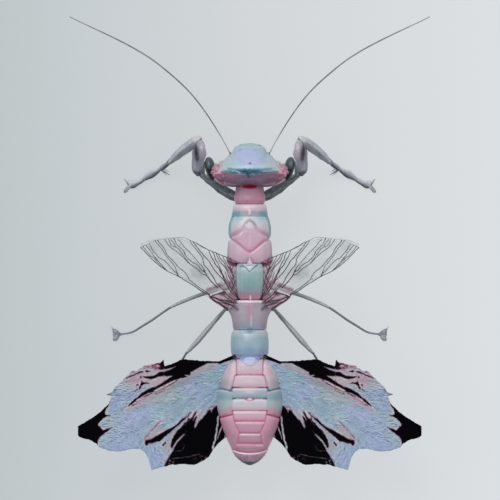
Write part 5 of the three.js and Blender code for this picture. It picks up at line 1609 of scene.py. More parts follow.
def hand(soup, x, s, bearing, tone=(132, 134, 144)):
    """A spread foot: two broad lobes with a web between them and pale wisps at their ends, lying on the floor."""
    b = math.radians(bearing)

    def at(along, across, z):
        return place(x + along * math.cos(b) - across * math.sin(b), s - along * math.sin(b) - across * math.cos(b), z)

    for sg, reach, aside, wide in ((1, 7.0, 5.0, 0.40), (-1, 6.4, 6.4, 0.50)):
        for k, (turn_, len_) in enumerate(((1.0, 1.0), (0.55, 0.92))):
            p = np.array([at(-2.0, 0, 0.22), at(0.8, sg * 0.8 * turn_, 0.26), at(reach * 0.52, sg * aside * 0.55 * turn_, wide + 0.01), at(reach * len_ * 0.92, sg * aside * 0.92 * turn_, wide * 0.8)])
            t = np.linspace(0, 1, 40)
            path = crom(p, t)
            w_ = wide * (1.0 if k == 0 else 0.84)
            r = np.interp(t, [0, 0.3, 0.7, 0.9, 1.0], [0.18, 0.26, w_, w_ * 0.86, w_ * 0.4])
            path[:, 2] = np.maximum(path[:, 2], r + 0.004)
            tube(path, r, 16, mix(mix(tone, (160, 161, 172), smooth(0.3, 0.8, t)), (104, 105, 116), gauss(t - 0.95, 0.05) * 0.7), soup)
        n = 12
        roots = np.array([at(reach * (0.74 + 0.2 * rng.random()), sg * aside * (0.35 + 0.6 * rng.random()), wide * (0.5 + 0.6 * rng.random())) for _ in range(n)])
        way = np.array([at(1, sg * 0.9, 0) - at(0, 0, 0)] * n)
        spikes(soup, roots, unit(way) + rng.normal(0, 0.28, (n, 3)) * [1, 1, 0.2], 0.30 + 0.4 * rng.random(n), 0.06 + 0.04 * rng.random(n), (142, 143, 154), (176, 178, 188), 0.08, 5)
    # pale wisps off the front toe
    n = 7
    roots = np.array([at(5.0 + 1.6 * rng.random(), 4.4 + 1.0 * rng.random(), 0.3) for _ in range(n)])
    way = np.array([at(0.75, 1.0, 0) - at(0, 0, 0)] * n)
    spikes(soup, roots, unit(way) + rng.normal(0, 0.16, (n, 3)) * [1, 1, 0.1], 0.7 + 0.7 * rng.random(n), 0.05 + 0.02 * rng.random(n), (176, 180, 188), (204, 208, 212), 0.1, 5)
    web = [[math.cos(b), math.sin(b), 0], [math.sin(b), -math.cos(b), 0], [0, 0, 1]]
    blob(soup, at(3.4, 0, 0.24), (0.78, 0.78, 0.22), (148, 149, 160), np.array(web).T, 20, 12)


def tarsus(soup, loops, breaks, colour, seed):
    """A tarsus of short lobed lengths between the given shares of its curve."""
    edges = [0.0, *breaks, 1.0]
    for k, (a, b) in enumerate(zip(edges[:-1], edges[1:])):
        g = limb_grid(loops, 20, 22, (1.1, 1.3), 0.0, (a, min(1.0, b + 0.012)))
        swell = np.linspace(0.90, 1.06, len(g["t"]))
        g["rb"], g["rd"] = g["rb"] * swell, g["rd"] * swell
        limb_add(soup, g, colour, knobbly(0.03, seed + k, 3.0))
        setae(soup, g, 8, 0.12, 0.1, 0.95, 0.9)
        # the pad below the end of the length
        p, d, tan = limb_point(g, g["t"][-3], -np.pi / 2, 0.4)
        if p[2] < 1.0:
            blob(soup, (p[0], p[1], max(p[2] - 0.04, 0.11)), (0.16, 0.16, 0.11), (112, 112, 118), w=12, h=8)


# fore leg
FORE_COXA = [(10, 198.5, 9.8, 1.0, 1.2), (19, 194.4, 9.0, 1.08, 1.2), (28, 189.0, 7.8, 1.06, 1.1), (39.5, 181.0, 6.2, 0.80, 0.88), (49.6, 173.6, 4.7, 0.58, 0.66)]
FORE_FEMUR = [(51.2, 174.8, 4.0, 0.62, 0.70), (52.8, 168.2, 5.4, 1.12, 0.97), (51.8, 160.6, 6.9, 1.30, 1.18), (50.6, 153.6, 8.3, 1.48, 1.24), (50.3, 146.4, 9.8, 1.16, 1.08), (50.4, 138.6, 11.0, 0.60, 0.66)]
FORE_TIBIA = [(48.8, 137.4, 11.2, 0.56, 0.62), (55.4, 142.0, 9.9, 1.04, 0.94), (61.9, 146.6, 8.3, 1.11, 0.92), (71.8, 154.2, 5.6, 0.93, 0.80), (79.0, 160.4, 3.7, 0.62, 0.58), (83.0, 163.2, 3.0, 0.47, 0.48)]
FORE_TARSUS = [(79.8, 161.0, 3.4, 0.44, 0.44), (86.4, 165.9, 2.2, 0.55, 0.50), (91.3, 169.7, 1.5, 0.46, 0.42), (99.0, 173.9, 0.90, 0.76, 0.68), (107.2, 178.9, 0.50, 0.48, 0.47), (112.2, 182.1, 0.56, 0.52, 0.52), (117.0, 184.2, 0.52, 0.72, 0.50), (121.4, 186.4, 0.40, 0.50, 0.38)]

soup = Soup()
g = limb_grid(FORE_COXA, 36, 110, (0.3, 1.0), -0.04)
dark_limb = grey_limb((38, 46, 52), (64, 76, 82), (100, 112, 118), 61)


def coxa_colour(t, a, arc):
    C = dark_limb(t, a, arc)
    streak = vnoise(arc * 1.4, np.cos(a) * 3.2 + 4, seed=63)
    C = mix(C, (34, 42, 50), smooth(0.62, 0.80, streak) * 0.7)
    # a pale wavy line along the top: painted highlight
    C = mix(C, (128, 140, 146), gauss(np.cos(a) + 0.25 * np.sin(arc * 1.3) - 0.1, 0.16) * smooth(0.15, 0.5, t) * smooth(0, 0.5, np.sin(a)) * 0.55)
    C = mix(C, (124, 92, 108), gauss(t - 0.62, 0.10) * smooth(0.2, 0.9, g["side"][:, None, 1] * np.cos(a)) * 0.6)
    C = mix(C, (150, 118, 130), gauss(t - 0.16, 0.08) * 0.3)
    return C


limb_add(soup, g, coxa_colour, knobbly(0.16, 62, 1.5))
row_of_spines(soup, g, np.linspace(0.25, 0.9, 9), math.radians(-60), 0.5, 0.07, 0.3)
setae(soup, g, 50, 0.22, colour=(96, 104, 112), tip=(130, 136, 142))
# trochanter, lying along the inner side of the femur
g = limb_grid([(48.6, 175.2, 4.5, 0.62, 0.60), (47.6, 171.4, 5.1, 0.56, 0.56), (47.0, 168.0, 5.7, 0.44, 0.48), (46.2, 164.6, 6.2, 0.32, 0.36), (44.9, 161.6, 6.7, 0.14, 0.18)], 24, 50, (0.8, 0.4), -0.02)
limb_add(soup, g, grey_limb((84, 88, 98), (108, 112, 122), (126, 130, 138), 66), knobbly(0.08, 67, 1.5), 0.15)
pair("foreleg_coxa_shell", soup, MAT_LIMB, "limb", ["foreleg_coxa"])

soup = Soup()
g = limb_grid(FORE_FEMUR, 60, 150, (0.8, 0.9), -0.04)
fem_base = grey_limb((112, 112, 124), (172, 171, 184), (190, 188, 201), 64)


def femur_shade_and_highlight(x, s_):
    # a dark recess on the femur: painted shade, and a pink streak beside it: painted highlight
    recess_shade = gauss(np.hypot((x - 53.5 + (s_ - 152) * 0.06) / (1.75 + 0.05 * np.clip(s_ - 150, 0, 10)), (s_ - 152.6) / 7.2), 0.78)
    rose = gauss(np.hypot((x - 47.9) / 2.2, (s_ - 150.2) / 6.6), 0.8)
    return recess_shade, rose


def femur_colour(t, a, arc):
    C = fem_base(t, a, arc)
    x, s_ = g["XU"], g["SS"]
    top = smooth(0.0, 0.4, np.sin(a))
    recess_shade, rose = femur_shade_and_highlight(x, s_)
    fleck = fbm(x / 1.3 + 3, s_ / 1.9, seed=66)
    # the lower femur painted lighter: painted light against the shade of its downward slope
    C = mix(C, (176, 179, 193), smooth(155, 161, s_) * smooth(172, 168, s_) * top * 0.75)
    C = mix(C, (164, 148, 164), gauss(np.hypot((x - 50.4) / 1.5, (s_ - 149) / 8.0), 0.8) * top * 0.7)
    # a pale pink streak beside the recess: painted highlight
    C = mix(C, mix((244, 226, 240), (190, 164, 180), smooth(0.50, 0.68, fleck)), rose * top * 0.95)
    # the right side lighter: painted light
    C = mix(C, (200, 196, 203), smooth(46.8, 44.6, x) * smooth(160, 155, s_) * 0.7)
    C = mix(C, (128, 126, 138), smooth(55.2, 56.6, x) * smooth(143, 148, s_) * 0.6)
    # the recess painted dark, with two darker spots in it: painted shade
    C = mix(C, (50, 47, 62), np.clip(recess_shade * 1.2, 0, 1) * top)
    C = mix(C, (44, 40, 54), gauss(np.hypot((x - 52.6) / 1.2, (s_ - 158.6) / 1.7), 0.8) * top * 0.9)
    C = mix(C, (38, 36, 50), gauss(np.hypot((x - 54.2) / 0.7, (s_ - 150.0) / 4.5), 0.8) * top * 0.8)
    C = mix(C, (204, 206, 206), smooth(142.6, 139.4, s_) * 0.8)
    C = mix(C, mix((52, 52, 62), (150, 150, 158), smooth(0.5, 0.66, fleck)), smooth(169.4, 172.4, s_) * 0.85)
    return C


def femur_relief(t, a, arc):
    d = knobbly(0.14, 65, 1.3)(t, a, arc)
    ab = np.cos(a)
    d = d - 0.16 * gauss(ab - 0.42, 0.22) * smooth(0.38, 0.5, t) * smooth(0.84, 0.72, t) * smooth(0, 0.5, np.sin(a))
    return d


limb_add(soup, g, femur_colour, femur_relief, 0.15)
row_of_spines(soup, g, np.linspace(0.28, 0.86, 9), math.radians(-70), 1.15, 0.11, 0.15)
row_of_spines(soup, g, np.linspace(0.25, 0.82, 12), math.radians(-112), 0.8, 0.09, 0.15)
setae(soup, g, 70, 0.22)
pair("foreleg_femur_shell", soup, MAT_LIMB, "limb", ["foreleg_femur"])

soup = Soup()
g = limb_grid(FORE_TIBIA, 48, 140, (0.9, 0.9), -0.03)
tib_base = grey_limb((112, 114, 125), (170, 174, 185), (194, 198, 208), 67, 0.06)


def tibia_colour(t, a, arc):
    C = tib_base(t, a, arc)
    x, s_ = g["XU"], g["SS"]
    run = (s_ - 140) * 0.78 - (x - 56) * 0.62
    grain_ = vnoise(run * 1.1 + 7, (x + s_) * 0.12, seed=69)
    C = C + ((grain_ - 0.5) * 34)[..., None]
    # pale near the knee along the upper edge: painted highlight
    C = mix(C, (208, 212, 211), smooth(60.5, 54.5, x) * smooth(146, 140, s_) * 0.85)
    # a dark line along the lower edge and a pale one along the upper edge: painted shade and painted light
    C = mix(C, (92, 94, 104), gauss(run - 1.6, 0.7) * smooth(54, 58, x) * smooth(78, 70, x) * 0.5)
    C = mix(C, (186, 189, 196), gauss(run + 2.6, 0.8) * smooth(56, 60, x) * smooth(80, 74, x) * 0.5)
    C = mix(C, (66, 66, 76), smooth(80.5, 83, x) * 0.5)
    return C


limb_add(soup, g, tibia_colour, knobbly(0.10, 68, 1.6), 0.6)
row_of_spines(soup, g, np.linspace(0.3, 0.92, 10), math.radians(-110), 0.7, 0.085, 0.35)
row_of_spines(soup, g, np.linspace(0.35, 0.92, 8), math.radians(-70), 0.6, 0.075, 0.35)
setae(soup, g, 80, 0.22)
pair("foreleg_tibia_shell", soup, MAT_LIMB, "limb", ["foreleg_tibia"])

soup = Soup()


def foot_tone(t, a, arc):
    """Painted light and shade: pale on the sides facing forward, dark along the rear lower edge."""
    front = g["side"][:, None, 1] * np.cos(a) + g["lift"][:, None, 1] * np.sin(a)
    at = [-0.95, -0.72, -0.45, -0.05, 0.35, 0.8]
    C = np.stack([np.interp(front, at, row) for row in ((40, 60, 104, 142, 182, 204), (42, 63, 107, 146, 185, 207), (52, 73, 117, 155, 193, 212))], -1)
    C = C + ((fbm(arc * 1.7 + 5, np.cos(a) * 1.2 + 4, np.sin(a) * 1.2, seed=70) - 0.5) * 16)[..., None]
    return mix(C, (122, 125, 134), smooth(0.10, -0.45, np.sin(a)) * smooth(-0.2, 0.3, front) * 0.85)


shares = np.linspace(0, 1, len(FORE_TARSUS))
for k, (a_, b_) in enumerate(((0.0, shares[2] + 0.02), (shares[2] - 0.02, shares[4] + 0.02), (shares[4] - 0.02, 1.0))):
    g = limb_grid(FORE_TARSUS, 30, 60, (1.0, 1.0), 0.0, (a_, b_))
    limb_add(soup, g, foot_tone, knobbly(0.07, 71 + k, 1.3), 0.0)
    setae(soup, g, 16, 0.2, 0.1, 0.95, 0.9)
for x_, st, z_ in ((90.0, 169.0, 1.0), (104.4, 178.6, 0.2), (112.0, 182.0, 0.2)):
    blob(soup, place(x_, st, z_), (0.3, 0.3, 0.19), (150, 152, 160))
# the two spines at the end of the tibia, and a near-white one beside them: a painted highlight along the spur
spikes(soup, [place(89.4, 169.2, 1.9), place(90.0, 170.6, 1.6), place(87.2, 167.8, 2.2)], [(-0.86, -0.52, -0.05), (-0.85, -0.54, -0.04), (-0.84, -0.52, 0.0)], [2.3, 1.75, 1.6], [0.26, 0.30, 0.17], [(104, 106, 116), (240, 242, 246), (150, 152, 162)], [(156, 159, 167), (232, 235, 240), (186, 189, 196)], 0.06, 9)
# foot: a thick hind lobe and a thin front one with pale wisps
t = np.linspace(0, 1, 30)
path = crom(np.array([place(119.6, 185.4, 0.46), place(122.6, 187.6, 0.42), place(124.6, 190.0, 0.36), place(126.0, 191.6, 0.33)]), t)
tube(path, np.interp(t, [0, 0.3, 0.8, 1.0], [0.36, 0.40, 0.38, 0.24]), 16, mix((168, 171, 178), (138, 141, 149), t), soup)
path = crom(np.array([place(119.4, 185.8, 0.50), place(121.8, 184.2, 0.36), place(123.8, 181.6, 0.26), place(126.2, 178.6, 0.14)]), t)
tube(path, np.interp(t, [0, 0.4, 1.0], [0.34, 0.22, 0.07]), 14, mix((98, 101, 110), (160, 163, 170), t), soup)
n_h = 12
roots = place(rng.uniform(118.0, 123.5, n_h), rng.uniform(180.6, 183.6, n_h), rng.uniform(0.25, 0.5, n_h))
spikes(soup, roots, np.stack([rng.uniform(0.1, 0.9, n_h), rng.uniform(0.5, 1.0, n_h), np.zeros(n_h)], -1), rng.uniform(0.35, 0.75, n_h), np.full(n_h, 0.05), (196, 198, 206), (212, 214, 218), 0.1, 5)
blob(soup, place(119.0, 182.4, 0.42), (0.66, 0.50, 0.34), (204, 206, 212))
pair("foreleg_tarsus_shell", soup, MAT_LIMB, "limb", ["foreleg_tarsus"])

# middle and hind legs
MID_COXA = [(12, 282, 8.8, 1.15, 1.3), (20, 285, 7.9, 1.0, 1.15), (27.5, 288, 7.2, 0.7, 0.8)]
MID_FEMUR = [(22.5, 286, 7.2, 0.56, 0.68), (36, 290.2, 8.6, 0.48, 0.64), (56, 297.2, 10.4, 0.40, 0.52), (68.0, 302.0, 11.3, 0.38, 0.46), (74.6, 305.0, 11.8, 0.34, 0.38), (81.4, 308.6, 12.3, 0.25, 0.28)]
MID_TIBIA = [(79.4, 307.4, 12.5, 0.26, 0.28), (88.0, 313.2, 9.7, 0.24, 0.25), (98.2, 320.4, 6.2, 0.26, 0.27), (106.6, 325.6, 3.5, 0.25, 0.25), (115.4, 331.2, 0.9, 0.23, 0.22)]
MID_TARSUS = [(113.8, 330.4, 1.3, 0.22, 0.20), (120.4, 333.2, 0.5, 0.20, 0.19), (127.0, 334.3, 0.28, 0.20, 0.19), (131.4, 334.6, 0.24, 0.24, 0.22)]
HIND_COXA = [(12, 301, 8.8, 1.15, 1.3), (19, 305, 7.9, 1.0, 1.15), (25.2, 309.6, 7.2, 0.64, 0.8)]
HIND_FEMUR = [(22.8, 307.4, 7.1, 0.36, 0.6), (34.2, 320.4, 8.0, 0.46, 0.75), (44.2, 331.8, 8.8, 0.56, 0.85), (52.2, 341.2, 9.5, 0.58, 0.8), (58.8, 348.4, 10.0, 0.42, 0.55), (63.8, 353.8, 10.4, 0.24, 0.3)]
HIND_TIBIA = [(62.8, 352.0, 10.6, 0.24, 0.28), (67.2, 359.4, 9.4, 0.24, 0.26), (78.4, 380.0, 5.2, 0.26, 0.28), (90.2, 400.4, 0.7, 0.22, 0.22)]
HIND_TARSUS = [(88.8, 397.8, 1.3, 0.22, 0.22), (91.8, 403.4, 0.5, 0.20, 0.2), (94.6, 408.6, 0.28, 0.20, 0.2), (98.4, 415.0, 0.24, 0.24, 0.22)]

for leg, parts, foot_at, seed in (
    ("midleg", (MID_COXA, MID_FEMUR, MID_TIBIA, MID_TARSUS), (130.8, 334.8, 0), 80),
    ("hindleg", (HIND_COXA, HIND_FEMUR, HIND_TIBIA, HIND_TARSUS), (98.2, 414.6, -60), 90),
):
    coxa, femur, tibia, tars = parts
    light = grey_limb((84, 88, 96), (122, 126, 132), (150, 154, 160), seed, 0.0, 0.6)
    deep = grey_limb((92, 96, 103), (136, 140, 146), (164, 168, 172), seed + 3, 0.0, 0.6)
    soup = Soup()
    g = limb_grid(coxa, 26, 46, (0.2, 1.0), -0.03)
    limb_add(soup, g, grey_limb((90, 84, 94), (134, 128, 138), (170, 164, 172), seed + 1), knobbly(0.1, seed + 2))
    setae(soup, g, 30, 0.25)
    pair(leg + "_coxa_shell", soup, MAT_LIMB, "limb", [leg + "_coxa"])
    soup = Soup()
    g = limb_grid(femur, 24, 90, (0.9, 1.0), -0.02)

    def with_knee(t, a, arc, g=g, tone=deep):
        front = g["side"][:, None, 1] * np.cos(a) + g["lift"][:, None, 1] * np.sin(a)
        # grey by which way the surface faces: painted light on forward sides, painted shade on rear sides
        at = [-0.9, -0.6, -0.25, 0.1, 0.45, 0.85]
        C = np.stack([np.interp(front, at, row) for row in ((84, 104, 126, 148, 166, 178), (88, 109, 131, 152, 170, 182), (96, 116, 138, 158, 175, 186))], -1)
        C = mix(C, tone(t, a, arc), 0.25)
        C = mix(C, (84, 84, 94), smooth(0.93, 1.0, t) * 0.6)
        return mix(C, (104, 106, 114), smooth(0.0, -0.5, np.sin(a)) * 0.7)

    limb_add(soup, g, with_knee, knobbly(0.06, seed + 4, 1.6), 0.15)
    setae(soup, g, 22, 0.14)
    pair(leg + "_femur_shell", soup, MAT_LIMB, "limb", [leg + "_femur"])
    soup = Soup()
    g = limb_grid(tibia, 22, 90, (1.0, 1.0), -0.02)
    limb_add(soup, g, light, knobbly(0.05, seed + 5, 2.0))
    row_of_spines(soup, g, np.linspace(0.15, 0.97, 12), math.radians(-110), 0.30, 0.03, 0.9, sides=5)
    row_of_spines(soup, g, np.linspace(0.2, 0.97, 12), math.radians(-70), 0.30, 0.03, 0.9, sides=5)
    setae(soup, g, 30, 0.12)
    pair(leg + "_tibia_shell", soup, MAT_LIMB, "limb", [leg + "_tibia"])
    soup = Soup()
    tarsus(soup, tars, [0.40, 0.58, 0.74, 0.88], light, seed + 6)
    hand(soup, *foot_at)
    pair(leg + "_tarsus_shell", soup, MAT_LIMB, "limb", [leg + "_tarsus"])

# ---------------------------------------------------------------- antennae
ANTENNA = np.array([
    (19.0, 155.4, 10.5), (19.9, 152.0, 10.9), (24.8, 143.0, 11.6), (29.8, 135.0, 12.3), (34.8, 126.0, 13.0), (40.8, 117.0, 13.7),
    (48.8, 105.0, 14.6), (57.8, 93.6, 15.5), (64.8, 86.4, 16.2), (72.8, 79.4, 16.8), (84.8, 69.4, 17.7), (90.8, 64.0, 18.1),
    (100.8, 56.4, 18.7), (112.8, 50.0, 19.3), (120.8, 45.0, 19.6), (134.8, 38.4, 20.1), (148.8, 31.0, 20.5), (164.8, 25.0, 20.8),
    (179.9, 16.8, 21.0),
])
# the far end stands nearer the eye and so looks further out than it is
lean = 1 - (ANTENNA[:, 2] - 11) / 1667
pts = place(ANTENNA[:, 0] * lean, 250 + (ANTENNA[:, 1] - 250) * lean, ANTENNA[:, 2])
t = np.linspace(0.0, 1.0, 620)
path = crom(pts, t)
for _ in range(60):  # ease the small bends between the points
    path[6:-6] = (path[0:-12] + path[6:-6] + path[12:]) / 3
arc = np.concatenate([[0], np.cumsum(np.linalg.norm(np.diff(path, axis=0), axis=1))])
share = arc / arc[-1]
joint = 0.5 + 0.5 * np.cos(2 * np.pi * arc / 0.42)
base_r = np.interp(share, [0, 0.02, 0.12, 0.3, 0.45, 0.75, 1.0], [0.12, 0.11, 0.12, 0.14, 0.155, 0.145, 0.095])
r = base_r * (1.04 - 0.14 * joint**3)
tone = mix((182, 185, 189), (128, 132, 136), smooth(0.07, 0.18, share))
tone = mix(tone, (150, 156, 158), smooth(0.72, 1.0, share))
tone = tone + ((vnoise(arc * 0.8, arc * 0, seed=75) - 0.5) * 34)[..., None]
tone = mix(tone, (92, 94, 100), joint**3 * 0.35)
soup = Soup()
tube(path[8:], r[8:], 9, tone[8:], soup)
g0 = crom(pts, np.linspace(0.0, 0.055, 20))
tube(g0[:13], np.interp(np.arange(13), [0, 3, 9, 12], [0.14, 0.20, 0.17, 0.12]), 16, (164, 169, 175), soup)
tube(g0[11:19], np.interp(np.arange(8), [0, 3, 7], [0.12, 0.15, 0.11]), 14, (138, 142, 148), soup)
n_h = 260
k = rng.integers(30, 600, n_h)
tan = unit(np.gradient(path, axis=0))[k]
rad = unit(np.cross(tan, rng.normal(0, 1, (n_h, 3))))
spikes(soup, path[k] + rad * r[k][:, None] * 0.8, unit(rad * 0.5 + tan), 0.10 + 0.06 * rng.random(n_h), np.full(n_h, 0.012), (120, 120, 126), (170, 170, 176), 0.1, 3)
pair("antenna_whip", soup, MAT_FEELER, "feeler", ["antenna"])

# ---------------------------------------------------------------- mouth
soup = Soup()
JAW = np.array([(152.6, 11.0, 9.6, 6.5), (152.0, 10.4, 8.2, 7.0), (152.8, 9.2, 7.2, 6.4), (154.0, 7.0, 6.2, 5.2), (155.4, 4.0, 5.4, 3.2)])
tt = np.linspace(0, 1, 60)
zz = np.linspace(9.7, 5.35, 60)
order = np.argsort(JAW[:, 2])
cs = np.interp(zz, JAW[order, 2], JAW[order, 0])
hw = np.interp(zz, JAW[order, 2], JAW[order, 1])
dp = np.interp(zz, JAW[order, 2], JAW[order, 3])
k = np.sqrt(np.clip(1 - (1 - np.clip((zz - 5.35) / 0.5, 0, 1)) ** 2, 0.03, 1))
a = np.linspace(0, 2 * np.pi, 72, endpoint=False)
A, Zg = np.meshgrid(a, zz)
front = np.sin(A)
sec = 1 - 0.05 * gauss(Zg - 8.15, 0.10) * smooth(0, 0.4, front) - 0.05 * gauss(Zg - 6.75, 0.10) * smooth(0, 0.4, front)
sec = sec - 0.10 * gauss(np.cos(A), 0.05) * smooth(6.9, 6.2, Zg)
sec = sec + 0.03 * gauss(np.abs(np.cos(A)) - 0.45, 0.2) * smooth(7.4, 6.6, Zg)
X = np.cos(A) * (hw * UNIT * k)[:, None] * sec * 0.97
Y = (DATUM - cs[:, None]) * UNIT + np.sin(A) * (dp * UNIT * k)[:, None] * sec * 0.97
V = np.stack([X, Y, Zg], -1)
C = mix((182, 160, 174), (158, 122, 140), smooth(8.4, 6.6, Zg))
C = mix(C, (116, 72, 92), gauss(Zg - 8.15, 0.12) + gauss(Zg - 6.75, 0.12))
C = mix(C, (84, 44, 60), smooth(6.4, 5.6, Zg) * 0.8)
C = C + ((fbm(A * 2, Zg * 2, seed=101) - 0.5) * 22)[..., None]
v, Q, T = rings(V)
soup.add(v, Q, T, ring_colours(C))
# mandible tips and a labium lobe behind them
for sg in (1, -1):
    tube(np.array([place(sg * 4.6, 152.4, 6.6), place(sg * 3.8, 152.0, 5.9), place(sg * 1.6, 152.2, 5.45)]), [0.42, 0.3, 0.1], 14, np.array([(150, 110, 128), (104, 62, 78), (52, 30, 40)]), soup)
    blob(soup, place(sg * 3.0, 157.6, 6.4), (0.55, 0.45, 0.9), (168, 140, 156))
piece("mouthparts_detail", soup, MAT_MOUTH, "mouth", ["mouthparts"])

soup = Soup()
palp = np.array([(7.5, 155.0, 6.8), (11.0, 151.0, 6.1), (11.6, 147.6, 5.0), (9.8, 148.6, 3.9)])
P4 = place(*palp.T)
for k, (a0, b0) in enumerate(((0, 0.2), (0.19, 0.42), (0.41, 0.62), (0.61, 0.82), (0.81, 1.0))):
    q = crom(P4, np.linspace(a0, b0, 14))
    rr = np.interp(np.linspace(0, 1, 14), [0, 0.25, 0.8, 1], [0.13, 0.19, 0.23, 0.15]) * (1 - 0.07 * k)
    tube(q, rr, 12, mix((170, 140, 156), (128, 96, 112), np.linspace(0, 1, 14)), soup)
pair("palp_detail", soup, MAT_MOUTH, "mouth", ["palp"])
soup = Soup()
P4 = place(*np.array([(4.0, 157.5, 6.2), (6.0, 155.5, 5.2), (6.4, 153.0, 4.4), (5.4, 152.0, 4.0)]).T)
for k, (a0, b0) in enumerate(((0, 0.35), (0.34, 0.68), (0.67, 1.0))):
    q = crom(P4, np.linspace(a0, b0, 12))
    tube(q, np.interp(np.linspace(0, 1, 12), [0, 0.3, 0.8, 1], [0.1, 0.15, 0.17, 0.1]), 10, (150, 118, 134), soup)
pair("labial_palp", soup, MAT_MOUTH, "mouth")

# cerci
soup = Soup()
P4 = place(*np.array([(7.8, 450.6, 8.2), (7.4, 453.8, 7.65), (6.6, 458.5, 7.4), (5.4, 463.6, 7.5)]).T)
q = crom(P4, np.linspace(0, 1, 60))
arc_c = np.linspace(0, 1, 60)
rr = np.interp(arc_c, [0, 0.15, 0.6, 1], [0.3, 0.36, 0.3, 0.12]) * (1 - 0.14 * (0.5 + 0.5 * np.cos(arc_c * 2 * np.pi * 9)) ** 2)
tube(q, rr, 14, mix((176, 140, 158), (120, 110, 124), arc_c), soup)
n_h = 60
kk = rng.integers(4, 58, n_h)
tan = unit(np.gradient(q, axis=0))[kk]
rad = unit(np.cross(tan, rng.normal(0, 1, (n_h, 3))))
spikes(soup, q[kk] + rad * rr[kk][:, None] * 0.9, unit(rad + tan * 0.5), 0.3 + 0.2 * rng.random(n_h), np.full(n_h, 0.014), (130, 110, 124), (190, 180, 186), 0.1, 3)
pair("cercus_detail", soup, MAT_LIMB, "limb", ["cercus"])

# short hairs at the tip of the abdomen, lying back
tip_rows = loops_of(ABDOMEN)
soup = Soup()
n_h = 420
st = 453.5 + 11.0 * rng.random(n_h) ** 0.8
ang = rng.random(n_h) * np.pi
half, top, mid_, under = section(tip_rows, st)
ca, sa = power(np.cos(ang), 0.86), power(np.sin(ang), 0.9)
root = np.stack([half * UNIT * ca, (DATUM - st) * UNIT, mid_ + (top - mid_) * sa], -1)
nrm = unit(np.stack([ca / np.maximum(half * UNIT, 0.2), np.full(n_h, -0.25), sa / np.maximum(top - mid_, 0.2)], -1))
dirs = unit(nrm * 0.22 + np.array([0, -1.0, -0.15]) + np.stack([ca * 0.1, np.zeros(n_h), np.zeros(n_h)], -1) + rng.normal(0, 0.1, (n_h, 3)))
tone = rng.random(n_h)[:, None]
c0 = np.array((112, 96, 114)) * (1 - tone) + np.array((150, 120, 140)) * tone
uvs = np.stack([0.02 + 0.96 * (ang / (2 * np.pi) + 0.25), (st - 440) / 28.0], -1)
spikes(soup, root - nrm * 0.03, dirs, 0.16 + 0.22 * rng.random(n_h), np.full(n_h, 0.018), c0, c0 * 0.9 + 20, 0.08, 3, uvs)
piece("abdomen_tip_hairs", soup, MAT_HAIR, "pink_shell", bake_uv=True)

# ---------------------------------------------------------------- fore wings
FORE_FRONT = np.array([
    (0, 13.6, 262.5, 13.15), (0.1, 17.5, 261.8, 13.25), (0.28, 29.5, 257.3, 13.7), (0.5, 47.5, 250.2, 14.5),
    (0.66, 63, 240.5, 15.2), (0.8, 78, 236.8, 15.7), (0.92, 95, 238.8, 16.0), (1, 108.6, 243.2, 16.1),
])
FORE_REAR = np.array([
    (0, 13.0, 300.5, 13.15), (0.1, 21.5, 309.3, 13.2), (0.24, 43.5, 296.2, 13.5), (0.4, 57.5, 284.2, 14.0),
    (0.58, 79.0, 270.8, 14.7), (0.76, 94.5, 259.5, 15.3), (0.9, 104.0, 250.0, 15.8), (1, 108.8, 245.2, 16.0),
])


def wing_surface(t, c):
    F = [pchip(FORE_FRONT[:, 0], FORE_FRONT[:, k], t) for k in (1, 2, 3)]
    R = [pchip(FORE_REAR[:, 0], FORE_REAR[:, k], t) for k in (1, 2, 3)]
    x = R[0] * (1 - c) + F[0] * c
    s_ = R[1] * (1 - c) + F[1] * c
    z = R[2] * (1 - c) + F[2] * c + 0.55 * np.sin(np.pi * c) * smooth(0.05, 0.5, t)
    return x, s_, z


tw, cw = np.meshgrid(np.linspace(0.0, 1, 150), np.linspace(0, 1, 70), indexing="ij")
wx, ws, wz = wing_surface(tw, cw)


def fore_z(x, s_):
    """Height of the membrane at a plan position."""
    x, s_ = np.atleast_1d(np.asarray(x, float)), np.atleast_1d(np.asarray(s_, float))
    out = np.zeros(len(x))
    gx, gs, gz = wx.ravel(), ws.ravel(), wz.ravel()
    for i in range(len(x)):
        d = (gx - x[i]) ** 2 + (gs - s_[i]) ** 2
        k = np.argpartition(d, 4)[:4]
        w_ = 1 / (d[k] + 1e-3)
        out[i] = np.sum(gz[k] * w_) / np.sum(w_)
    return out


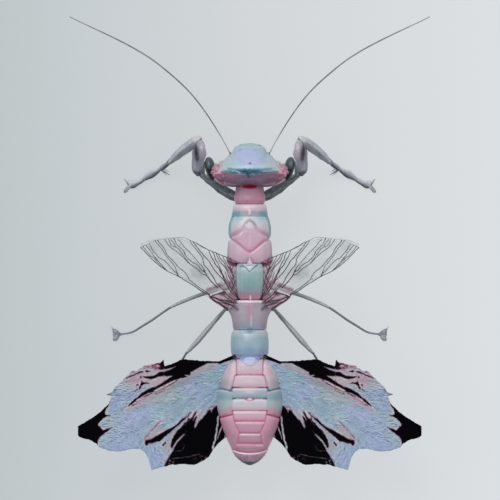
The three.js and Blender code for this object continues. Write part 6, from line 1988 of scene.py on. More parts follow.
VEINS = {  # radius in mm, then plan position and station of the points
    "costa": (0.100, [(108.75, 247.5), (105.25, 250.7), (101.75, 254.7), (98.25, 258.5), (93.25, 263.0), (89.25, 266.3), (85.75, 268.7), (81.75, 271.2), (76.75, 273.7), (71.75, 275.9), (68.25, 278.0), (63.75, 281.0), (59.25, 283.6), (53.75, 287.2), (48.75, 290.6), (44.25, 293.2), (41.15, 294.6), (39.55, 296.8)]),
    "costa_2": (0.070, [(106.35, 246.6), (104.25, 249.4), (101.75, 252.3), (98.25, 256.2), (95.75, 258.2), (92.75, 261.5), (88.75, 265.3), (84.75, 268.6)]),
    "sub_1": (0.075, [(103.55, 245.2), (101.75, 247.5), (99.75, 250.0), (97.25, 253.5), (94.75, 257.0), (93.35, 258.8), (90.75, 262.0), (87.75, 265.0), (85.25, 268.0), (82.75, 270.2), (81.25, 271.4)]),
    "sub_2": (0.080, [(100.45, 244.0), (98.75, 246.3), (97.25, 249.5), (94.75, 252.5), (92.25, 255.5), (90.05, 257.8), (87.25, 259.2), (84.25, 261.5), (81.25, 264.5), (78.75, 267.5), (76.25, 270.3), (74.25, 272.0), (72.55, 273.0), (71.25, 276.0)]),
    "rad_1": (0.075, [(94.45, 240.5), (93.25, 242.7), (90.25, 246.0), (87.75, 249.0), (85.75, 252.0), (84.25, 255.0), (81.75, 258.0), (79.25, 261.0), (76.75, 264.0), (74.75, 267.0), (73.25, 270.0), (72.55, 272.8)]),
    "rad_2": (0.085, [(91.75, 240.3), (90.25, 242.5), (87.75, 245.0), (85.75, 247.5), (84.25, 250.5), (83.25, 253.0), (81.75, 255.5), (79.25, 258.0), (76.75, 260.5), (74.25, 263.5), (71.75, 266.5), (69.25, 268.7), (66.75, 270.2), (64.25, 273.0), (61.75, 276.8), (60.45, 279.3), (57.65, 281.7), (54.35, 284.4), (50.45, 287.4), (47.05, 289.5), (43.25, 292.0), (40.15, 294.6)]),
    "med_1": (0.080, [(84.75, 239.4), (83.25, 242.0), (81.25, 245.0), (78.75, 247.5), (76.25, 249.4), (73.75, 250.6), (71.25, 253.0), (68.75, 255.3), (66.25, 257.5), (63.75, 259.9), (60.95, 263.0), (57.75, 265.4), (54.35, 267.6), (50.95, 270.3), (48.75, 272.8), (46.55, 274.3), (43.25, 275.0)]),
    "med_2": (0.065, [(81.15, 239.0), (79.75, 242.0), (78.25, 244.5), (76.25, 246.3), (74.15, 246.8)]),
    "med_3": (0.075, [(78.75, 239.2), (76.75, 242.0), (74.75, 245.0), (73.75, 247.0), (71.25, 249.0), (69.25, 251.5), (67.25, 254.0), (64.95, 257.3), (62.55, 260.6), (59.75, 263.6)]),
    "med_4": (0.080, [(75.75, 238.2), (74.25, 241.5), (72.25, 245.0), (69.25, 247.7), (66.75, 250.2), (64.75, 253.5), (63.15, 256.8), (60.45, 259.7), (57.65, 262.0), (54.85, 263.3), (52.05, 265.3), (49.85, 267.5), (47.75, 270.2), (45.15, 271.5), (42.95, 274.6)]),
    "med_5": (0.075, [(72.15, 239.6), (68.75, 242.3), (66.75, 245.0), (64.75, 247.5), (61.75, 250.5), (59.35, 252.8), (57.05, 255.0), (54.35, 258.6), (51.55, 261.7), (48.75, 265.0), (46.55, 267.8), (44.85, 271.0)]),
    "trunk_1": (0.095, [(43.25, 275.0), (40.95, 278.3), (38.15, 281.7), (34.85, 285.0), (31.85, 287.6)]),
    "cub_1": (0.080, [(59.55, 240.8), (57.65, 244.4), (55.45, 247.2), (52.65, 250.6), (50.45, 253.3), (48.15, 256.4), (46.55, 260.6), (45.45, 265.0), (43.15, 267.8), (40.95, 270.4), (39.35, 272.8), (37.05, 276.1), (35.15, 280.0), (32.65, 283.9), (30.15, 286.4), (25.95, 290.2), (22.35, 295.0), (18.15, 298.6), (14.35, 302.2)]),
    "cub_2": (0.085, [(57.15, 241.3), (54.85, 244.4), (52.65, 247.2), (49.85, 250.6), (47.05, 253.9), (44.35, 257.2), (41.55, 260.0), (39.35, 263.3), (37.05, 267.2), (34.35, 271.1), (31.55, 274.4), (28.15, 277.8), (25.45, 281.0), (23.15, 284.6), (20.35, 289.4), (16.75, 293.8), (13.15, 296.6)]),
    "an_1": (0.075, [(40.75, 251.4), (39.35, 254.4), (37.65, 258.3), (35.45, 261.7), (33.75, 265.0), (30.95, 268.3), (29.35, 271.2), (27.05, 275.4), (24.85, 280.2), (22.15, 285.4), (19.15, 291.2), (16.15, 294.6), (11.35, 298.4)]),
    "an_2": (0.075, [(37.35, 251.7), (35.45, 255.0), (34.35, 258.9), (32.05, 262.8), (30.45, 266.1), (28.75, 271.0), (26.85, 274.4), (24.75, 278.3), (22.35, 282.4), (19.55, 287.2), (16.55, 291.6), (12.75, 296.2)]),
    "an_3": (0.070, [(33.75, 253.2), (32.05, 257.2), (30.45, 260.6), (27.65, 263.9), (24.85, 267.2), (22.65, 271.1), (21.35, 274.8), (19.55, 279.0), (17.45, 283.6), (15.95, 289.0), (13.55, 295.0)]),
    "an_4": (0.065, [(31.35, 254.2), (29.15, 258.3), (25.95, 262.2), (23.75, 267.0), (20.95, 271.6), (18.75, 276.8), (17.15, 281.8), (14.95, 287.8), (11.75, 293.6)]),
    "an_5": (0.060, [(27.35, 255.8), (25.15, 260.0), (22.95, 264.6), (20.15, 269.4), (17.75, 274.2), (15.95, 279.2), (14.15, 285.4), (11.75, 291.0), (9.75, 296.4)]),
    "an_6": (0.060, [(23.75, 257.2), (21.35, 262.4), (18.75, 268.4), (16.75, 273.0)]),
    "an_7": (0.060, [(20.35, 281.2), (18.15, 285.8), (15.55, 290.2), (11.15, 296.8)]),
    "an_8": (0.055, [(21.75, 266.0), (18.15, 271.8), (15.35, 277.4)]),
    "an_9": (0.050, [(24.8, 272.6), (24.2, 274.0), (22.4, 279.2), (20.0, 284.8), (17.2, 290.0), (13.4, 295.4)]),
    "an_10": (0.055, [(20.8, 266.4), (18.2, 271.4), (16.4, 276.8), (14.8, 282.6), (12.6, 288.6)]),
    "an_11": (0.050, [(27.2, 275.8), (25.8, 279.0), (23.4, 283.6), (20.6, 289.0), (17.4, 293.2)]),
    "an_12": (0.055, [(27.0, 290.5), (23.8, 294.0), (19.0, 297.4), (14.6, 300.0)]),
    "an_13": (0.050, [(30.4, 283.4), (27.0, 287.2), (22.4, 291.8), (17.4, 296.6), (13.4, 299.6)]),
    "root_3": (0.070, [(33.0, 298.2), (27.4, 299.6), (21.4, 300.6), (15.0, 303.2)]),
    "root_4": (0.060, [(31.0, 301.6), (25.6, 303.6), (20.4, 304.6), (15.6, 306.8)]),
    "front": (0.070, [(74.15, 237.9), (69.75, 237.3), (65.75, 237.4), (61.75, 239.2), (57.35, 241.2), (53.15, 243.3), (49.85, 245.4), (46.55, 247.2), (41.55, 249.8), (38.75, 251.0), (33.75, 252.9), (29.35, 254.7), (24.85, 256.5), (20.45, 258.1), (16.55, 259.5), (12.65, 261.2)]),
    "margin": (0.050, [(108.75, 247.5), (106.55, 246.2), (103.25, 244.9), (99.75, 243.4), (94.25, 240.4), (89.75, 239.8), (84.75, 239.2), (79.75, 238.4), (75.35, 237.9)]),
    "edge_dark": (0.170, [(39.95, 296.8), (37.05, 299.4), (33.75, 301.7), (29.35, 304.0), (25.95, 306.6), (22.15, 309.0)]),
    "edge_2": (0.120, [(39.35, 297.0), (35.45, 297.4), (32.05, 299.0), (28.75, 300.7), (25.95, 302.2), (21.55, 303.9), (17.35, 305.6)]),
    "cell_line": (0.120, [(39.85, 296.9), (36.75, 295.4), (33.15, 294.2), (28.15, 292.9), (24.85, 291.6)]),
    "root_1": (0.080, [(36.15, 296.6), (30.75, 299.2), (24.75, 301.0), (18.75, 302.6), (13.95, 304.0)]),
    "root_2": (0.070, [(27.35, 293.4), (23.75, 297.4), (18.75, 300.6), (14.75, 303.4)]),
}


vein_soup = Soup()
vein_lines = []
DARK_ENDS = [(74.6, 238.4), (107, 247.0), (84, 268.6), (72.6, 273.2), (71, 276.0), (64.9, 253.7), (93.6, 258.6), (45.2, 271.4), (29.2, 271.4), (91.6, 240.8)]
for key, (rad_mm, pts2) in VEINS.items():
    q = np.array(pts2, float)
    q = np.stack([q[:, 0], q[:, 1], np.zeros(len(q))], -1)
    n = max(24, 7 * len(q))
    q = crom(q, np.linspace(0, 1, n))
    seed = len(key) * 7 + int(abs(pts2[0][0]) * 3)
    q[:, 0] += (vnoise(q[:, 0] * 0.45, q[:, 1] * 0.45, seed=seed) - 0.5) * 0.35
    z = fore_z(q[:, 0], q[:, 1])
    near = smooth(70, 26, q[:, 0])  # 1 at the root
    path = np.stack([q[:, 0] * UNIT, (DATUM - q[:, 1]) * UNIT, z + 0.02], -1)
    knot = sum(gauss(np.hypot(q[:, 0] - kx, q[:, 1] - ks), 1.1) for kx, ks in DARK_ENDS)
    r = rad_mm * (0.86 + 0.22 * near) * (0.86 + 0.34 * vnoise(q[:, 0] * 0.8, q[:, 1] * 0.8, seed=seed + 3)) * (1 + 0.5 * np.clip(knot, 0, 1))
    col = mix((86, 92, 96), (64, 64, 72), smooth(0.2, 0.75, near))
    col = mix(col, (98, 54, 72), smooth(0.35, 0.85, near) * smooth(263, 275, q[:, 1]))
    col = mix(col, (120, 126, 130), 0.5 * smooth(0.35, 0.7, vnoise(q[:, 0] * 0.5, q[:, 1] * 0.5, seed=seed + 5)) * (1 - near))
    if key[:3] == "an_":
        col = mix(col, (112, 66, 84), smooth(32, 20, q[:, 0]) * smooth(258, 270, q[:, 1]) * 0.8)
    col = mix(col, (46, 46, 54), (0.45 if key[:3] == "an_" else 1.0) * smooth(0.5, 0.8, near) * smooth(0.4, 0.75, vnoise(q[:, 0] * 0.4, q[:, 1] * 0.4, seed=seed + 9)))
    col = mix(col, (40, 44, 48), np.clip(knot, 0, 1) * 0.8)
    if key in ("edge_dark", "edge_2", "cell_line"):
        t_ = np.linspace(0, 1, len(q))
        col = mix((84, 24, 44), (44, 30, 42), smooth(0.45, 0.9, t_))
    if key in ("front", "margin"):
        faint = smooth(52, 60, q[:, 0])
        col = mix(col, (150, 158, 160), faint * 0.7)
        r = r * (1 - 0.35 * faint) * (1 + 0.5 * smooth(55, 51, q[:, 0]) * smooth(42, 45, q[:, 0]))
    tube(path, r, 6, col, vein_soup)
    if key not in ("edge_dark", "edge_2", "cell_line", "root_1", "root_2", "root_3", "root_4"):
        vein_lines.append(q)
# fine cross-veins between neighbours
allp = np.vstack(vein_lines)
owner = np.concatenate([np.full(len(q), i) for i, q in enumerate(vein_lines)])
for i, q in enumerate(vein_lines):
    arc = np.concatenate([[0], np.cumsum(np.linalg.norm(np.diff(q, axis=0), axis=1))])
    for d0 in np.arange(1.5, arc[-1], 2.1):
        k = int(np.searchsorted(arc, d0 + rng.uniform(-0.6, 0.6)))
        if k >= len(q) or q[k, 0] < 43:
            continue
        diff = allp[:, :2] - q[k, :2]
        dist = np.hypot(diff[:, 0], diff[:, 1])
        ok = (owner != i) & (dist > 1.2) & (dist < 8.0)
        if not ok.any():
            continue
        j = np.where(ok)[0][np.argmin(dist[ok])]
        a0, b0 = q[k, :2], allp[j, :2]
        m_ = (a0 + b0) / 2 + rng.normal(0, 0.35, 2)
        line = np.array([a0, m_, b0])
        z = fore_z(line[:, 0], line[:, 1])
        path = np.stack([line[:, 0] * UNIT, (DATUM - line[:, 1]) * UNIT, z + 0.01], -1)
        tube(path, 0.02, 5, (134, 138, 142), vein_soup, round_ends=False)
pair("forewing_veins", vein_soup, MAT_VEIN, "clear_wing")

# membrane, clear, tinted maroon at its root
relief = 0.035 * (fbm(wx / 2.2, ws / 2.2, seed=111) - 0.5) + 0.02 * (vnoise(wx / 5, ws / 5, seed=112) - 0.5)
topg = np.stack([wx * UNIT, (DATUM - ws) * UNIT, wz + 0.02 + relief], -1)
lowg = np.stack([wx * UNIT, (DATUM - ws) * UNIT, wz - 0.02 + relief], -1)
MC = mix((168, 176, 176), (158, 152, 158), smooth(50, 25, wx))
base_cell = poly_sdf(wx, ws, [(39.8, 296.8), (25.0, 291.6), (16, 297.0), (11, 301), (18, 306.5), (26, 309.6)])
patch = poly_sdf(wx, ws, [(22.4, 257.6), (10.0, 261.8), (13.4, 266.4), (19.4, 265.6), (22, 263)])
cloud = fbm(wx / 4, ws / 4, seed=113)
smudge = poly_sdf(wx, ws, [(42.4, 289.4), (38.2, 288.0), (33.0, 285.8), (28.6, 283.4)], closed=False) / 2.0 + 1.1 * (cloud - 0.5)
streak = vnoise((wx * 0.62 + ws * 0.78) / 1.3, (wx * 0.78 - ws * 0.62) / 7.0, seed=114)
alpha = 0.15 + 0.14 * (cloud - 0.5) + 0.14 * (streak - 0.5)
alpha = alpha + 0.22 * gauss(np.hypot((wx - 50) / 9, (ws - 273) / 7), 0.8)
alpha = alpha + 0.10 * gauss(np.hypot((wx - 96) / 6, (ws - 247) / 5), 0.8)
alpha = alpha + 0.36 * smooth(27, 18, wx) + 0.12 * smooth(0.6, 0.8, streak) * smooth(44, 26, wx)
alpha = alpha + 0.34 * smooth(1.0, -1.0, base_cell)
alpha = np.maximum(alpha, 0.74 * smooth(1.2, -1.2, patch))
alpha = alpha + 0.26 * smooth(1.3, 0.3, smudge)
MC = mix(MC, (150, 158, 160), gauss(np.hypot((wx - 50) / 9, (ws - 273) / 7), 0.8))
MC = mix(MC, (166, 134, 148), smooth(1.5, -1.0, base_cell) * 0.9)
MC = mix(MC, (98, 44, 70), smooth(1.4, 0.4, np.hypot((wx - 27) / 3.6, (ws - 293.6) / 2.2)))
MC = mix(MC, (108, 50, 74), smooth(1.5, -1.0, patch))
MC = mix(MC, mix((150, 122, 134), (132, 88, 104), smooth(0.42, 0.62, streak)), smooth(1.3, 0.3, smudge))
milk = smooth(27, 17, wx) * smooth(300, 284, ws)
MC = mix(MC, mix((216, 210, 215), (186, 164, 178), smooth(0.4, 0.62, streak)), milk * smooth(1.0, -1.0, -patch))
MC = mix(MC, (112, 66, 86), smooth(0.66, 0.80, vnoise((wx * 0.86 - ws * 0.42) * 1.1 + 5, ws * 0.06 + 3, seed=116)) * smooth(32, 22, wx) * 0.6)
alpha = np.where(np.hypot((wx - 27) / 3.6, (ws - 293.6) / 2.2) < 1, np.maximum(alpha, 0.72), alpha)
cell = poly_sdf(wx, ws, [(40.6, 295.6), (33, 291.4), (26.4, 286.6), (24.6, 290.2), (33, 293.4), (38.4, 296.6)])
MC = mix(MC, (206, 216, 214), smooth(0.8, -0.8, cell))
alpha = np.where(cell < 0.4, 0.46, alpha)
over = gauss(poly_sdf(wx, ws, [(43.4, 291.2), (36.0, 289.4), (28.6, 286.6), (23.5, 285.4)], closed=False), 2.6) * smooth(45.5, 42.0, wx)
MC = mix(MC, mix((188, 184, 190), (206, 210, 212), smooth(0.4, 0.6, streak)), over * 0.55 * smooth(0.0, 1.0, smudge - 0.6))
alpha = np.maximum(alpha, 0.80 * over)
tail_ = gauss(np.hypot((wx - 17.6) / 3.2, (ws - 299.0) / 4.0), 0.9)
MC = mix(MC, (176, 140, 154), tail_ * 0.7)
alpha = np.maximum(alpha, 0.7 * tail_)
alpha = np.clip(alpha, 0.04, 0.92)
v, Q = sheet(topg, lowg)
soup = Soup().add(v, Q, None, np.vstack([MC.reshape(-1, 3)] * 2), np.concatenate([alpha.ravel()] * 2))
pair("forewing_membrane", soup, MAT_MEMBRANE, "clear_wing", ["forewing"])

# hinge plates where the wings meet the thorax
soup = Soup()
for x, st, z, rx, ry, rz, c in (
    (15.2, 300.6, 12.7, 0.75, 0.95, 0.5, (96, 60, 76)),
    (18.0, 304.4, 12.7, 0.9, 0.6, 0.45, (120, 84, 98)),
    (14.6, 295.4, 12.7, 0.5, 0.9, 0.5, (120, 92, 106)),
    (15.0, 266.2, 12.75, 0.55, 0.8, 0.4, (96, 62, 78)),
    (15.6, 357.2, 12.9, 0.42, 0.28, 0.26, (14, 8, 14)),
):
    blob(soup, place(x, st, z), (rx, ry, rz), c, bump=lambda v: 0.08 * (vnoise(v[:, 0] * 3 + 5, v[:, 1] * 3, v[:, 2] * 3, seed=9) - 0.5))
pair("wing_hinges", soup, MAT_VEIN, "clear_wing")

# ---------------------------------------------------------------- hind wings
HINGE_X, HINGE_S, HINGE_Z = 14.5, 357, 12.9
HIND_LEAD = np.array([
    (14.5, 354.2), (21.8, 357.3), (25.8, 359.1), (29.8, 360.9), (33.8, 361.0), (37.8, 360.9), (45, 360.9), (54, 359.9), (62, 359.1), (67.8, 358.9), (77.8, 363.5), (84.9, 365.9),
    (86.0, 359.4), (88.4, 361.8), (91.4, 362.4), (96.8, 363.9), (104.9, 364.8), (107.2, 366.7), (113.8, 371.4), (117.6, 371.6), (121.8, 375.3), (129.4, 382.0), (133.8, 386.8),
    (136.8, 390.6), (138.4, 397.2), (140.8, 403.1), (148, 410.6), (156.4, 416.8), (166.4, 423.2), (170.6, 424.6), (171.6, 425.2),
])
HIND_TRAIL = np.array([
    (14.5, 359.8), (24, 437.3), (30.4, 442.3), (34.0, 446.0), (37.4, 450.8), (40.6, 456.2), (46.0, 460.0), (55, 464.7), (60, 463.8), (76.8, 464.2), (85.4, 466.2),
    (98.2, 469.5), (101.6, 457.0), (104.8, 451.5), (109.8, 448.4), (118.4, 448.2), (129.2, 451.0), (140, 450.4),
    (150.4, 446.6), (153, 443.6), (158.0, 440.0), (165.0, 438.2), (170.4, 436.4), (171.6, 434.8),
])
nx_, nc_ = 380, 230
xs = np.linspace(14.5, 171.6, nx_)
lead = np.interp(xs, HIND_LEAD[:, 0], HIND_LEAD[:, 1])
trail = np.interp(xs, HIND_TRAIL[:, 0], HIND_TRAIL[:, 1])
rag = smooth(18, 40, xs)
lead = lead + rag * (fbm(xs / 2.2, xs * 0, seed=121) * 1.1 - 0.45)
trail = trail - rag * (fbm(xs / 2.6, xs * 0 + 5, seed=122) * 1.3 - 1.0)
tip_round = smooth(171.6, 168.0, xs)
mid_tip = (lead + trail) / 2
lead = mid_tip + (lead - mid_tip) * (0.90 + 0.10 * tip_round)
trail = mid_tip + (trail - mid_tip) * (0.90 + 0.10 * tip_round)
cc = np.linspace(0, 1, nc_)
WX = np.repeat(xs[:, None], nc_, 1)
WS = lead[:, None] * (1 - cc[None]) + trail[:, None] * cc[None]
dx, dy = (WX - HINGE_X) * UNIT, (WS - HINGE_S) * UNIT
RR = np.hypot(dx, dy)
TH = np.arctan2(np.maximum(dy, 0), np.maximum(dx, 1e-6))
WZ = HINGE_Z + 1.5 * np.cos(TH) * np.sin(np.pi * np.minimum(RR, 38) / 40) - 2.3 * np.sin(TH) ** 2 * smooth(0, 7, RR)

# lie of the fibres: fanned from the hinge, level in the middle, upright at the hind margin
THp = np.arctan2(WS - 357, np.maximum(WX - 14.5, 1e-3))
LIE = [  # place, radii, angle from the outward axis, strength
    (62, 392, 20, 8, 0.16, 0.85),
    (108, 441, 13, 7, 1.45, 0.9),
    (146, 436, 8, 8, 0.12, 0.9),
    (132, 422, 9, 7, -0.25, 0.6),
    (92, 457, 8, 10, 2.3, 0.8),
    (118, 388, 10, 5, 0.3, 0.8),
    (104, 405, 9, 5, 0.1, 0.7),
]


def lie_at(x, s_):
    """Direction of the fibres at a plan position."""
    c, d = np.cos(2 * np.arctan2(s_ - 357, np.maximum(x - 14.5, 1e-3))), np.sin(2 * np.arctan2(s_ - 357, np.maximum(x - 14.5, 1e-3)))
    for lx, ls, ra, rb_, ang, wt in LIE:
        w = wt * np.exp(-0.5 * (((x - lx) / ra) ** 2 + ((s_ - ls) / rb_) ** 2))
        c, d = c * (1 - w) + np.cos(2 * ang) * w, d * (1 - w) + np.sin(2 * ang) * w
    turn = (fbm(x / 11, s_ / 11, seed=131) - 0.5) * 1.6 + (fbm(x / 4.0, s_ / 4.0, seed=132) - 0.5) * 0.9
    return 0.5 * np.arctan2(d, c) + turn


phi = lie_at(WX, WS)


def along(seed, step=0.8, n=3, w=0.95):
    """Noise drawn out along the lie of the fibres."""
    tot = 0.0
    for k in range(-n, n + 1):
        tot = tot + vnoise((WX + k * step * np.cos(phi)) / w, (WS + k * step * np.sin(phi)) / w, seed=seed)
    return tot / (2 * n + 1)


def strokes(count, seed, length, width):
    """Raised strokes laid down along the fibres, each a short bent ridge."""
    r = np.random.default_rng(seed)
    H = np.zeros(WX.shape)
    sx = r.uniform(xs[0], xs[-1], count)
    ss = np.interp(sx, xs, lead) + r.random(count) * (np.interp(sx, xs, trail) - np.interp(sx, xs, lead))
    keep = r.random(count) < (np.interp(sx, xs, trail) - np.interp(sx, xs, lead)) / 108
    ang = lie_at(sx, ss) + r.normal(0, 0.16, count)
    L = length * (0.6 + 0.9 * r.random(count))
    W = width * (0.75 + 0.55 * r.random(count))
    K = r.normal(0, 0.05, count)
    amp = r.uniform(0.5, 1.0, count)
    dx_grid = xs[1] - xs[0]
    for x0, s0, an, l_, w_, k_, am in zip(sx[keep], ss[keep], ang[keep], L[keep], W[keep], K[keep], amp[keep]):
        i0, i1 = int(max(0, (x0 - l_ - 2 - xs[0]) / dx_grid)), int(min(nx_, (x0 + l_ + 2 - xs[0]) / dx_grid + 1))
        a0, b0 = np.interp(x0, xs, lead), np.interp(x0, xs, trail)
        span = max(b0 - a0, 1.0)
        j0 = int(max(0, ((s0 - l_ - 6 - a0) / span) * nc_))
        j1 = int(min(nc_, ((s0 + l_ + 6 - a0) / span) * nc_ + 1))
        X_, S_ = WX[i0:i1, j0:j1] - x0, WS[i0:i1, j0:j1] - s0
        u = X_ * math.cos(an) + S_ * math.sin(an)
        v_ = -X_ * math.sin(an) + S_ * math.cos(an) - k_ * u * u
        H[i0:i1, j0:j1] = np.maximum(H[i0:i1, j0:j1], am * np.exp(-((v_ / w_) ** 2)) * np.clip(1.15 - np.abs(u) / l_, 0, 1) ** 0.6)
    return H


fib = np.clip((along(141, 0.8, 3, 1.05) - 0.5) * 4.2, -1, 1)
fib2 = np.clip((along(142, 1.3, 3, 1.9) - 0.5) * 3.6, -1, 1)
ridge_a = strokes(4600, 1401, 2.6, 0.78)
ridge_b = strokes(1900, 1402, 4.4, 1.0)
ridge = np.maximum(ridge_a, ridge_b * 0.9) - 0.42
# the slope of the strokes, light where it faces the light and dark where it faces away: painted light and shade
dS, dX = np.gradient(ridge, axis=1) * nc_ / np.maximum(trail - lead, 2)[:, None], np.gradient(ridge, axis=0) / (xs[1] - xs[0])
stroke_light_and_shade = np.clip((dS * 0.75 + dX * 0.45) * 1.1, -1, 1)
ripple = fbm(WX / 2.0 + 3, WS / 2.0, seed=143)
jag = (fbm(WX / 2.2, WS / 2.2, seed=151) - 0.5) * 1.5 + fib * 0.34 + ridge * 0.2

LAV = (156, 168, 200)
BLUE = (146, 166, 188)
TEALW = (136, 166, 176)
BLACK = [  # dark patches of the wing: plan position and station
    # strip along the root
    [(38.0, 359.5), (33.8, 359.3), (25.8, 357.0), (18.8, 354.6), (14.0, 352.5), (13.0, 358.4), (17.0, 359.4), (20.2, 360.3), (23.6, 361.4), (26.4, 362.4), (29.8, 363.4), (33.0, 362.8), (38.0, 362.0)],
    # leading wedge and its fingers
    [(11.8, 353.5), (18.8, 355.2), (25.8, 357.6), (33.8, 359.6), (37.8, 360.4), (41.8, 360.3), (48.8, 360.0), (55.1, 358.5), (63.8, 357.5), (68.1, 357.5), (71.1, 359.8), (75.1, 362.0), (80.4, 363.8), (84.3, 365.4), (85.4, 365.2), (85.9, 362.0), (85.3, 359.0), (88.3, 360.4), (89.2, 363.4), (92.6, 363.2), (92.2, 364.4), (89.9, 364.8), (89.8, 366.6), (91.2, 368.5), (88.4, 369.3), (83.1, 368.8), (79.1, 368.1), (73.8, 366.2), (76.4, 367.8), (80.4, 369.8), (84.4, 371.1), (89.8, 372.1), (92.4, 373.4), (95.8, 375.4), (99.8, 376.1), (103.8, 376.2), (106.2, 376.2), (105.8, 377.4), (101.8, 378.0), (98.4, 378.9), (95.1, 378.2), (91.8, 376.5), (87.1, 375.7), (81.8, 376.0), (76.4, 375.3), (79.1, 377.2), (82.4, 379.2), (86.4, 382.0), (90.4, 384.6), (93.8, 386.8), (97.1, 387.2), (101.8, 389.2), (106.4, 391.9), (110.4, 394.6), (114.4, 398.2), (117.8, 401.2), (120.8, 404.6), (121.8, 406.6), (120.2, 405.6), (117.8, 404.0), (115.1, 401.9), (111.8, 399.4), (108.4, 397.4), (105.1, 394.8), (101.8, 392.9), (98.8, 392.3), (95.3, 391.6), (96.2, 390.6), (93.8, 389.0), (89.1, 386.6), (85.8, 385.2), (82.4, 383.4), (79.1, 381.4), (75.8, 380.2), (72.4, 379.2), (69.1, 377.9), (65.8, 377.5), (62.3, 376.5), (64.3, 375.8), (64.8, 374.6), (62.8, 374.8), (60.2, 375.0), (58.8, 373.2), (59.2, 372.0), (55.1, 369.9), (51.1, 367.8), (46.4, 365.2), (42.4, 363.2), (37.8, 363.0), (31.8, 361.8), (23.8, 360.0), (14.8, 358.4), (11.8, 357.5)],
    # torn star
    [(107.4, 380.4), (106.8, 382.0), (104.3, 382.2), (102.8, 382.0), (99.6, 383.4), (103.2, 383.3), (105.8, 384.0), (107.3, 385.0), (108.3, 386.2), (109.2, 388.6), (110.4, 389.0), (110.7, 387.4), (109.2, 386.0), (109.3, 384.6), (108.4, 382.6)],
    # spot by the star
    [(109.4, 376.4), (107.9, 376.2), (108.6, 378.0), (109.2, 378.0)],
    # second spot
    [(112.9, 384.9), (111.3, 383.9), (111.2, 384.7), (112.6, 385.6)],
    # dash
    [(104.1, 370.8), (102.6, 370.0), (100.8, 370.8), (99.2, 371.0), (100.8, 371.9), (102.8, 372.0)],
    # wing tip
    [(140.4, 402.0), (140.8, 404.6), (141.2, 406.0), (143.4, 408.7), (144.6, 411.4), (144.2, 414.2), (141.6, 415.4), (139.6, 415.2), (144.2, 416.7), (146.2, 418.1), (149.2, 420.9), (151.8, 424.0), (151.1, 426.0), (149.6, 426.3), (148.1, 428.8), (146.2, 430.2), (143.3, 428.9), (137.3, 427.1), (141.8, 430.9), (146.2, 433.8), (149.8, 436.6), (151.6, 440.0), (152.2, 446.0), (159.8, 446.0), (173.8, 442.0), (175.8, 424.0), (170.8, 421.0), (159.8, 416.0), (149.8, 408.4), (143.8, 401.0)],
    # broad inner patch
    [(32.3, 405.6), (34.2, 406.6), (35.9, 408.4), (37.6, 410.4), (38.2, 412.8), (38.8, 411.0), (39.4, 409.6), (42.2, 411.6), (44.3, 414.6), (47.1, 418.0), (50.7, 421.5), (52.8, 425.2), (54.9, 428.4), (55.3, 425.7), (54.6, 422.1), (53.6, 418.6), (52.7, 415.7), (54.2, 417.4), (53.3, 411.8), (54.6, 413.8), (56.8, 416.6), (59.8, 418.8), (61.6, 417.8), (62.3, 420.6), (65.4, 423.0), (68.3, 427.2), (71.8, 430.8), (74.1, 434.4), (76.8, 438.7), (78.4, 443.0), (78.8, 446.5), (77.7, 447.6), (75.4, 444.2), (72.3, 440.0), (69.2, 436.8), (65.9, 434.2), (65.2, 434.6), (68.9, 438.6), (72.3, 442.4), (74.6, 446.6), (76.7, 450.9), (79.6, 455.2), (81.7, 458.8), (84.6, 463.6), (85.6, 467.5), (74.8, 472.0), (49.8, 472.0), (35.8, 458.0), (23.8, 446.0), (19.8, 436.0), (23.8, 424.0), (29.8, 412.0)],
    # curved streak
    [(104.4, 440.4), (104.6, 443.0), (103.8, 444.8), (102.2, 445.2), (101.3, 443.8), (97.7, 443.0), (93.3, 441.6), (89.8, 440.9), (86.8, 438.0), (83.3, 435.1), (79.8, 432.2), (76.8, 429.4), (74.1, 427.2), (69.8, 423.7), (65.4, 419.4), (62.4, 416.0), (64.8, 417.6), (67.1, 418.4), (70.7, 422.2), (74.2, 425.5), (77.8, 427.6), (81.3, 429.4), (84.8, 430.8), (88.4, 433.0), (92.8, 435.8), (96.9, 438.0), (100.4, 439.4), (102.8, 439.9)],
    # small blot
    [(84.3, 441.8), (83.8, 442.8), (85.2, 444.6), (86.3, 446.0), (87.1, 445.4), (86.3, 443.6)],
]
THIN = [  # thin dark lines: half width, points
    (0.45, [(122.8, 377.6), (119.8, 376.4), (116.4, 375.2), (113.1, 373.5), (109.8, 372.1), (106.8, 371.4)]),
    (0.30, [(114.6, 391.0), (113.3, 389.6), (111.8, 388.8)]),
    (0.25, [(61.8, 416.6), (60.6, 413.8), (59.3, 412.0)]),
    (0.30, [(57.8, 418.0), (55.9, 414.8), (54.2, 412.0)]),
    (0.20, [(72.8, 380.2), (77.8, 383.6), (83.8, 386.8), (88.8, 389.6), (93.8, 391.8)]),
    (0.16, [(100.8, 394.6), (106.8, 398.6), (112.8, 402.6), (117.8, 405.8)]),
    (0.14, [(84.8, 390.0), (89.8, 392.2), (94.8, 394.0)]),
    (0.30, [(97.0, 393.0), (100.4, 393.8), (103.9, 395.4), (107.4, 397.8), (111.0, 400.4)]),
    (0.35, [(30.8, 420.0), (28.2, 424.4), (29.2, 430.0), (30.2, 436.0)]),
]
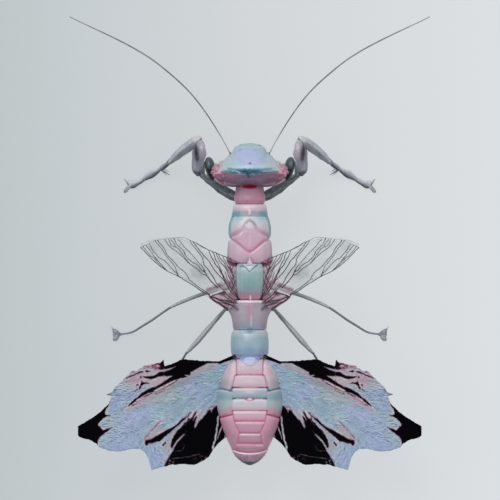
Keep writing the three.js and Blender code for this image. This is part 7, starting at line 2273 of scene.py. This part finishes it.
PALE = [  # pale fields beside the dark ones
    # pale wedge in the inner patch
    [(52.4, 415.6), (48.3, 411.2), (43.8, 410.4), (44.6, 413.8), (47.1, 417.6), (50.7, 421.0), (52.8, 424.8), (54.6, 427.4), (54.8, 425.7), (53.8, 422.1), (53.1, 418.6)],
    # pale sliver under the wedge
    [(37.8, 363.8), (42.4, 363.8), (46.4, 366.0), (51.1, 368.6), (55.1, 370.8), (58.3, 373.0), (59.8, 375.6), (55.1, 374.4), (48.4, 371.2), (43.8, 369.4), (37.8, 367.4), (33.8, 365.0)],
    # beige field by the curved streak
    [(101.2, 437.6), (98.8, 433.4), (94.8, 428.8), (91.2, 424.8), (88.8, 427.4), (85.8, 430.4), (89.3, 433.0), (93.2, 435.2), (97.8, 437.6)],
    # pale channel
    [(63.2, 418.8), (65.8, 421.0), (69.9, 425.6), (73.8, 430.0), (75.9, 434.6), (77.9, 440.0), (79.3, 446.0), (82.8, 451.6), (84.8, 448.0), (81.8, 441.0), (79.8, 435.6), (77.3, 430.8), (73.8, 427.9), (69.2, 424.0), (65.2, 420.0)],
    # upper channel
    [(92.4, 370.7), (85.8, 369.9), (80.4, 368.6), (75.8, 367.0), (79.2, 368.8), (84.4, 370.6), (89.8, 371.6), (93.8, 373.6), (99.8, 374.8), (103.8, 375.0), (105.8, 372.6), (102.8, 369.4), (96.8, 368.4)],
    # upper pale field
    [(88.4, 376.2), (81.8, 376.6), (77.8, 376.2), (83.8, 379.4), (89.8, 383.4), (93.8, 385.6), (98.8, 386.0), (99.8, 383.8), (103.3, 382.0), (101.8, 380.0), (95.8, 379.0)],
]
STRIPES = [  # pale threads that cross the dark: half width, points, colour
    (0.85, [(31.2, 416.4), (32.1, 420.0), (31.8, 424.0), (33.2, 428.4), (33.1, 432.0), (34.2, 436.4), (34.3, 440.0), (35.9, 443.2), (36.8, 446.4), (36.3, 449.6), (37.2, 452.6)], (190, 186, 190)),
    (0.55, [(27.8, 425.6), (28.9, 428.6), (29.8, 431.4), (31.2, 435.2), (32.3, 439.0)], (178, 172, 176)),
    (0.35, [(24.2, 434.4), (25.2, 437.6)], (150, 146, 150)),
    (0.70, [(65.6, 434.4), (68.8, 437.4), (72.2, 440.8), (74.6, 444.2), (76.6, 448.2), (78.8, 451.6), (80.9, 455.6), (83.3, 459.8), (85.3, 464.4)], (158, 156, 162)),
    (0.30, [(75.4, 450.6), (71.8, 450.9), (67.8, 450.5), (66.3, 447.6), (65.2, 445.0)], (66, 64, 70)),
    (0.35, [(76.8, 458.7), (71.8, 457.7), (67.8, 457.7), (65.4, 457.0), (59.8, 456.5), (55.4, 455.0), (50.4, 454.2)], (84, 82, 86)),
    (0.22, [(66.8, 437.6), (65.3, 434.0), (63.3, 431.0)], (44, 40, 46)),
    (0.28, [(64.8, 425.0), (61.8, 421.0), (58.8, 417.0)], (120, 70, 90)),
    (0.35, [(56.8, 420.4), (54.8, 416.4), (52.2, 412.6)], (206, 180, 192)),
]
REDS = [  # crimson, pink and pale threads: half width, points, colour
    (0.85, [(73.2, 381.8), (79.8, 385.8), (85.8, 389.0), (91.8, 391.8), (97.8, 394.8), (103.8, 398.2), (109.8, 402.0), (115.8, 405.8), (121.2, 409.0)], (192, 146, 158)),
    (0.42, [(74.8, 380.3), (78.3, 382.3), (81.8, 384.4), (84.8, 385.9), (88.8, 387.6)], (232, 198, 206)),
    (0.35, [(99.8, 393.6), (104.8, 396.6), (109.8, 400.0), (114.8, 403.6), (118.8, 406.0)], (214, 178, 190)),
    (0.40, [(116.8, 400.2), (119.3, 402.6), (120.9, 405.0)], (206, 206, 212)),
    (0.45, [(62.2, 376.8), (65.8, 378.0), (69.2, 378.8)], (206, 196, 202)),
    (0.45, [(59.8, 376.1), (55.1, 375.0), (48.4, 372.0), (43.8, 369.8), (37.8, 368.0), (31.8, 366.0)], (196, 140, 156)),
    (0.45, [(104.3, 437.4), (101.8, 434.3), (97.7, 430.0), (92.7, 424.3), (89.1, 420.7)], (164, 52, 92)),
    (0.55, [(104.8, 439.0), (104.3, 437.0), (103.2, 435.6)], (200, 84, 120)),
    (0.35, [(89.1, 420.7), (84.8, 418.0), (79.8, 415.0)], (196, 160, 170)),
    (1.10, [(105.4, 367.4), (101.6, 367.2), (97.6, 367.0), (93.6, 366.4)], (138, 104, 116)),
    (0.50, [(106.2, 366.6), (102.8, 366.3), (98.8, 366.0), (94.8, 365.1)], (146, 84, 98)),
    (0.55, [(97.6, 365.6), (95.0, 364.4), (92.6, 363.9)], (92, 34, 50)),
    (0.60, [(95.4, 368.6), (92.4, 368.0), (90.6, 367.2)], (128, 84, 98)),
    (0.60, [(120.2, 373.2), (117.8, 371.9), (115.2, 371.7)], (104, 106, 110)),
    (0.45, [(96.8, 366.4), (95.2, 364.8), (92.8, 364.0)], (120, 44, 60)),
    (0.40, [(91.6, 364.9), (91.2, 366.0), (92.3, 366.8)], (226, 196, 206)),
    (0.35, [(75.8, 375.4), (80.8, 378.4), (86.2, 381.4)], (182, 120, 140)),
    (0.38, [(79.8, 445.6), (81.2, 450.0), (84.8, 456.4), (87.3, 460.9)], (200, 166, 178)),
    (0.30, [(80.8, 449.4), (81.4, 451.2)], (120, 40, 70)),
    (0.35, [(83.2, 439.6), (84.6, 441.4)], (196, 160, 172)),
    (0.35, [(86.9, 446.8), (87.9, 448.8)], (196, 160, 172)),
    (0.35, [(151.3, 439.6), (149.3, 436.2), (145.8, 433.4)], (150, 60, 90)),
    (0.45, [(172.3, 426.6), (171.2, 425.4)], (150, 90, 104)),
    (0.45, [(62.3, 419.0), (59.8, 413.6), (58.2, 409.8)], (216, 190, 200)),
    (0.45, [(59.3, 417.6), (57.2, 413.6), (55.8, 410.6)], (224, 200, 210)),
    (0.40, [(56.3, 416.0), (54.3, 412.6), (52.8, 410.0)], (196, 150, 168)),
    (0.45, [(52.6, 414.8), (50.3, 411.6), (48.8, 409.6)], (214, 190, 200)),
    (0.40, [(42.6, 410.4), (40.2, 407.6), (37.8, 406.2)], (150, 40, 72)),
    (0.40, [(38.9, 410.6), (37.3, 407.8), (34.6, 405.8)], (120, 20, 50)),
    (0.30, [(69.8, 422.2), (65.8, 418.2), (62.8, 414.6)], (184, 110, 134)),
    (0.35, [(81.2, 463.4), (79.3, 461.0), (76.3, 459.2)], (210, 176, 186)),
    (0.35, [(79.8, 464.0), (77.3, 462.4), (75.8, 460.0)], (200, 150, 166)),
    (0.30, [(59.3, 463.4), (58.3, 462.4)], (214, 210, 214)),
]
WASHES = [  # soft fields of each tone: tone, strength, then place and radii of its fields
    ((140, 172, 180), 0.75, [(46, 379, 15, 8), (36, 398, 5, 10), (44, 404, 8, 3), (38, 372, 6, 5)]),
    ((154, 167, 201), 0.70, [(63, 391, 13, 7), (48, 396, 8, 7), (128, 401, 10, 6), (134, 446, 9, 4), (121, 439, 12, 7)]),
    ((147, 153, 199), 0.85, [(133, 390, 4, 4), (118, 396.6, 5, 2), (90, 459, 6, 5)]),
    ((152, 172, 167), 0.75, [(84, 394, 8, 6), (129, 414, 5, 2.6), (111, 407, 7, 2), (72, 396, 6, 4)]),
    ((143, 166, 178), 0.70, [(62, 406, 15, 5), (98, 403, 12, 4), (68, 413, 9, 5), (105, 428, 5, 9)]),
    ((167, 175, 210), 0.80, [(115, 420, 11, 8), (98, 411, 6, 4), (92, 456, 8, 9)]),
    ((165, 184, 196), 0.75, [(143, 422, 8, 6), (146, 437, 6, 6), (94, 418, 4, 3.4), (86, 419, 8, 5), (87, 447, 4, 5)]),
    ((180, 165, 173), 0.75, [(113, 375.6, 8, 6), (118, 381, 6, 5), (68, 381, 6, 2.6), (98, 399.6, 9, 2.4), (86, 391, 8, 2), (111, 403.6, 7, 1.6), (122, 409.6, 3.5, 1.8)]),
    ((172, 178, 179), 0.80, [(98, 381, 9, 3.4), (100, 372, 7, 2.4), (95, 433, 5, 4), (124, 386, 8, 4)]),
    ((172, 122, 136), 0.85, [(94, 363.4, 6, 1.8), (104, 366.6, 5, 1.3), (114, 373, 4, 1.5)]),
    ((196, 190, 198), 0.85, [(142.6, 409, 1.3, 3), (150.6, 423, 1.2, 2.4), (147.2, 428.4, 2.0, 1.2), (153, 441.6, 1.4, 1.6)]),
]
big = fbm(WX / 20 + 2, WS / 20, seed=144)
big2 = fbm(WX / 9 + 8, WS / 9, seed=145)
WC = mix(BLUE, LAV, smooth(0.40, 0.60, big))
WC = mix(WC, TEALW, smooth(0.52, 0.70, big2) * 0.5)
for col_, wt, fields in WASHES:
    for zx, zs, rx_, rs_ in fields:
        WC = mix(WC, col_, np.exp(-0.5 * (((WX - zx) / rx_) ** 2 + ((WS - zs) / rs_) ** 2)) * wt)
hue = fbm(WX / 5 + 4, WS / 5, seed=148)
# LIGHT and DARK: the tones for the strokes' painted light and painted shade
LIGHT = mix((204, 216, 234), (206, 222, 224), smooth(0.42, 0.58, hue))
LIGHT = mix(LIGHT, (212, 204, 216), smooth(0.56, 0.66, fbm(WX / 7, WS / 7, seed=149)) * 0.6)
DARK = mix((66, 86, 124), (66, 100, 112), smooth(0.42, 0.58, hue))
WC = mix(WC, (132, 184, 192), smooth(0.60, 0.72, fbm(WX / 4.5 + 2, WS / 3.0, seed=150)) * 0.45)
calm = 1 - 0.35 * smooth(0.45, 0.62, fbm(WX / 12 + 6, WS / 12, seed=164))
# strokes painted light on their lit slopes and dark on their shaded slopes, partly their own paler ridges and darker
# gaps
stroke_lit = np.clip(smooth(0.0, 0.7, stroke_light_and_shade) * 0.66 + smooth(-0.05, 0.5, ridge) * 0.30 + smooth(0.1, 0.9, fib2) * 0.14, 0, 1) * calm
stroke_shaded = np.clip(smooth(0.0, -0.7, stroke_light_and_shade) * 0.66 + smooth(-0.12, -0.42, ridge) * 0.34 + smooth(-0.1, -0.9, fib2) * 0.16, 0, 1) * calm
WC = WC * (1 - stroke_lit[..., None]) + LIGHT * stroke_lit[..., None]
WC = WC * (1 - stroke_shaded[..., None]) + DARK * stroke_shaded[..., None]

black = np.full(WX.shape, 1e3)
for poly in BLACK:
    black = np.minimum(black, poly_sdf(WX, WS, poly))
for hw_, line in THIN:
    black = np.minimum(black, poly_sdf(WX, WS, line, closed=False) - hw_)
pale = np.full(WX.shape, 1e3)
for poly in PALE:
    pale = np.minimum(pale, poly_sdf(WX, WS, poly))
black = black + 0.75 * gauss(np.hypot((WX - 111) / 5.0, (WS - 397.5) / 4.0), 0.9)
black = black - 0.7 * gauss(poly_sdf(WX, WS, [(70.5, 430.5), (76.5, 439.5)], closed=False), 1.5)
bj = black + jag * 0.34
patchy = smooth(0.42, 0.62, fbm(WX / 4.4, WS / 4.4, seed=152))
halo = smooth(2.8, 0.3, bj) * (0.25 + 0.75 * patchy)
halo_c = mix((182, 178, 184), (188, 156, 168), smooth(0.44, 0.62, fbm(WX / 3.0, WS / 3.0, seed=153)))
WC = mix(WC, halo_c, halo * 0.60)
rose_ = np.exp(-0.5 * (((WX - 98) / 15) ** 2 + ((WS - 374) / 7.5) ** 2)) + 0.8 * np.exp(-0.5 * (((WX - 84) / 9) ** 2 + ((WS - 384) / 5) ** 2))
rosy = np.clip(np.exp(-0.5 * (((WX - 115.5) / 7.0) ** 2 + ((WS - 377.5) / 4.6) ** 2)) + np.exp(-0.5 * (((WX - 108) / 5.0) ** 2 + ((WS - 381.0) / 2.6) ** 2)), 0, 1)
# lighter on the strokes' lit slopes: painted light
WC = mix(WC, mix((172, 146, 158), (188, 166, 176), smooth(0.0, 0.7, stroke_light_and_shade)), rosy * 0.72)
WC = mix(WC, (196, 164, 178), np.clip(rose_, 0, 1) * smooth(0.36, 0.58, fbm(WX / 5.0 + 7, WS / 2.6, seed=163)) * 0.5)
pj = pale + jag * 0.45
pale_c = mix((170, 168, 171), (184, 166, 174), smooth(0.42, 0.58, fbm(WX / 3.2, WS / 2.2, seed=158)))
pale_c = mix(pale_c, (150, 156, 160), smooth(0.0, -0.6, fib) * 0.5)
# lighter on the strokes' lit slopes: painted light
pale_c = mix(pale_c, (204, 198, 204), smooth(0.1, 0.8, stroke_light_and_shade) * 0.6)
WC = mix(WC, pale_c, smooth(0.9, -0.9, pj) * 0.80)
for hw_, line, col_ in REDS:
    dd = poly_sdf(WX, WS, line, closed=False) + jag * 0.34
    tone_ = mix(col_, (176, 168, 176), smooth(0.40, 0.66, vnoise(WX / 1.8, WS / 1.8, seed=156)) * 0.55)
    WC = mix(WC, tone_, smooth(hw_ + 0.6, hw_ - 0.3, dd) * 0.74)
rim = gauss(bj - 0.12, 0.34) * (0.35 + 0.65 * smooth(0.44, 0.62, fbm(WX / 3.2, WS / 3.2, seed=154)))
WC = mix(WC, (84, 30, 48), rim * 0.72)
fleck = smooth(0.60, 0.70, vnoise(WX / 0.95 + 3, WS / 0.95, seed=163)) * gauss(bj - 0.9, 0.6)
WC = mix(WC, (222, 206, 212), fleck * 0.6)
ink = smooth(0.32, -0.32, bj)
BC = mix((2, 1, 4), (40, 10, 22), smooth(-1.6, -0.1, bj) * smooth(0.48, 0.68, fbm(WX / 1.6, WS / 1.6, seed=155)))
# a trace of painted light on the strokes in the black
BC = BC + (np.clip(stroke_light_and_shade, 0, 1) * 3)[..., None]
WC = mix(WC, BC, ink)
for hw_, line, col_ in STRIPES:
    dd = poly_sdf(WX, WS, line, closed=False) + jag * 0.42
    strand = np.array(col_, float) + (vnoise(WX / 0.9, WS / 1.7, seed=159) - 0.55)[..., None] * 70
    WC = mix(WC, strand, smooth(hw_ + 0.35, hw_ - 0.35, dd) * 0.92)
crumb = smooth(0.56, 0.66, fbm(WX / 1.5 + 7, WS / 1.5, seed=157)) * gauss(np.hypot((WX - 47) / 6, (WS - 459.4) / 3.2), 0.75)
WC = mix(WC, mix((150, 60, 88), (206, 176, 186), smooth(0.5, 0.75, vnoise(WX / 1.1, WS / 1.1, seed=160))), crumb * 0.85)
crumb = smooth(0.52, 0.62, fbm(WX / 1.4 + 17, WS / 1.4, seed=162)) * gauss(np.hypot((WX - 79) / 2.6, (WS - 461.6) / 2.4), 0.8)
WC = mix(WC, (212, 184, 192), crumb * 0.85)
# grey green shade under the leading wedge, and a dark ring at the foot of its spike
WC = mix(WC, (116, 128, 132), gauss(np.hypot((WX - 70) / 12.0, (WS - 383.0 - (WX - 70) * 0.42) / 3.6), 0.85) * (1 - ink) * 0.50)
ring = gauss(np.hypot((WX - 92.4) / 3.4, (WS - 366.2) / 2.5), 0.8)
WC = mix(WC, mix((66, 16, 36), (150, 84, 106), smooth(0.4, 0.6, fbm(WX / 1.3, WS / 0.9, seed=165))), ring * 0.8)
WC = mix(WC, (216, 184, 192), gauss(np.hypot((WX - 92.2) / 1.15, (WS - 365.6) / 0.95), 0.9) * 0.9)
WC = np.clip(WC, 1, 245)

pleat = np.sin(THp * 46 + 2.0 * (fbm(WX / 12, WS / 12, seed=161) - 0.5)) * smooth(3, 14, RR) * 0.05
relief = 0.10 * ridge + 0.03 * fib + 0.03 * fib2 + pleat + 0.03 * (ripple - 0.5)
relief = relief * (1 - 0.75 * ink) - 0.05 * smooth(0.5, -0.5, bj) + 0.05 * gauss(bj - 0.8, 0.7)
edge_soft = smooth(0, 1.2, WS - lead[:, None]) * smooth(0, 1.2, trail[:, None] - WS)
relief = relief * (0.3 + 0.7 * edge_soft)
thick = 0.03 + 0.05 * edge_soft
topg = np.stack([WX * UNIT, (DATUM - WS) * UNIT, WZ + relief + thick], -1)
lowg = np.stack([WX * UNIT, (DATUM - WS) * UNIT, WZ + relief * 0.8 - thick], -1)
v, Q = sheet(topg, lowg)
LOWC = mix(WC, (150, 150, 166), 0.25 * np.ones(WX.shape))
soup = Soup().add(v, Q, None, np.vstack([WC.reshape(-1, 3), LOWC.reshape(-1, 3)]))


def wing_z(x, s_):
    dx_, dy_ = (x - HINGE_X) * UNIT, (s_ - HINGE_S) * UNIT
    r_ = np.hypot(dx_, dy_)
    th_ = np.arctan2(np.maximum(dy_, 0), np.maximum(dx_, 1e-6))
    return HINGE_Z + 1.5 * np.cos(th_) * np.sin(np.pi * np.minimum(r_, 38) / 40) - 2.3 * np.sin(th_) ** 2 * smooth(0, 7, r_)


# a torn point that stands out from the leading edge
tx = np.linspace(134.5, 143.2, 14)
mid_s = np.interp(tx, [134.5, 143.2], [393.6, 394.4])
half_s = np.interp(tx, [134.5, 138, 143.2], [2.6, 1.8, 0.12])
tc = np.linspace(-1, 1, 7)
TX, TS = np.repeat(tx[:, None], 7, 1), mid_s[:, None] + half_s[:, None] * tc[None]
TZ = wing_z(TX, TS)
v, Q = sheet(np.stack([TX * UNIT, (DATUM - TS) * UNIT, TZ + 0.05], -1), np.stack([TX * UNIT, (DATUM - TS) * UNIT, TZ - 0.05], -1))
TC = mix((132, 150, 158), (96, 112, 112), smooth(138, 142, TX))
soup.add(v, Q, None, np.vstack([TC.reshape(-1, 3)] * 2))
n_h = 90
hx = np.concatenate([rng.uniform(113, 121, 26), rng.uniform(88, 137, 64)])
hs_ = np.interp(hx, xs, lead) + 0.3
root = np.stack([hx * UNIT, (DATUM - hs_) * UNIT, wing_z(hx, hs_)], -1)
dirs = np.stack([0.4 + rng.normal(0, 0.3, n_h), 0.9 + rng.normal(0, 0.2, n_h), rng.normal(0, 0.12, n_h)], -1)
spikes(soup, root, dirs, np.concatenate([rng.uniform(0.2, 0.5, 26), rng.uniform(0.08, 0.22, 64)]), np.concatenate([np.full(26, 0.035), np.full(64, 0.022)]), (112, 124, 124), (150, 158, 160), 0.1, 4)
pair("hindwing_sheet", soup, MAT_PAINTED, "painted_wing", ["hindwing"])

# ribs of the hind wing, underneath
soup = Soup()


for deg in (6, 13, 21, 29, 37, 45, 53, 61, 69, 77):
    th = math.radians(deg)
    rr_ = np.linspace(2.0, 190, 240)
    x = 14.5 + rr_ * math.cos(th)
    s_ = 357 + rr_ * math.sin(th)
    ok = (x < 168) & (s_ > np.interp(x, xs, lead) + 1.2) & (s_ < np.interp(x, xs, trail) - 1.2)
    if ok.sum() < 12:
        continue
    k0 = np.argmax(ok)
    k1 = k0 + np.argmin(ok[k0:]) if (~ok[k0:]).any() else len(ok)
    x, s_ = x[k0:k1], s_[k0:k1]
    if len(x) < 8:
        continue
    path = np.stack([x * UNIT, (DATUM - s_) * UNIT, wing_z(x, s_) - 0.13], -1)
    tube(path, np.linspace(0.11, 0.05, len(x)), 7, mix((70, 66, 84), (120, 126, 146), np.linspace(0, 1, len(x))), soup)
pair("hindwing_ribs", soup, MAT_VEIN, "painted_wing")

# ---------------------------------------------------------------- stage, lights and camera
def floor_material():
    m = bpy.data.materials.new("floor")
    m.use_nodes = True
    nt = m.node_tree
    nt.nodes.clear()
    out = nt.nodes.new("ShaderNodeOutputMaterial")
    tex = nt.nodes.new("ShaderNodeTexCoord")
    sep = nt.nodes.new("ShaderNodeSeparateXYZ")
    nt.links.new(tex.outputs["Object"], sep.inputs["Vector"])
    mr = nt.nodes.new("ShaderNodeMapRange")
    mr.inputs["From Min"].default_value = -0.052
    mr.inputs["From Max"].default_value = 0.052
    nt.links.new(sep.outputs["X"], mr.inputs["Value"])
    ramp = nt.nodes.new("ShaderNodeValToRGB")
    # a ramp from darker on the left to lighter on the right: painted light falling from the right
    light_falloff_stops = [(0.0, (188, 196, 198)), (0.18, (197, 203, 206)), (0.5, (208, 212, 215)), (0.8, (214, 218, 221)), (1.0, (218, 222, 225))]
    els = ramp.color_ramp.elements
    while len(els) < len(light_falloff_stops):
        els.new(0.5)
    for e, (p, c) in zip(els, light_falloff_stops):
        e.position = p
        e.color = (*linear(c), 1)
    nt.links.new(mr.outputs["Result"], ramp.inputs["Fac"])
    dif = nt.nodes.new("ShaderNodeBsdfDiffuse")
    # the floor mostly glows by itself, with a weak diffuse part: painted light that keeps shadows faint
    em = nt.nodes.new("ShaderNodeEmission")
    em.inputs["Strength"].default_value = 0.895
    nt.links.new(ramp.outputs["Color"], em.inputs["Color"])
    dk = nt.nodes.new("ShaderNodeVectorMath")
    dk.operation = "SCALE"
    dk.inputs["Scale"].default_value = 0.14
    nt.links.new(ramp.outputs["Color"], dk.inputs[0])
    nt.links.new(dk.outputs["Vector"], dif.inputs["Color"])
    add = nt.nodes.new("ShaderNodeAddShader")
    nt.links.new(em.outputs["Emission"], add.inputs[0])
    nt.links.new(dif.outputs["BSDF"], add.inputs[1])
    nt.links.new(add.outputs["Shader"], out.inputs["Surface"])
    return m


me = bpy.data.meshes.new("floor")
h = 2.5
me.from_pydata([(-h, -h, -0.00002), (h, -h, -0.00002), (h, h, -0.00002), (-h, h, -0.00002)], [], [(0, 1, 2, 3)])
floor = bpy.data.objects.new("floor", me)
floor.data.materials.append(floor_material())
bpy.context.scene.collection.objects.link(floor)

world = bpy.data.worlds.new("studio")
world.use_nodes = True
bg = world.node_tree.nodes["Background"]
bg.inputs["Color"].default_value = (*linear((206, 212, 218)), 1)
bg.inputs["Strength"].default_value = 0.31
bpy.context.scene.world = world


def area(name, where, size, power_, colour=(1, 1, 1), aim=(0, 0, 0.01)):
    data = bpy.data.lights.new(name, "AREA")
    data.shape = "DISK"
    data.size = size
    data.energy = power_
    data.color = colour
    ob = bpy.data.objects.new(name, data)
    ob.location = where
    ob.rotation_mode = "QUATERNION"
    ob.rotation_quaternion = (Vector(aim) - Vector(where)).to_track_quat("-Z", "Y")
    ob.visible_camera = False
    bpy.context.scene.collection.objects.link(ob)


area("key", (-0.12, 0.42, 0.55), 0.34, 2.4, (1.0, 0.99, 0.98))
area("fill_left", (-0.5, 0.0, 0.5), 0.6, 1.2, (0.95, 0.98, 1.0))
area("fill_right", (0.5, -0.1, 0.5), 0.6, 1.1, (1.0, 0.98, 0.97))
area("back", (0.05, -0.5, 0.4), 0.5, 0.65, (0.97, 0.98, 1.0))

cam_data = bpy.data.cameras.new("camera")
cam_data.type = "PERSP"
cam_data.sensor_width = 36.0
cam_data.lens = 600.0
cam_data.dof.use_dof = False
cam = bpy.data.objects.new("camera", cam_data)
FRAME_MM, PLANE_MM = 100.0, 11.0
dist = FRAME_MM * cam_data.lens / 36.0
cam.location = ((250 - 249.75) * UNIT * 0.001, (DATUM - 250) * UNIT * 0.001, (PLANE_MM + dist) * 0.001)
cam.rotation_euler = (0, 0, 0)
cam_data.clip_start, cam_data.clip_end = 0.05, 10.0
bpy.context.scene.collection.objects.link(cam)
bpy.context.scene.camera = cam

view = bpy.context.scene.view_settings
view.view_transform = "Standard"
view.look = "None"
view.exposure = 0.0
view.gamma = 1.0
